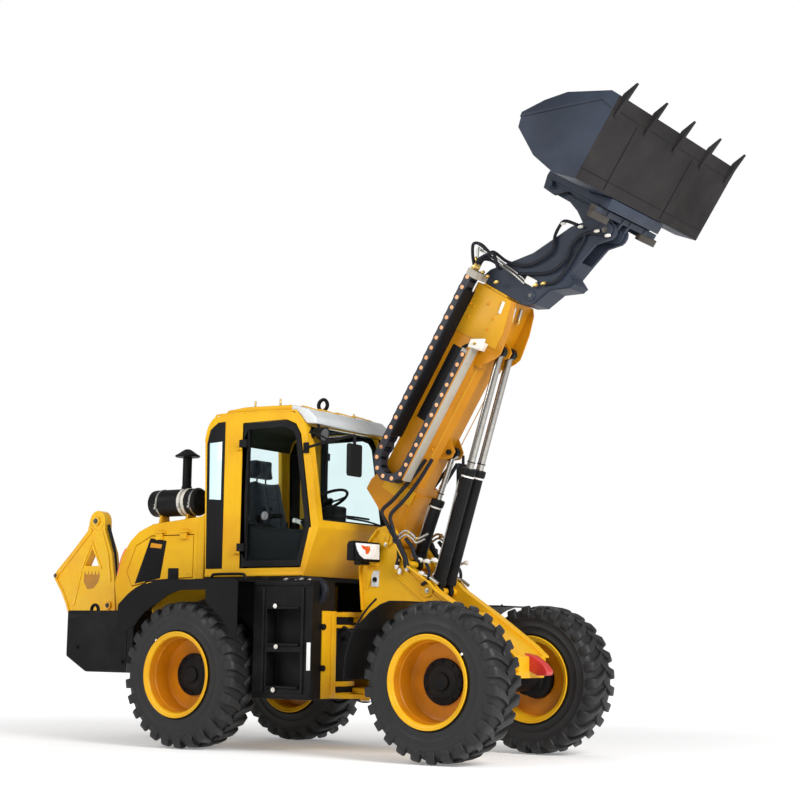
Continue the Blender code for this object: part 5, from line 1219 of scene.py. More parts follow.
def blow_up(piece, limit):
    """The pad's cover as cloth under a light pressure, with no point moved further than the limit."""
    def settle():
        mesh = bpy.data.meshes.new_from_object(piece.evaluated_get(bpy.context.evaluated_depsgraph_get()))
        piece.modifiers.clear()
        piece.data = mesh
        return mesh

    skin = piece.modifiers.new("skin", "REMESH")
    skin.mode = "VOXEL"
    skin.voxel_size = 0.009
    start = [vert.co.copy() for vert in settle().vertices]
    cover = piece.modifiers.new("cover", "CLOTH")
    cover.settings.use_pressure = True
    cover.settings.uniform_pressure_force = 4.0
    cover.settings.effector_weights.gravity = 0.0
    cover.point_cache.frame_start, cover.point_cache.frame_end = 1, 20
    for number in range(1, 21):
        bpy.context.scene.frame_set(number)
    mesh = settle()
    bpy.context.scene.frame_set(1)
    for vert, old in zip(mesh.vertices, start):
        moved = vert.co - old
        if moved.length > limit:
            vert.co = old + moved * (limit / moved.length)


def crowned_pad(name, low, high, crown, cuts, lean=0.0, taper=0.0):
    """A cushion: crowned, pulled in between its corners, blown up as cloth, then sewn with two channels."""
    bm = bmesh.new()
    block(bm, low, high, 0.018, 3)
    bmesh.ops.subdivide_edges(bm, edges=[e for e in bm.edges if e.calc_length() > 0.05], cuts=cuts,
                              use_grid_fill=True)
    low, high = Vector(low), Vector(high)
    middle, half = (low + high) / 2, (high - low) / 2
    thin = min(range(3), key=lambda k: half[k])
    wide = [k for k in range(3) if k != thin]

    def share_of(vert):
        return [(vert.co[k] - middle[k]) / half[k] for k in range(3)]

    for vert in bm.verts:
        share = share_of(vert)
        a, b = share[wide[0]], share[wide[1]]
        vert.co[thin] += share[thin] * crown * (1 - a ** 4) * (1 - b ** 4)
        for k, other in ((wide[0], b), (wide[1], a)):
            vert.co[k] -= share[k] * abs(share[k]) * 0.012 * (1 - other * other)
        vert.co.y *= 1 - taper * (share[2] * 0.5 + 0.5) ** 2
    piece = make(name, bm, "seat_cloth", sharp=math.radians(80))
    blow_up(piece, 0.012)
    shift = MACHINE.translation
    for vert in piece.data.vertices:
        vert.co -= shift
    # the sewn channels go in along the normals of the whole cover, so it is moved first
    for vert in piece.data.vertices:
        share = share_of(vert)
        if abs(vert.normal[thin]) > 0.6:
            dip = sum(math.exp(-((share[k] - line) / 0.035) ** 2) for k in wide for line in (-0.34, 0.34))
            vert.co[thin] -= math.copysign(0.007 * min(1.0, dip), vert.normal[thin])
    foot = Vector((middle.x, middle.y, low.z))
    piece.data.transform(Matrix.Translation(foot + shift) @ Matrix.Rotation(lean, 4, "Y")
                         @ Matrix.Translation(-foot))
    piece.data.shade_smooth()
    finer = piece.modifiers.new("finer", "SUBSURF")
    finer.levels = finer.render_levels = 1
    return piece


def build_seat():
    cushion = crowned_pad("seat_cushion", (-1.045, -0.225, 1.678), (-0.575, 0.225, 1.756), 0.01, 7)
    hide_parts("seat")
    crowned_pad("seat_backrest", (-1.095, -0.228, 1.765), (-0.995, 0.228, 2.255), 0.016, 7, -0.175, 0.22)
    crowned_pad("seat_headrest", (-1.21, -0.125, 2.275), (-1.115, 0.125, 2.44), 0.012, 5, 0.0, 0.15)
    bm = bmesh.new()
    block(bm, (-1.01, -0.19, 1.448), (-0.69, 0.19, 1.475), 0.006)
    for k in range(7):
        z = 1.48 + k * 0.022
        block(bm, (-0.995, -0.175, z), (-0.705, 0.175, z + 0.016), 0.007)
    block(bm, (-1.045, -0.215, 1.64), (-0.6, 0.215, 1.67), 0.008)
    for y in (-0.06, 0.06):
        bar(bm, (-1.15, y, 2.2), (-1.155, y, 2.29), 0.007, 12)
    for side in (-1, 1):
        block(bm, (-0.98, side * 0.245, 1.9), (-0.7, side * 0.29, 1.94), 0.012, 3)
        bar(bm, (-0.965, side * 0.262, 1.7), (-0.965, side * 0.262, 1.905), 0.014, 12)
    make("seat_frame", bm, "moulded_black")


def build_steering():
    bm = bmesh.new()
    prism(bm, [(-0.42, 1.446), (-0.3, 1.446), (-0.286, 1.99), (-0.305, 2.01), (-0.372, 2.002), (-0.388, 1.985)],
          -0.095, 0.095, 0.02, 3)
    lean = Matrix.Translation((-0.42, 0, 2.06)) @ Matrix.Rotation(math.radians(90), 4,
                                                                  "Z") @ Matrix.Rotation(math.radians(62), 4, "X")
    wheel = bmesh.new()
    grip = [(0.1775 + 0.0125 * math.cos(a), 0.0125 * math.sin(a)) for a in (math.tau * k / 10 for k in range(10))]
    lathe(wheel, grip, steps=40)
    for k in range(3):
        turn = math.tau * k / 3 + 0.5
        tube(wheel, [(0.03 * math.cos(turn), -0.018, 0.03 * math.sin(turn)),
                     (0.1 * math.cos(turn), -0.014, 0.1 * math.sin(turn)),
                     (0.172 * math.cos(turn), 0.0, 0.172 * math.sin(turn))], 0.009, 8)
    lathe(wheel, [(1e-6, -0.2), (0.022, -0.2), (0.022, -0.04), (0.042, -0.03), (0.046, -0.01), (0.036, 0.004),
                  (1e-6, 0.006)], steps=24, closed=False)
    bmesh.ops.transform(wheel, matrix=lean, verts=wheel.verts)
    join_into(bm, wheel)
    tube(bm, [(-0.345, 0.09, 1.96), (-0.35, 0.13, 1.985), (-0.37, 0.19, 2.0)], 0.008, 8)
    make("steering_gear", bm, "moulded_black", replaces="steering_column")
    bm = bmesh.new()
    prism(bm, [(-0.07, 1.9), (0.07, 1.9), (0.07, 1.98), (-0.07, 1.98)], -0.394, -0.384, 0.002, along="X")
    make("steering_dials", bm, "dial_face")
    bm = bmesh.new()
    for x, y in ((-0.79, -0.415), (-0.72, -0.415)):
        bar(bm, (x, y, 1.85), (x + 0.012, y, 1.96), 0.007, 12)
        dome(bm, (x + 0.012, y, 1.955), (0.1, 0, 1), 0.02, 0.034, 16)
    for y in (-0.13, 0.0, 0.15):
        block(bm, (-0.5, y - 0.035, 1.475), (-0.44, y + 0.035, 1.49), 0.004)
    make("cab_levers_and_pedals", bm, "trim_rubber")


# ---------------------------------------------------------------- front chassis
NOSE_END = 1.57


def square_off(bm, x):
    """Ends a shape with a flat face at x."""
    bmesh.ops.bisect_plane(bm, geom=bm.verts[:] + bm.edges[:] + bm.faces[:], plane_co=(x, 0, 0), plane_no=(1, 0, 0),
                           clear_outer=True)
    bmesh.ops.holes_fill(bm, edges=[e for e in bm.edges if e.is_boundary], sides=0)


def build_tower():
    """Two welded plates on the front frame, with their folds, bosses and brackets."""
    tower = softened("front_frame", 0.005, 22)
    square_off(tower, MACHINE.translation.x + NOSE_END)
    make("tower_welded", tower, "paint_amber", "front_chassis", WORLD, replaces="front_frame")
    bm = bmesh.new()
    front_edge = [(0.462, 1.66), (0.57, 1.486), (0.779, 1.357), (0.84, 1.294), (1.152, 1.096), (1.48, 0.868),
                  (1.712, 0.665)]
    for side in (-1, 1):
        y = side * 0.21
        # folded flange along the front edge and a welded rib beside it
        strip(bm, front_edge, -0.012, y - side * 0.002, y + side * 0.052)
        for line in ([(0.418, 1.432), (0.577, 1.311), (0.721, 1.211), (0.9, 1.08)],
                     [(0.502, 1.48), (0.672, 1.349), (0.862, 1.211), (1.06, 1.06)]):
            strip(bm, line, -0.012, y - side * 0.001, y + side * 0.012)
        strip(bm, [(0.115, 1.132), (0.086, 1.47), (0.178, 1.69), (0.255, 1.78)], -0.01, y - side * 0.001,
              y + side * 0.03)
        strip(bm, [(0.34, 0.757), (1.36, 0.757), (1.7, 0.58)], 0.01, y - side * 0.001, y + side * 0.034)
        # boss and keeper plate of the boom's pivot
        lathe(bm, [(0.0415, 0.0), (0.074, 0.0), (0.076, 0.004), (0.076, 0.016), (0.072, 0.02), (0.0415, 0.02)],
              (0.35, y, 1.72), (0, side, 0), 40)
        lathe(bm, [(0.0295, 0.0), (0.05, 0.0), (0.052, 0.01), (0.048, 0.013), (0.0295, 0.013)], (0.745, y, 1.285),
              (0, side, 0), 32)
        block(bm, (0.33, side * 0.232, 1.64), (0.372, side * 0.24, 1.722), 0.003)
        # gusset under the shelf and a box behind the lamps
        prism(bm, [(0.15, 1.3), (0.165, 1.3), (0.235, 1.49), (0.15, 1.49)], side * 0.211, side * 0.219, 0.002)
        prism(bm, [(0.9, 0.8), (1.06, 0.8), (1.06, 0.93), (0.96, 0.98), (0.9, 0.96)], side * 0.209, side * 0.245,
              0.006)
    # cross plates between the two tower plates
    prism(bm, [(0.13, 1.09), (0.142, 1.09), (0.1, 1.47), (0.172, 1.64), (0.162, 1.645), (0.088, 1.472)], -0.174,
          0.174, 0.002)
    prism(bm, [(1.06, 1.124), (1.48, 0.848), (1.7, 0.65), (1.692, 0.642), (1.474, 0.838), (1.054, 1.115)], -0.174,
          0.174, 0.002)
    square_off(bm, NOSE_END)
    make("tower_flanges", bm, "paint_amber", "front_chassis")
    bm = bmesh.new()
    for side in (-1, 1):
        bolt(bm, (0.351, side * 0.2395, 1.655), (0, side, 0), 0.011)
        bolt(bm, (0.745, side * 0.225, 1.285), (0, side, 0), 0.013)
        for x, z in ((0.235, 1.36), (0.64, 1.1), (0.82, 0.96), (1.2, 0.9)):
            bolt(bm, (x, side * 0.21, z), (0, side, 0), 0.012)
        for x in (0.58, 0.62):
            bolt(bm, (x, side * 0.44, 0.95), (0, 0, 1), 0.01)
    make("tower_bolts", bm, "zinc", "front_chassis")
    # light bracket plate with its dark bolt, at the rear of the tower
    plates, stalks = bmesh.new(), bmesh.new()
    for side in (-1, 1):
        prism(plates, [(0.198, 1.322), (0.272, 1.318), (0.274, 1.448), (0.2, 1.45)],
              side * 0.2105, side * 0.2185, 0.003)
        bolt(stalks, (0.236, side * 0.2185, 1.376), (0, side, 0), 0.015)
    make("tower_side_plates", plates, "paint_grey", "front_chassis")
    make("tower_stalks", stalks, "moulded_black", "front_chassis")


def build_nose():
    """Solid towing hook at the very front, between the nose's plates."""
    bm = bmesh.new()
    prism(bm, [(1.51, 0.812), (1.6, 0.79), (1.69, 0.728), (1.732, 0.676), (1.722, 0.642), (1.64, 0.64),
               (1.51, 0.7)], -0.05, 0.05, 0.01, 3)
    make("tow_hook", bm, "paint_red", "front_chassis")
    bm = bmesh.new()
    for side in (-1, 1):
        prism(bm, [(1.4, 0.76), (1.48, 0.706), (1.56, 0.668), (1.568, 0.7), (1.43, 0.8)], side * 0.209,
              side * 0.217, 0.003)
        bolt(bm, (1.48, side * 0.217, 0.74), (0, side, 0), 0.01)
    prism(bm, [(1.55, 0.645), (1.572, 0.645), (1.572, 0.78), (1.55, 0.792)], -0.2, 0.2, 0.004)
    make("nose_plates", bm, "paint_amber", "front_chassis")


def build_headlight(word, side):
    """Black housing with a rounded rear, a bright lens and one curved orange lamp."""
    low, high = sorted((side * 0.248, side * 0.608))
    bm = bmesh.new()
    prism(bm, [(0.238, 1.514), (0.296, 1.512), (0.3, 1.518), (0.3, 1.664), (0.296, 1.67), (0.25, 1.664),
               (0.236, 1.64), (0.234, 1.53)], low, high, 0.006)
    block(bm, (0.206, low + 0.04, 1.54), (0.238, high - 0.04, 1.646), 0.012, 3)
    block(bm, (0.17, side * 0.3, 1.49), (0.24, side * 0.42, 1.52), 0.004)
    # rim that holds the lens
    rim = bmesh.new()
    ring_frame(rim, [(low + 0.004, 1.519), (high - 0.004, 1.519), (high - 0.004, 1.664), (low + 0.004, 1.664)],
               0.01, 0.0, 0.01, 0.002)
    stand = Matrix.Translation((0.2985, 0, 0)) @ Matrix(((0, 1, 0, 0), (1, 0, 0, 0), (0, 0, 1, 0), (0, 0, 0, 1)))
    bmesh.ops.transform(rim, matrix=stand, verts=rim.verts)
    bmesh.ops.recalc_face_normals(rim, faces=rim.faces)
    join_into(bm, rim)
    make("headlight_housing_" + word, bm, "moulded_black", "front_chassis", replaces="headlight_" + word)

    # lens with a slanting outer edge, and one curved lamp in it
    def plate(outline, low, high, rounding):
        bm = bmesh.new()
        prism(bm, [(side * y, z) for y, z in outline], low, high, rounding, along="X")
        return bm

    lens = [(0.592, 1.652), (0.262, 1.656), (0.262, 1.532), (0.47, 1.53), (0.53, 1.556), (0.57, 1.604)]
    make("headlight_lens_" + word, plate(lens, 0.2995, 0.31, 0.004), "lens_clear", "front_chassis")
    lamp = [(0.52, 1.64), (0.47, 1.63), (0.4, 1.634), (0.392, 1.606), (0.42, 1.572), (0.452, 1.568), (0.462, 1.6),
            (0.5, 1.61)]
    make("headlight_bulbs_" + word, plate(lamp, 0.309, 0.3125, 0.0015), "lens_orange", "front_chassis")


def build_tower_plumbing():
    """Steel pipes, hoses and their ends on the outer sides of the tower."""
    black, steel, white, nuts = (bmesh.new() for _ in range(4))
    for side in (-1, 1):
        y = side * 0.235

        def line(bm, points, radius, out=0.0):
            tube(bm, [(x, y + side * out, z) for x, z in points], radius)

        line(black, [(0.47, 1.69), (0.505, 1.62), (0.545, 1.545), (0.562, 1.468)], 0.022, 0.01)
        line(black, [(0.43, 1.7), (0.47, 1.64), (0.48, 1.56), (0.462, 1.49)], 0.017)
        line(black, [(0.55, 1.7), (0.585, 1.66), (0.612, 1.63), (0.63, 1.577), (0.66, 1.53), (0.69, 1.51)], 0.016,
             0.008)
        line(black, [(0.74, 1.5), (0.77, 1.44), (0.76, 1.37), (0.7, 1.33)], 0.013)
        line(steel, [(0.43, 1.692), (0.537, 1.762), (0.614, 1.727), (0.654, 1.694), (0.758, 1.731)], 0.01)
        line(steel, [(0.44, 1.664), (0.54, 1.728), (0.61, 1.697), (0.65, 1.664), (0.73, 1.69)], 0.009, 0.004)
        line(steel, [(0.63, 1.57), (0.683, 1.526), (0.755, 1.515), (0.83, 1.524)], 0.01)
        line(steel, [(0.69, 1.424), (0.73, 1.406), (0.792, 1.378), (0.851, 1.338)], 0.014, -0.008)
        for x, z in ((0.683, 1.526), (0.755, 1.515), (0.822, 1.523), (0.7, 1.42)):
            fitting(white, (x, y, z), (1, 0, -0.2), 0.019, 0.046)
        for x, z in ((0.46, 1.482), (0.49, 1.44), (0.563, 1.462)):
            fitting(white, (x, y, z), (0.35, 0, 1), 0.018, 0.046)
        for x, z in ((0.43, 1.696), (0.575, 1.745), (0.652, 1.694), (0.476, 1.524), (0.55, 1.5)):
            fitting(nuts, (x, y, z), (0.6, 0, 0.6), 0.016, 0.038)
    make("tower_hoses", black, "hose_rubber", "front_chassis")
    make("tower_pipes", steel, "zinc", "front_chassis")
    make("tower_white_fittings", white, "white_fitting", "front_chassis", slot="grey")
    make("tower_brass_nuts", nuts, "brass", "front_chassis")
    # hoses that cross the boom's pivot
    bm = bmesh.new()
    for side in (-1, 1):
        near, out = side * 0.19, side * 0.262
        tube(bm, [(0.7, near, 2.33), (0.56, near, 2.18), (0.405, side * 0.215, 2.02), (0.328, out, 1.925),
                  (0.372, out, 1.832), (0.438, out, 1.73), (0.48, side * 0.245, 1.67)], 0.0155)
        tube(bm, [(0.76, near, 2.33), (0.64, near, 2.17), (0.512, side * 0.21, 2.015), (0.415, out, 1.895),
                  (0.43, out, 1.8), (0.455, out, 1.73), (0.47, side * 0.245, 1.7)], 0.0155)
    hoses = make("pivot_hoses", bm, "hose_rubber", None)
    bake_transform(hoses)


def build_front_fender(word, side):
    node = "front_fender_" + word
    dress("front_mudguard_" + word, node, "moulded_black", "front_chassis", 0.003, 24)
    bm = bmesh.new()
    low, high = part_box("tyre_front_" + word)
    axle_x, axle_z = (low.x + high.x) / 2 - MACHINE.translation.x, 0.595
    tube(bm, [(x, side * 0.9295, z) for x, z in on_arc(axle_x, axle_z, 0.7695, range(128, 176, 6))], 0.008, 10)
    for a in (138, 152, 166):
        x, z = on_arc(axle_x, axle_z, 0.775, [a])[0]
        for offset in (0.6, 0.82):
            bolt(bm, (x, side * offset, z), (math.cos(math.radians(a)), 0, math.sin(math.radians(a))), 0.01)
    make("front_mudguard_beads_" + word, bm, "trim_rubber", "front_chassis")


def build_hitch():
    """Pins, bushes and hoses of the joint between the two frames."""
    bm = bmesh.new()
    for z in (0.47, 1.06):
        lathe(bm, [(0.052, -0.01), (0.09, -0.01), (0.096, -0.004), (0.096, 0.004), (0.09, 0.01), (0.052, 0.01)],
              (0.0, 0.0, z), (0, 0, 1), 40)
    bolt(bm, (0.0, 0.0, 1.137), (0, 0, 1), 0.02)
    make("hitch_collars", bm, "cast_black", "front_chassis")
    bm = bmesh.new()
    for side in (-1, 1):
        tube(bm, [(-0.062, side * 0.2, 0.9), (0.0, side * 0.3, 0.91), (0.08, side * 0.33, 0.88),
                  (0.15, side * 0.3, 0.86), (0.204, side * 0.15, 0.87)], 0.014)
        tube(bm, [(-0.062, side * 0.18, 0.98), (0.01, side * 0.32, 0.99), (0.09, side * 0.34, 0.96),
                  (0.16, side * 0.28, 0.93), (0.204, side * 0.11, 0.93)], 0.014)
    hoses = make("hitch_hoses", bm, "hose_rubber", None)
    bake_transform(hoses)


# ---------------------------------------------------------------- boom
CHAIN_NEAR, CHAIN_FAR = -0.29, -0.175
CHAIN_LOW, CHAIN_HIGH = 0.108, 0.402
CHAIN_START, CHAIN_LOW_END, CHAIN_HIGH_END = 0.56, 1.6, 2.165
CHAIN_HALF = 0.035
# where the two ports sit on a cylinder's barrel, as shares of its length
PORTS = (0.11, 0.89)


def build_boom_outer():
    # the boom's body in a darker, deeper orange copy of the amber: painted shade
    dress("boom_tube", "boom_outer", "paint_boom", "boom", 0.01, 22)
    bm = bmesh.new()
    for side in (-1, 1):
        y = side * 0.16
        # collar doubler at the mouth, weld beads, creases and the pivot's boss
        prism(bm, [(1.727, 0.357), (2.147, 0.357), (2.147, 0.004), (1.9, -0.06), (1.751, -0.062)], y,
              y + side * 0.004, 0.0015)
        tube(bm, [(0.48, y, 0.004), (1.0, y, 0.003), (1.54, y, 0.004)], 0.004, 8, False)
        lathe(bm, [(0.0405, 0.0), (0.082, 0.0), (0.086, 0.006), (0.08, 0.011), (0.0405, 0.011)],
              (0.0, side * 0.1605, 0.0), (0, side, 0), 40)
        prism(bm, [(0.3, -0.02), (0.42, -0.02), (0.42, 0.3), (0.3, 0.3)], y, y + side * 0.006, 0.003)
    block(bm, (2.04, -0.158, 0.3665), (2.149, 0.158, 0.374), 0.003)
    # doublers, beads, creases and boss in the lighter copy of the amber: painted highlight
    make("boom_doublers", bm, "paint_doubler", "boom", BOOM)
    bm = bmesh.new()
    for side in (-1, 1):
        for s, t in ((2.04, 0.184), (1.953, 0.082), (1.858, 0.088), (1.97, 0.337), (1.961, 0.297), (1.873, 0.302),
                     (0.6, 0.07), (0.8, 0.03)):
            bolt(bm, (s, side * 0.163, t), (0, side, 0), 0.009)
    for offset in (-0.1, 0.0, 0.1):
        bolt(bm, (2.095, offset, 0.374), (0, 0, 1), 0.01)
    # the bolts in the darker copy of the amber: painted shade
    make("boom_bolts", bm, "paint_deep", "boom", BOOM)
    # pins of the cylinder eyes, and the plain black panel between the runs of the chain, which paints the shade
    # behind the chain
    bm = bmesh.new()
    bar(bm, (1.75, -0.156, -0.065), (1.75, 0.156, -0.065), 0.0245, 28, 0.003)
    bar(bm, (0.835, -0.09, -0.066), (0.835, 0.09, -0.066), 0.022, 28, 0.003)
    prism(bm, [(0.955, 0.186), (1.62, 0.186), (1.62, 0.312), (0.955, 0.312)], -0.164, -0.16, 0.0015)
    make("boom_pins_and_shade_panel", bm, "paint_black", "boom", BOOM)
    # pipes along the far side, and the clips and pipe ends at the mouth
    steel, white, nuts = bmesh.new(), bmesh.new(), bmesh.new()
    for t in (0.11, 0.145):
        tube(steel, [(0.32, 0.176, t - 0.02), (0.42, 0.174, t), (1.4, 0.174, t), (1.99, 0.174, t)], 0.008, 10)
        for s in (0.7, 1.25, 1.8):
            block(nuts, (s - 0.014, 0.16, t - 0.012), (s + 0.014, 0.184, t + 0.012), 0.003)
    for y in (-0.095, 0.0):
        tube(steel, [(2.005, y, -0.04), (2.11, y, -0.013)], 0.012, 12, False)
        fitting(nuts, (2.015, y, -0.037), (1, 0, 0.26), 0.017, 0.04)
    prism(white, [(2.015, 0.04), (2.115, 0.052), (2.115, 0.074), (2.015, 0.062)], -0.176, -0.16, 0.003)
    prism(white, [(1.674, 0.087), (1.745, 0.093), (1.803, -0.025), (1.716, -0.041)], -0.308, -0.29, 0.005)
    block(white, (1.69, -0.3, 0.01), (1.76, -0.165, 0.06), 0.006)
    bolt(nuts, (1.728, -0.308, 0.04), (0, -1, 0), 0.01)
    make("boom_pipes", steel, "zinc", "boom", BOOM)
    make("boom_clips", white, "white_fitting", "boom", BOOM, slot="grey")
    make("boom_clamps", nuts, "brass", "boom", BOOM)


def chain_point(distance):
    """A point on the chain's middle line, (along, above), at a distance from its lower end."""
    lower = CHAIN_LOW_END - CHAIN_START
    radius = (CHAIN_HIGH - CHAIN_LOW) / 2
    bend = math.pi * radius
    if distance < lower:
        return CHAIN_LOW_END - distance, CHAIN_LOW
    if distance < lower + bend:
        turn = (distance - lower) / radius
        return CHAIN_START - radius * math.sin(turn), (CHAIN_LOW + CHAIN_HIGH) / 2 - radius * math.cos(turn)
    return CHAIN_START + distance - lower - bend, CHAIN_HIGH


def link_mesh(pitch, inset):
    """One chain link: two side plates with round ends, two cross bars and a raised pad."""
    bm = bmesh.new()
    radius = CHAIN_HALF * 0.98
    end = [(radius * 0.72 * math.cos(math.radians(a)), radius * math.sin(math.radians(a)))
           for a in range(-90, 91, 30)]
    waist = [(pitch * 0.62, radius * 0.9), (pitch * 0.38, radius * 0.9)]
    outline = [(pitch + a, b) for a, b in end] + waist + [(-a, b) for a, b in reversed(end)]
    outline += [(a, -b) for a, b in reversed(waist)]
    for low, high in ((CHAIN_NEAR + inset, CHAIN_NEAR + inset + 0.009),
                      (CHAIN_FAR - inset - 0.009, CHAIN_FAR - inset)):
        prism(bm, outline, low, high, 0.0016, 1)
    for t in (-0.029, 0.029):
        block(bm, (pitch * 0.26, CHAIN_NEAR + 0.01, t - 0.004), (pitch * 0.74, CHAIN_FAR - 0.01, t + 0.004), 0.0015,
              1)
    near = CHAIN_NEAR + inset
    block(bm, (pitch * 0.4, near - 0.0012, -0.022), (pitch * 0.6, near + 0.001, 0.022), 0.0008, 1)
    return as_mesh(bm, "link")


def chain_part(pitch, first, last):
    """The links between two distances as one mesh, with their pegs as the second material."""
    links = [link_mesh(pitch, 0.0), link_mesh(pitch, 0.0042)]
    bm = bmesh.new()
    for index in range(first, last):
        (s0, t0), (s1, t1) = chain_point(index * pitch), chain_point((index + 1) * pitch)
        place = Matrix.Translation((s0, 0, t0)) @ Matrix.Rotation(-math.atan2(t1 - t0, s1 - s0), 4, "Y")
        add_copy(bm, links[index % 2], place)
    links_end = len(bm.faces)
    for index in range(first, last + 1):
        s, t = chain_point(index * pitch)
        for y, sign in ((CHAIN_NEAR, -1), (CHAIN_FAR, 1)):
            dome(bm, (s, y - sign * 0.001, t), (0, sign, 0), 0.018, 0.005, 12)
    for face in list(bm.faces)[links_end:]:
        face.material_index = 1
    return bm


def build_chain(sizes):
    """Energy chain: lower run and bend on the boom, and an upper run that rides on no body."""
    pitch = sizes.chain_pitch
    length = (CHAIN_LOW_END - CHAIN_START) + math.pi * (CHAIN_HIGH - CHAIN_LOW) / 2
    turn_over = int(length / pitch) + 1
    total = int((length + CHAIN_HIGH_END - CHAIN_START) / pitch)
    parts = (("loop", "boom", 0, turn_over), ("run", None, turn_over, total))
    pieces = [make("chain_" + word + "_links", chain_part(pitch, first, last), ["chain_plastic", "rivet_plastic"],
                   body, BOOM, replaces="energy_chain_" + word) for word, body, first, last in parts]
    for word, body, first, last in parts:
        bm = bmesh.new()
        line = [chain_point(k * pitch) for k in range(first, last + 1)]
        for y in (-0.262, -0.233, -0.204):
            tube(bm, [(s, y, t) for s, t in line], 0.0135, 10)
        pieces.append(make("chain_" + word + "_hoses", bm, "hose_rubber", body, BOOM))
    # the upper run and its hoses are baked in place
    for piece in (pieces[1], pieces[3]):
        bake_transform(piece)
    # liners under the trays that guide the chain, and the clip at its fixed end
    bm = bmesh.new()
    block(bm, (0.48, -0.3005, 0.05), (1.74, -0.198, 0.0605), 0.0015)
    for s in (0.84, 1.2, 1.56):
        block(bm, (s - 0.016, -0.3, 0.0495), (s + 0.016, -0.2, 0.051), 0.002)
    block(bm, (1.585, -0.288, 0.076), (1.65, -0.178, 0.14), 0.005)
    make("chain_lower_tray", bm, "zinc_tray", "boom", BOOM)
    bm = bmesh.new()
    block(bm, (0.738, -0.302, 0.3505), (2.062, -0.158, 0.3552), 0.0015)
    block(bm, (0.738, -0.3025, 0.3505), (2.062, -0.2995, 0.3675), 0.001)
    tube(bm, [(1.59, -0.24, 0.12), (1.642, -0.25, 0.157), (1.7, -0.24, 0.11)], 0.014)
    make("chain_upper_tray", bm, "trim_rubber", "boom", BOOM)


def build_boom_inner():
    dress("boom_inner_tube", "boom_inner", "paint_amber", "boom_extension", 0.008, 22)
    dress("neck_plates", "gooseneck", "paint_slate", "boom_extension", 0.008, 20)
    bm = bmesh.new()
    for side in (-1, 1):
        y = side * 0.1155
        lathe(bm, [(0.03, 0.0), (0.062, 0.0), (0.066, 0.004), (0.066, 0.01), (0.06, 0.014), (0.03, 0.014)],
              (2.977, y, -0.427), (0, side, 0), 40)
        lathe(bm, [(0.024, 0.0), (0.04, 0.0), (0.044, 0.004), (0.04, 0.01), (0.024, 0.01)], (2.257, y, -0.1),
              (0, side, 0), 36)
        strip(bm, [(2.215, -0.16), (2.372, -0.232), (2.458, -0.372), (2.502, -0.392)], 0.008, y - side * 0.001,
              y + side * 0.01)
    make("neck_bosses", bm, "paint_slate", "boom_extension", BOOM)
    bm = bmesh.new()
    for side in (-1, 1):
        bolt(bm, (2.977, side * 0.13, -0.427), (0, side, 0), 0.016)
        bolt(bm, (2.257, side * 0.126, -0.1), (0, side, 0), 0.011)
    make("neck_bolts", bm, "worn_steel", "boom_extension", BOOM)
    # chain bracket with the hose ends, and the lines down the neck
    dress("chain_bracket_plate", "chain_bracket", "zinc_tray", "boom_extension", 0.003)
    nuts, white, hose, steel = (bmesh.new() for _ in range(4))

    def line(bm, y, points, radius):
        tube(bm, [(s, y, t) for s, t in points], radius)

    for y in (-0.15, -0.128):
        shift = (y + 0.128) * 0.9
        line(steel, y, [(2.398 + shift, 0.5), (2.394 + shift, 0.445), (2.373 + shift, 0.258), (2.36 + shift, 0.108),
                        (2.337 + shift, -0.018)], 0.009)
    block(white, (2.325, -0.16, -0.1), (2.385, -0.116, -0.01), 0.008)
    line(hose, -0.14, [(2.33, 0.402), (2.414, 0.39), (2.402, 0.22), (2.446, 0.049), (2.55, -0.054), (2.652, -0.101),
                        (2.761, -0.061), (2.852, -0.06), (2.898, -0.086), (2.914, -0.2)], 0.013)
    line(hose, -0.137, [(2.361, 0.081), (2.432, -0.072), (2.509, -0.189), (2.638, -0.246), (2.746, -0.233),
                        (2.856, -0.274), (2.94, -0.37)], 0.012)
    line(hose, -0.134, [(2.38, -0.159), (2.447, -0.254), (2.567, -0.29), (2.707, -0.298), (2.825, -0.306),
                        (2.892, -0.305), (2.935, -0.44)], 0.012)
    for s, t in ((2.87, -0.076), (2.914, -0.232), (2.94, -0.378), (2.948, -0.482)):
        fitting(white, (s, -0.142, t), (0.5, 0, -0.8), 0.014, 0.042)
    for s, t in ((2.217, 0.45), (2.323, 0.409), (2.226, 0.29), (2.225, 0.189), (2.3, 0.46), (2.232, 0.352),
                 (2.35, -0.112), (2.392, -0.17)):
        fitting(nuts, (s, -0.2 if t > 0 else -0.145, t), (0.6, 0, -0.6 if t < 0.4 else 0.4), 0.015, 0.044)
    line(steel, -0.19, [(2.25, 0.43), (2.33, 0.47), (2.398, 0.5), (2.398, 0.445)], 0.011)
    line(hose, -0.215, [(2.24, 0.43), (2.32, 0.5), (2.4, 0.54), (2.425, 0.47), (2.4, 0.36)], 0.013)
    for y in (-0.262, -0.233, -0.204):
        fitting(nuts, (2.25, y, 0.402), (1, 0, 0), 0.016, 0.06)
        line(hose, y, [(2.27, 0.402), (2.33, 0.39), (2.35 - (y + 0.2), 0.3), (2.33, 0.2)], 0.012)
    make("neck_hose_ends", nuts, "brass", "boom_extension", BOOM)
    make("neck_white_fittings", white, "white_fitting", "boom_extension", BOOM, slot="grey")
    make("neck_hoses", hose, "hose_rubber", "boom_extension", BOOM)
    make("neck_pipes", steel, "zinc", "boom_extension", BOOM)


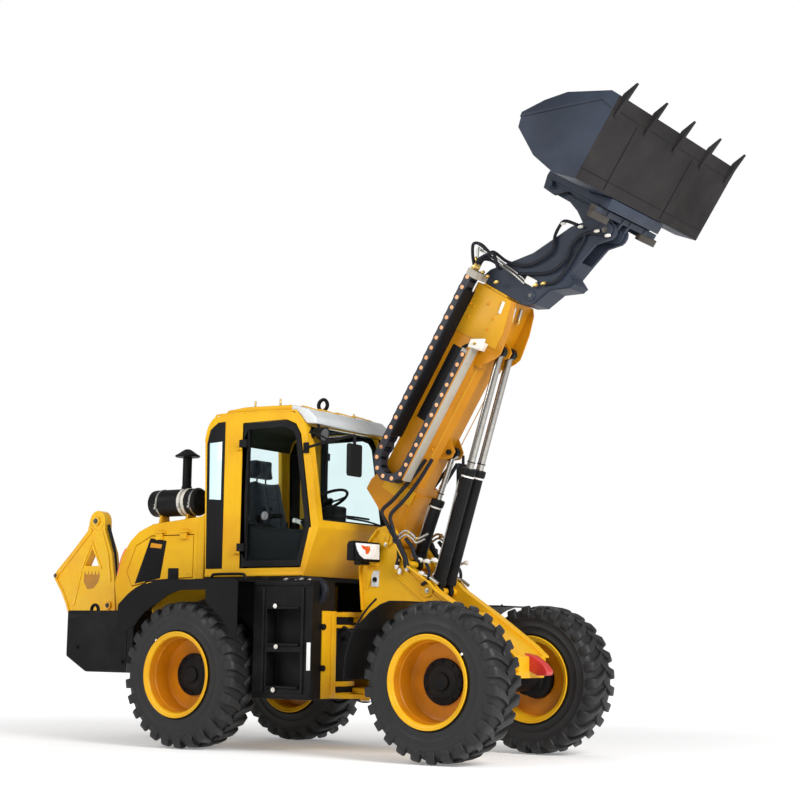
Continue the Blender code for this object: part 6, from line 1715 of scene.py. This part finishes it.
def build_cylinder(name, radius, rod_radius, length):
    """A hydraulic cylinder: barrel, end ring, gland, polished rod with its eye, and a feed pipe."""
    barrel_body, rod_body = name + "_barrel_body", name + "_rod_body"
    base = Vector(JOINTS[name + "_barrel_turn"]["pos_m"])
    axis = Vector(JOINTS[name + "_rod_slide"]["axis"]).normalized()
    away = axis.cross(Vector((0, 1, 0)))
    if away.x > 0:
        away.negate()

    def ring(bm, centre, inner, points, steps=40):
        lathe(bm, [(inner + out, along) for out, along in points], centre, axis, steps)

    dress(name + "_barrel_tube", name + "_barrel", "paint_black", barrel_body, 0.003, 24)
    bm = softened(name + "_rod", 0.002, 24)
    low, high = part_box(name + "_rod")
    reach = max((Vector((x, base.y, z)) - base).dot(axis) for x in (low.x, high.x) for z in (low.z, high.z))
    for face in bm.faces:
        if (face.calc_center_median() - base).dot(axis) > reach - 3.2 * rod_radius:
            face.material_index = 1
    make(name + "_polished_rod", bm, ["chrome", "paint_black"], rod_body, WORLD, replaces=name + "_rod")
    top = base + axis * length
    bm = bmesh.new()
    lathe(bm, [(radius + 0.0002, -0.052), (radius + 0.0075, -0.05), (radius + 0.0085, -0.044),
               (radius + 0.0085, -0.006), (radius + 0.0065, -0.001), (rod_radius + 0.01, 0.0035),
               (rod_radius + 0.0015, 0.004), (rod_radius + 0.0015, -0.001), (radius + 0.0002, -0.002)],
          top, axis, 40)
    ring(bm, base + axis * 0.07, radius, [(0.0002, -0.01), (0.006, -0.009), (0.006, 0.03), (0.0002, 0.032)])
    for share in PORTS:
        port = base + axis * (length * share) + away * radius
        bar(bm, port - away * 0.004, port + away * 0.018, 0.015, 20, 0.002)
    ring(bm, top, rod_radius, [(0.001, 0.05), (0.006, 0.051), (0.006, 0.058), (0.001, 0.059)], 32)
    make(name + "_gland", bm, "paint_black", barrel_body, WORLD)
    bm = bmesh.new()
    ring(bm, top - axis * 0.064, radius, [(0.0002, -0.007), (0.004, -0.006), (0.004, 0.006), (0.0002, 0.007)])
    lower, upper = (base + axis * (length * share) + away * (radius + 0.022) for share in PORTS)
    fitting(bm, lower, axis, 0.013, 0.04)
    make(name + "_bands", bm, "white_fitting", barrel_body, WORLD, slot="grey")
    bm = bmesh.new()
    tube(bm, [upper, upper - axis * 0.03, base + axis * (length * 0.5) + away * (radius + 0.013),
              lower + axis * 0.05 - away * 0.006, lower], 0.0075, 12)
    make(name + "_feed_pipe", bm, "zinc", barrel_body, WORLD)


# name, radius of the barrel, radius of the rod, length of the barrel
CYLINDERS = (("lift_right", 0.048, 0.03, 1.01), ("lift_left", 0.048, 0.03, 1.01),
             ("level", 0.048, 0.023, 0.56), ("tilt", 0.04, 0.022, 0.49))
# ---------------------------------------------------------------- coupler and bucket
BUCKET_HALF = 1.05


def build_coupler():
    bm = softened("coupler", 0.005, 22)
    place = TOOL.inverted()
    for face in bm.faces:
        spot = place @ face.calc_center_median()
        if spot.z < 0.0 and abs(spot.y) > 0.34:
            face.material_index = 1
    make("coupler_welded", bm, ["paint_slate", "bar_worn"], "bucket_and_coupler", WORLD, replaces="coupler")
    bm = bmesh.new()
    for side in (-1, 1):
        for y in (side * 0.0455, side * 0.0745):
            sign = 1 if abs(y) > 0.06 else -1
            lathe(bm, [(0.03, 0.0), (0.054, 0.0), (0.058, 0.003), (0.054, 0.008), (0.03, 0.008)], (0, y, 0),
                  (0, sign * side, 0), 32)
        y = side * 0.325
        strip(bm, [(0.11, 0.44), (0.095, 0.24), (0.105, 0.06)], 0.01, y - side * 0.001, y + side * 0.012)
        bar(bm, (0.117, side * 0.326, -0.03), (0.117, side * 0.35, -0.03), 0.026, 24, 0.003)
    # back plate between the hooks and ribs across it
    prism(bm, [(0.15, -0.115), (0.238, -0.117), (0.202, 0.075), (0.242, 0.291), (0.32, 0.425), (0.15, 0.44)], -0.44,
          0.44, 0.006)
    for y in (-0.38, -0.2, 0.2, 0.38):
        block(bm, (0.128, y - 0.01, 0.0), (0.155, y + 0.01, 0.42), 0.003)
    low_bar = bmesh.new()
    for side in (-1, 1):
        block(low_bar, (0.04, side * 0.27, -0.078), (0.098, side * 0.55, -0.04), 0.005)
    make("coupler_low_bar", low_bar, "bar_worn", "bucket_and_coupler", TOOL)
    make("coupler_bosses", bm, "paint_slate", "bucket_and_coupler", TOOL)


def build_bucket(sizes):
    """Shell with dark floor and tapered teeth, rims on the side plates, and seams across the underside."""
    bm = softened("bucket", 0.004, 20)
    down = TOOL.to_3x3() @ Vector((0, 0, -1))
    back = TOOL.inverted()
    pitch = 1.96 / (sizes.teeth - 1)
    for vert in bm.verts:
        spot = back @ vert.co
        if spot.x > 0.925:
            middle = round((spot.y + 0.98) / pitch) * pitch - 0.98
            share = 1 - 0.55 * min(1.0, (spot.x - 0.9) / 0.124)
            vert.co = TOOL @ Vector((spot.x, middle + (spot.y - middle) * share, spot.z))
    for face in bm.faces:
        if (abs(face.normal.y) < 0.5
            and face.normal.dot(down) > 0.55) or (back @ face.calc_center_median()).x > 0.905:
            face.material_index = 1
    make("bucket_shell", bm, ["paint_slate", "paint_floor"], "bucket_and_coupler", WORLD, replaces="bucket")
    plates, seams = bmesh.new(), bmesh.new()
    for side in (-1, 1):
        y = side * (BUCKET_HALF - 0.001)
        prism(plates, [(0.443, 0.549), (0.482, 0.553), (0.633, 0.423), (0.757, 0.28), (0.904, -0.042),
                       (0.898, -0.117), (0.798, -0.117), (0.82, -0.012)], y, y + side * 0.009, 0.003)
    for y in (-0.63, 0.33):
        block(seams, (0.262, y - 0.005, -0.1235), (0.778, y + 0.005, -0.1195), 0.0015)
    for x in (0.33, 0.8):
        block(seams, (x - 0.003, -BUCKET_HALF + 0.01, -0.1225), (x + 0.003, BUCKET_HALF - 0.01, -0.1195), 0.001)
    make("bucket_side_rims", plates, "paint_slate", "bucket_and_coupler", TOOL)
    make("bucket_seams", seams, "trim_rubber", "bucket_and_coupler", TOOL)




# ---------------------------------------------------------------- stage
CAMERA_SPOT = (7.638, -10.704, 0.908)
CAMERA_TURN, CAMERA_RISE, CAMERA_ROLL = math.radians(124.39), math.radians(8.6), math.radians(0.69)


def build_camera():
    data = bpy.data.cameras.new("view_camera")
    data.sensor_width = 36.0
    data.lens = 70.965
    data.clip_end = 200.0
    data.dof.use_dof = False
    ahead = Vector((math.cos(CAMERA_TURN) * math.cos(CAMERA_RISE), math.sin(CAMERA_TURN) * math.cos(CAMERA_RISE),
                    math.sin(CAMERA_RISE)))
    right = Vector((math.sin(CAMERA_TURN), -math.cos(CAMERA_TURN), 0))
    up = right.cross(ahead)
    turned = math.cos(CAMERA_ROLL) * right + math.sin(CAMERA_ROLL) * up
    upright = -math.sin(CAMERA_ROLL) * right + math.cos(CAMERA_ROLL) * up
    camera = bpy.data.objects.new("view_camera", data)
    place = Matrix((turned, upright, -ahead)).transposed().to_4x4()
    place.translation = Vector(CAMERA_SPOT) + MACHINE.translation
    camera.matrix_world = place
    bpy.context.scene.collection.objects.link(camera)
    bpy.context.scene.camera = camera


def build_floor(settings):
    bm = bmesh.new()
    bmesh.ops.create_circle(bm, cap_ends=True, segments=96, radius=60.0)
    bmesh.ops.translate(bm, verts=bm.verts, vec=(0, 0, -0.002))
    mesh = as_mesh(bm, "studio_floor")
    paper, tree, shader = finish_base("studio_paper", (0.93, 0.93, 0.93), 0.9, 0.985, grain=(60.0, 8.0, 0.4, 0.05),
                                      shade_scale=0.4, gloss=0.1)
    shader.inputs["Emission Color"].default_value = (1, 1, 1, 1)
    away = add_node(tree, "ShaderNodeVectorMath", [(0, own_place(tree))], operation="LENGTH").outputs["Value"]
    glow = ramp(tree, away, 2.5, 10.0, settings.floor_light, settings.floor_light + 0.5)
    tree.links.new(glow, shader.inputs["Emission Strength"])
    mesh.materials.append(paper)
    floor = bpy.data.objects.new("studio_floor", mesh)
    bpy.context.scene.collection.objects.link(floor)


def build_lights(settings):
    def area(name, spot, aim, size, power):
        data = bpy.data.lights.new(name, "AREA")
        data.shape = "RECTANGLE"
        data.size, data.size_y = size
        data.energy = power
        lamp = bpy.data.objects.new(name, data)
        spot, aim = Vector(spot), Vector(aim)
        lamp.matrix_world = Matrix.Translation(spot) @ (aim - spot).to_track_quat("-Z", "Y").to_matrix().to_4x4()
        lamp.visible_camera = lamp.visible_transmission = False
        bpy.context.scene.collection.objects.link(lamp)

    area("key_light", (-3.5, -9.0, 6.5), (0.0, 0.0, 1.6), (6.0, 4.0), settings.key_power)
    area("front_light", (8.5, -3.0, 5.8), (0.2, 0.0, 1.4), (4.0, 4.0), settings.key_power * 1.7)
    area("top_light", (0.0, 0.0, 9.5), (0.0, 0.0, 0.0), (9.0, 7.0), settings.key_power * 0.08)
    area("back_light", (-6.0, 8.0, 5.0), (0.0, 0.0, 2.0), (6.0, 4.0), settings.key_power * 0.25)
    # the backdrop is plain white to the eye, and lights the machine more softly
    world = bpy.data.worlds.new("studio_world")
    world.use_nodes = True
    tree = world.node_tree
    background = tree.nodes["Background"]
    background.inputs["Color"].default_value = (1.0, 1.0, 1.0, 1)
    rays = add_node(tree, "ShaderNodeLightPath")
    seen = sum_of(tree, rays.outputs["Is Camera Ray"], rays.outputs["Is Transmission Ray"], "MAXIMUM")
    tree.links.new(ramp(tree, seen, 0.0, 1.0, settings.world_light, 1.0, False), background.inputs["Strength"])
    bpy.context.scene.world = world
    bpy.context.scene.view_settings.view_transform = "Standard"




# ---------------------------------------------------------------- settings
class LoaderPaints(PropertyGroup):
    """Colours of the machine's finishes."""
    amber: FloatVectorProperty(name="Amber", description="Main body paint", default=(0.765, 0.425, 0.009), size=3,
                               min=0, max=1, subtype="COLOR")
    lemon: FloatVectorProperty(name="Lemon", description="Paint of the rear linkage", default=(0.86, 0.5, 0.004),
                               size=3, min=0, max=1, subtype="COLOR")
    black: FloatVectorProperty(name="Black", description="Paint of tanks and counterweight",
                               default=(0.0055, 0.0055, 0.006), size=3, min=0, max=1, subtype="COLOR")
    slate: FloatVectorProperty(name="Slate", description="Paint of bucket and boom head",
                               default=(0.024, 0.032, 0.05), size=3, min=0, max=1, subtype="COLOR")
    rubber: FloatVectorProperty(name="Rubber", description="Tyre rubber", default=(0.0105, 0.0105, 0.0115), size=3,
                                min=0, max=1, subtype="COLOR")
    glass: FloatVectorProperty(name="Glass", description="Tint of the cab's panes", default=(0.87, 0.962, 0.966),
                               size=3, min=0, max=1, subtype="COLOR")


class LoaderSizes(PropertyGroup):
    """Sizes that the detailed pieces take."""
    crown: FloatProperty(name="Tyre Crown", description="Radius of the tyre between its lugs", default=0.57,
                         min=0.54, max=0.58, unit="LENGTH")
    lugs: IntProperty(name="Lugs", description="Lugs on each side of a tyre", default=26, min=12, max=36)
    lug_width: FloatProperty(name="Lug Half Width", description="Half of a lug's width at the shoulder",
                             default=0.033, min=0.015, max=0.035, unit="LENGTH")
    chain_pitch: FloatProperty(name="Chain Pitch", description="Distance between the pegs of the energy chain",
                               default=0.091, min=0.05, max=0.15, unit="LENGTH")
    teeth: IntProperty(name="Bucket Teeth", description="Teeth on the bucket's edge", default=5, min=3, max=9)


class LoaderStage(PropertyGroup):
    """Light of the studio."""
    key_power: FloatProperty(name="Key Light", description="Power of the large side light", default=450.0, min=0.0,
                             unit="POWER")
    world_light: FloatProperty(name="Room Light", description="Strength of the light from all round", default=0.38,
                               min=0.0)
    floor_light: FloatProperty(name="Floor Glow", description="Light that the white floor gives off itself",
                               default=0.22, min=0.0)


# ---------------------------------------------------------------- operators
class LOADER_OT_finishes(Operator):
    """Mix all paints, rubbers and metals"""
    bl_idname = "loader.finishes"
    bl_label = "Finishes"

    def execute(self, context):
        mix_finishes(context.scene.loader_paints)
        return {"FINISHED"}


class LOADER_OT_tyres(Operator):
    """Build the four lugged tyres"""
    bl_idname = "loader.tyres"
    bl_label = "Tyres"

    def execute(self, context):
        sizes = context.scene.loader_sizes
        lug = lug_mesh(TYRE_HALF, LUG_TOP, sizes.lug_width)
        for corner, side in CORNERS:
            build_tyre(corner, side, sizes, lug)
        return {"FINISHED"}


class LOADER_OT_rims(Operator):
    """Build the four rims with their hubs"""
    bl_idname = "loader.rims"
    bl_label = "Rims"

    def execute(self, context):
        for corner, side in CORNERS:
            build_rim(corner, side)
        return {"FINISHED"}


class LOADER_OT_driveline(Operator):
    """Build the axles and drive shafts"""
    bl_idname = "loader.driveline"
    bl_label = "Axles and Shafts"

    def execute(self, context):
        build_axle("rear", "chassis")
        build_axle("front", "front_chassis")
        build_driveline()
        return {"FINISHED"}


class LOADER_OT_rear_frame(Operator):
    """Build the rear frame, hitch and bulkhead"""
    bl_idname = "loader.rear_frame"
    bl_label = "Rear Frame"

    def execute(self, context):
        build_rear_frame()
        build_hitch()
        return {"FINISHED"}


class LOADER_OT_counterweight(Operator):
    """Build the counterweight and rear lamps"""
    bl_idname = "loader.counterweight"
    bl_label = "Counterweight"

    def execute(self, context):
        build_counterweight()
        return {"FINISHED"}


class LOADER_OT_rear_linkage(Operator):
    """Build the rear linkage with its scoop"""
    bl_idname = "loader.rear_linkage"
    bl_label = "Rear Linkage"

    def execute(self, context):
        build_rear_linkage()
        return {"FINISHED"}


class LOADER_OT_engine(Operator):
    """Build the engine and the air cleaner"""
    bl_idname = "loader.engine"
    bl_label = "Engine and Air Cleaner"

    def execute(self, context):
        build_engine()
        build_air_cleaner()
        return {"FINISHED"}


class LOADER_OT_hood(Operator):
    """Build the hood and its side doors"""
    bl_idname = "loader.hood"
    bl_label = "Hood"

    def execute(self, context):
        build_hood()
        for word, side in SIDES:
            build_hood_door(word, side)
        return {"FINISHED"}


class LOADER_OT_mudguards(Operator):
    """Build the rear and front mudguards"""
    bl_idname = "loader.mudguards"
    bl_label = "Mudguards"

    def execute(self, context):
        for word, side in SIDES:
            build_rear_fender(word, side)
            build_front_fender(word, side)
        return {"FINISHED"}


class LOADER_OT_tanks(Operator):
    """Build the side tanks with their steps"""
    bl_idname = "loader.tanks"
    bl_label = "Tanks and Steps"

    def execute(self, context):
        for word, side in SIDES:
            build_side_tank(word, side)
        return {"FINISHED"}


class LOADER_OT_cab(Operator):
    """Build the cab's frame, panes, roof and mirrors"""
    bl_idname = "loader.cab"
    bl_label = "Cab"

    def execute(self, context):
        build_cab_shell()
        build_windows()
        build_roof()
        for word, side in SIDES:
            build_mirror(word, side)
        return {"FINISHED"}


class LOADER_OT_cab_doors(Operator):
    """Build both cab doors"""
    bl_idname = "loader.cab_doors"
    bl_label = "Cab Doors"

    def execute(self, context):
        for word, side in SIDES:
            build_cab_door(word, side)
        return {"FINISHED"}


class LOADER_OT_operator_place(Operator):
    """Build the seat, the steering gear and the levers"""
    bl_idname = "loader.operator_place"
    bl_label = "Seat and Steering"

    def execute(self, context):
        build_seat()
        build_steering()
        return {"FINISHED"}


class LOADER_OT_tower(Operator):
    """Build the front tower, nose and plumbing"""
    bl_idname = "loader.tower"
    bl_label = "Front Tower"

    def execute(self, context):
        build_tower()
        build_nose()
        build_tower_plumbing()
        return {"FINISHED"}


class LOADER_OT_headlights(Operator):
    """Build both headlights"""
    bl_idname = "loader.headlights"
    bl_label = "Headlights"

    def execute(self, context):
        for word, side in SIDES:
            build_headlight(word, side)
        return {"FINISHED"}


class LOADER_OT_boom(Operator):
    """Build the telescopic boom and its head"""
    bl_idname = "loader.boom"
    bl_label = "Boom"

    def execute(self, context):
        build_boom_outer()
        build_boom_inner()
        return {"FINISHED"}


class LOADER_OT_energy_chain(Operator):
    """Build the energy chain with its trays"""
    bl_idname = "loader.energy_chain"
    bl_label = "Energy Chain"

    def execute(self, context):
        build_chain(context.scene.loader_sizes)
        return {"FINISHED"}


class LOADER_OT_cylinders(Operator):
    """Build the hydraulic cylinders"""
    bl_idname = "loader.cylinders"
    bl_label = "Cylinders"

    def execute(self, context):
        for name, radius, rod_radius, length in CYLINDERS:
            build_cylinder(name, radius, rod_radius, length)
        return {"FINISHED"}


class LOADER_OT_bucket(Operator):
    """Build the coupler and the bucket"""
    bl_idname = "loader.bucket"
    bl_label = "Coupler and Bucket"

    def execute(self, context):
        build_coupler()
        build_bucket(context.scene.loader_sizes)
        return {"FINISHED"}


class LOADER_OT_stage(Operator):
    """Set up the floor, the lights and the camera"""
    bl_idname = "loader.stage"
    bl_label = "Stage"

    def execute(self, context):
        build_camera()
        build_floor(context.scene.loader_stage)
        build_lights(context.scene.loader_stage)
        return {"FINISHED"}


STEPS = (LOADER_OT_finishes, LOADER_OT_stage, LOADER_OT_tyres, LOADER_OT_rims, LOADER_OT_driveline,
         LOADER_OT_rear_frame, LOADER_OT_counterweight, LOADER_OT_rear_linkage, LOADER_OT_engine, LOADER_OT_hood,
         LOADER_OT_mudguards, LOADER_OT_tanks, LOADER_OT_cab, LOADER_OT_cab_doors, LOADER_OT_operator_place,
         LOADER_OT_tower, LOADER_OT_headlights, LOADER_OT_boom, LOADER_OT_energy_chain, LOADER_OT_cylinders,
         LOADER_OT_bucket)


class LOADER_PT_panel(Panel):
    """The loader's build steps and settings"""
    bl_idname = "LOADER_PT_panel"
    bl_label = "Telescopic Loader"
    bl_space_type = "VIEW_3D"
    bl_region_type = "UI"
    bl_category = "Loader"

    def draw(self, context):
        scene = context.scene
        for group in (scene.loader_paints, scene.loader_sizes, scene.loader_stage):
            box = self.layout.box()
            for name in group.bl_rna.properties.keys():
                if name not in {"rna_type", "name"}:
                    box.prop(group, name)
        column = self.layout.column(align=True)
        for step in STEPS:
            column.operator(step.bl_idname)


CLASSES = (LoaderPaints, LoaderSizes, LoaderStage) + STEPS + (LOADER_PT_panel,)


def register():
    for each in CLASSES:
        bpy.utils.register_class(each)
    bpy.types.Scene.loader_paints = PointerProperty(type=LoaderPaints)
    bpy.types.Scene.loader_sizes = PointerProperty(type=LoaderSizes)
    bpy.types.Scene.loader_stage = PointerProperty(type=LoaderStage)


def unregister():
    del bpy.types.Scene.loader_stage
    del bpy.types.Scene.loader_sizes
    del bpy.types.Scene.loader_paints
    for each in reversed(CLASSES):
        bpy.utils.unregister_class(each)


def main():
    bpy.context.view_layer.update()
    register()
    for step in STEPS:
        operator = getattr(bpy.ops.loader, step.bl_idname.split(".")[1])
        operator()


if __name__ == "__main__":
    main()
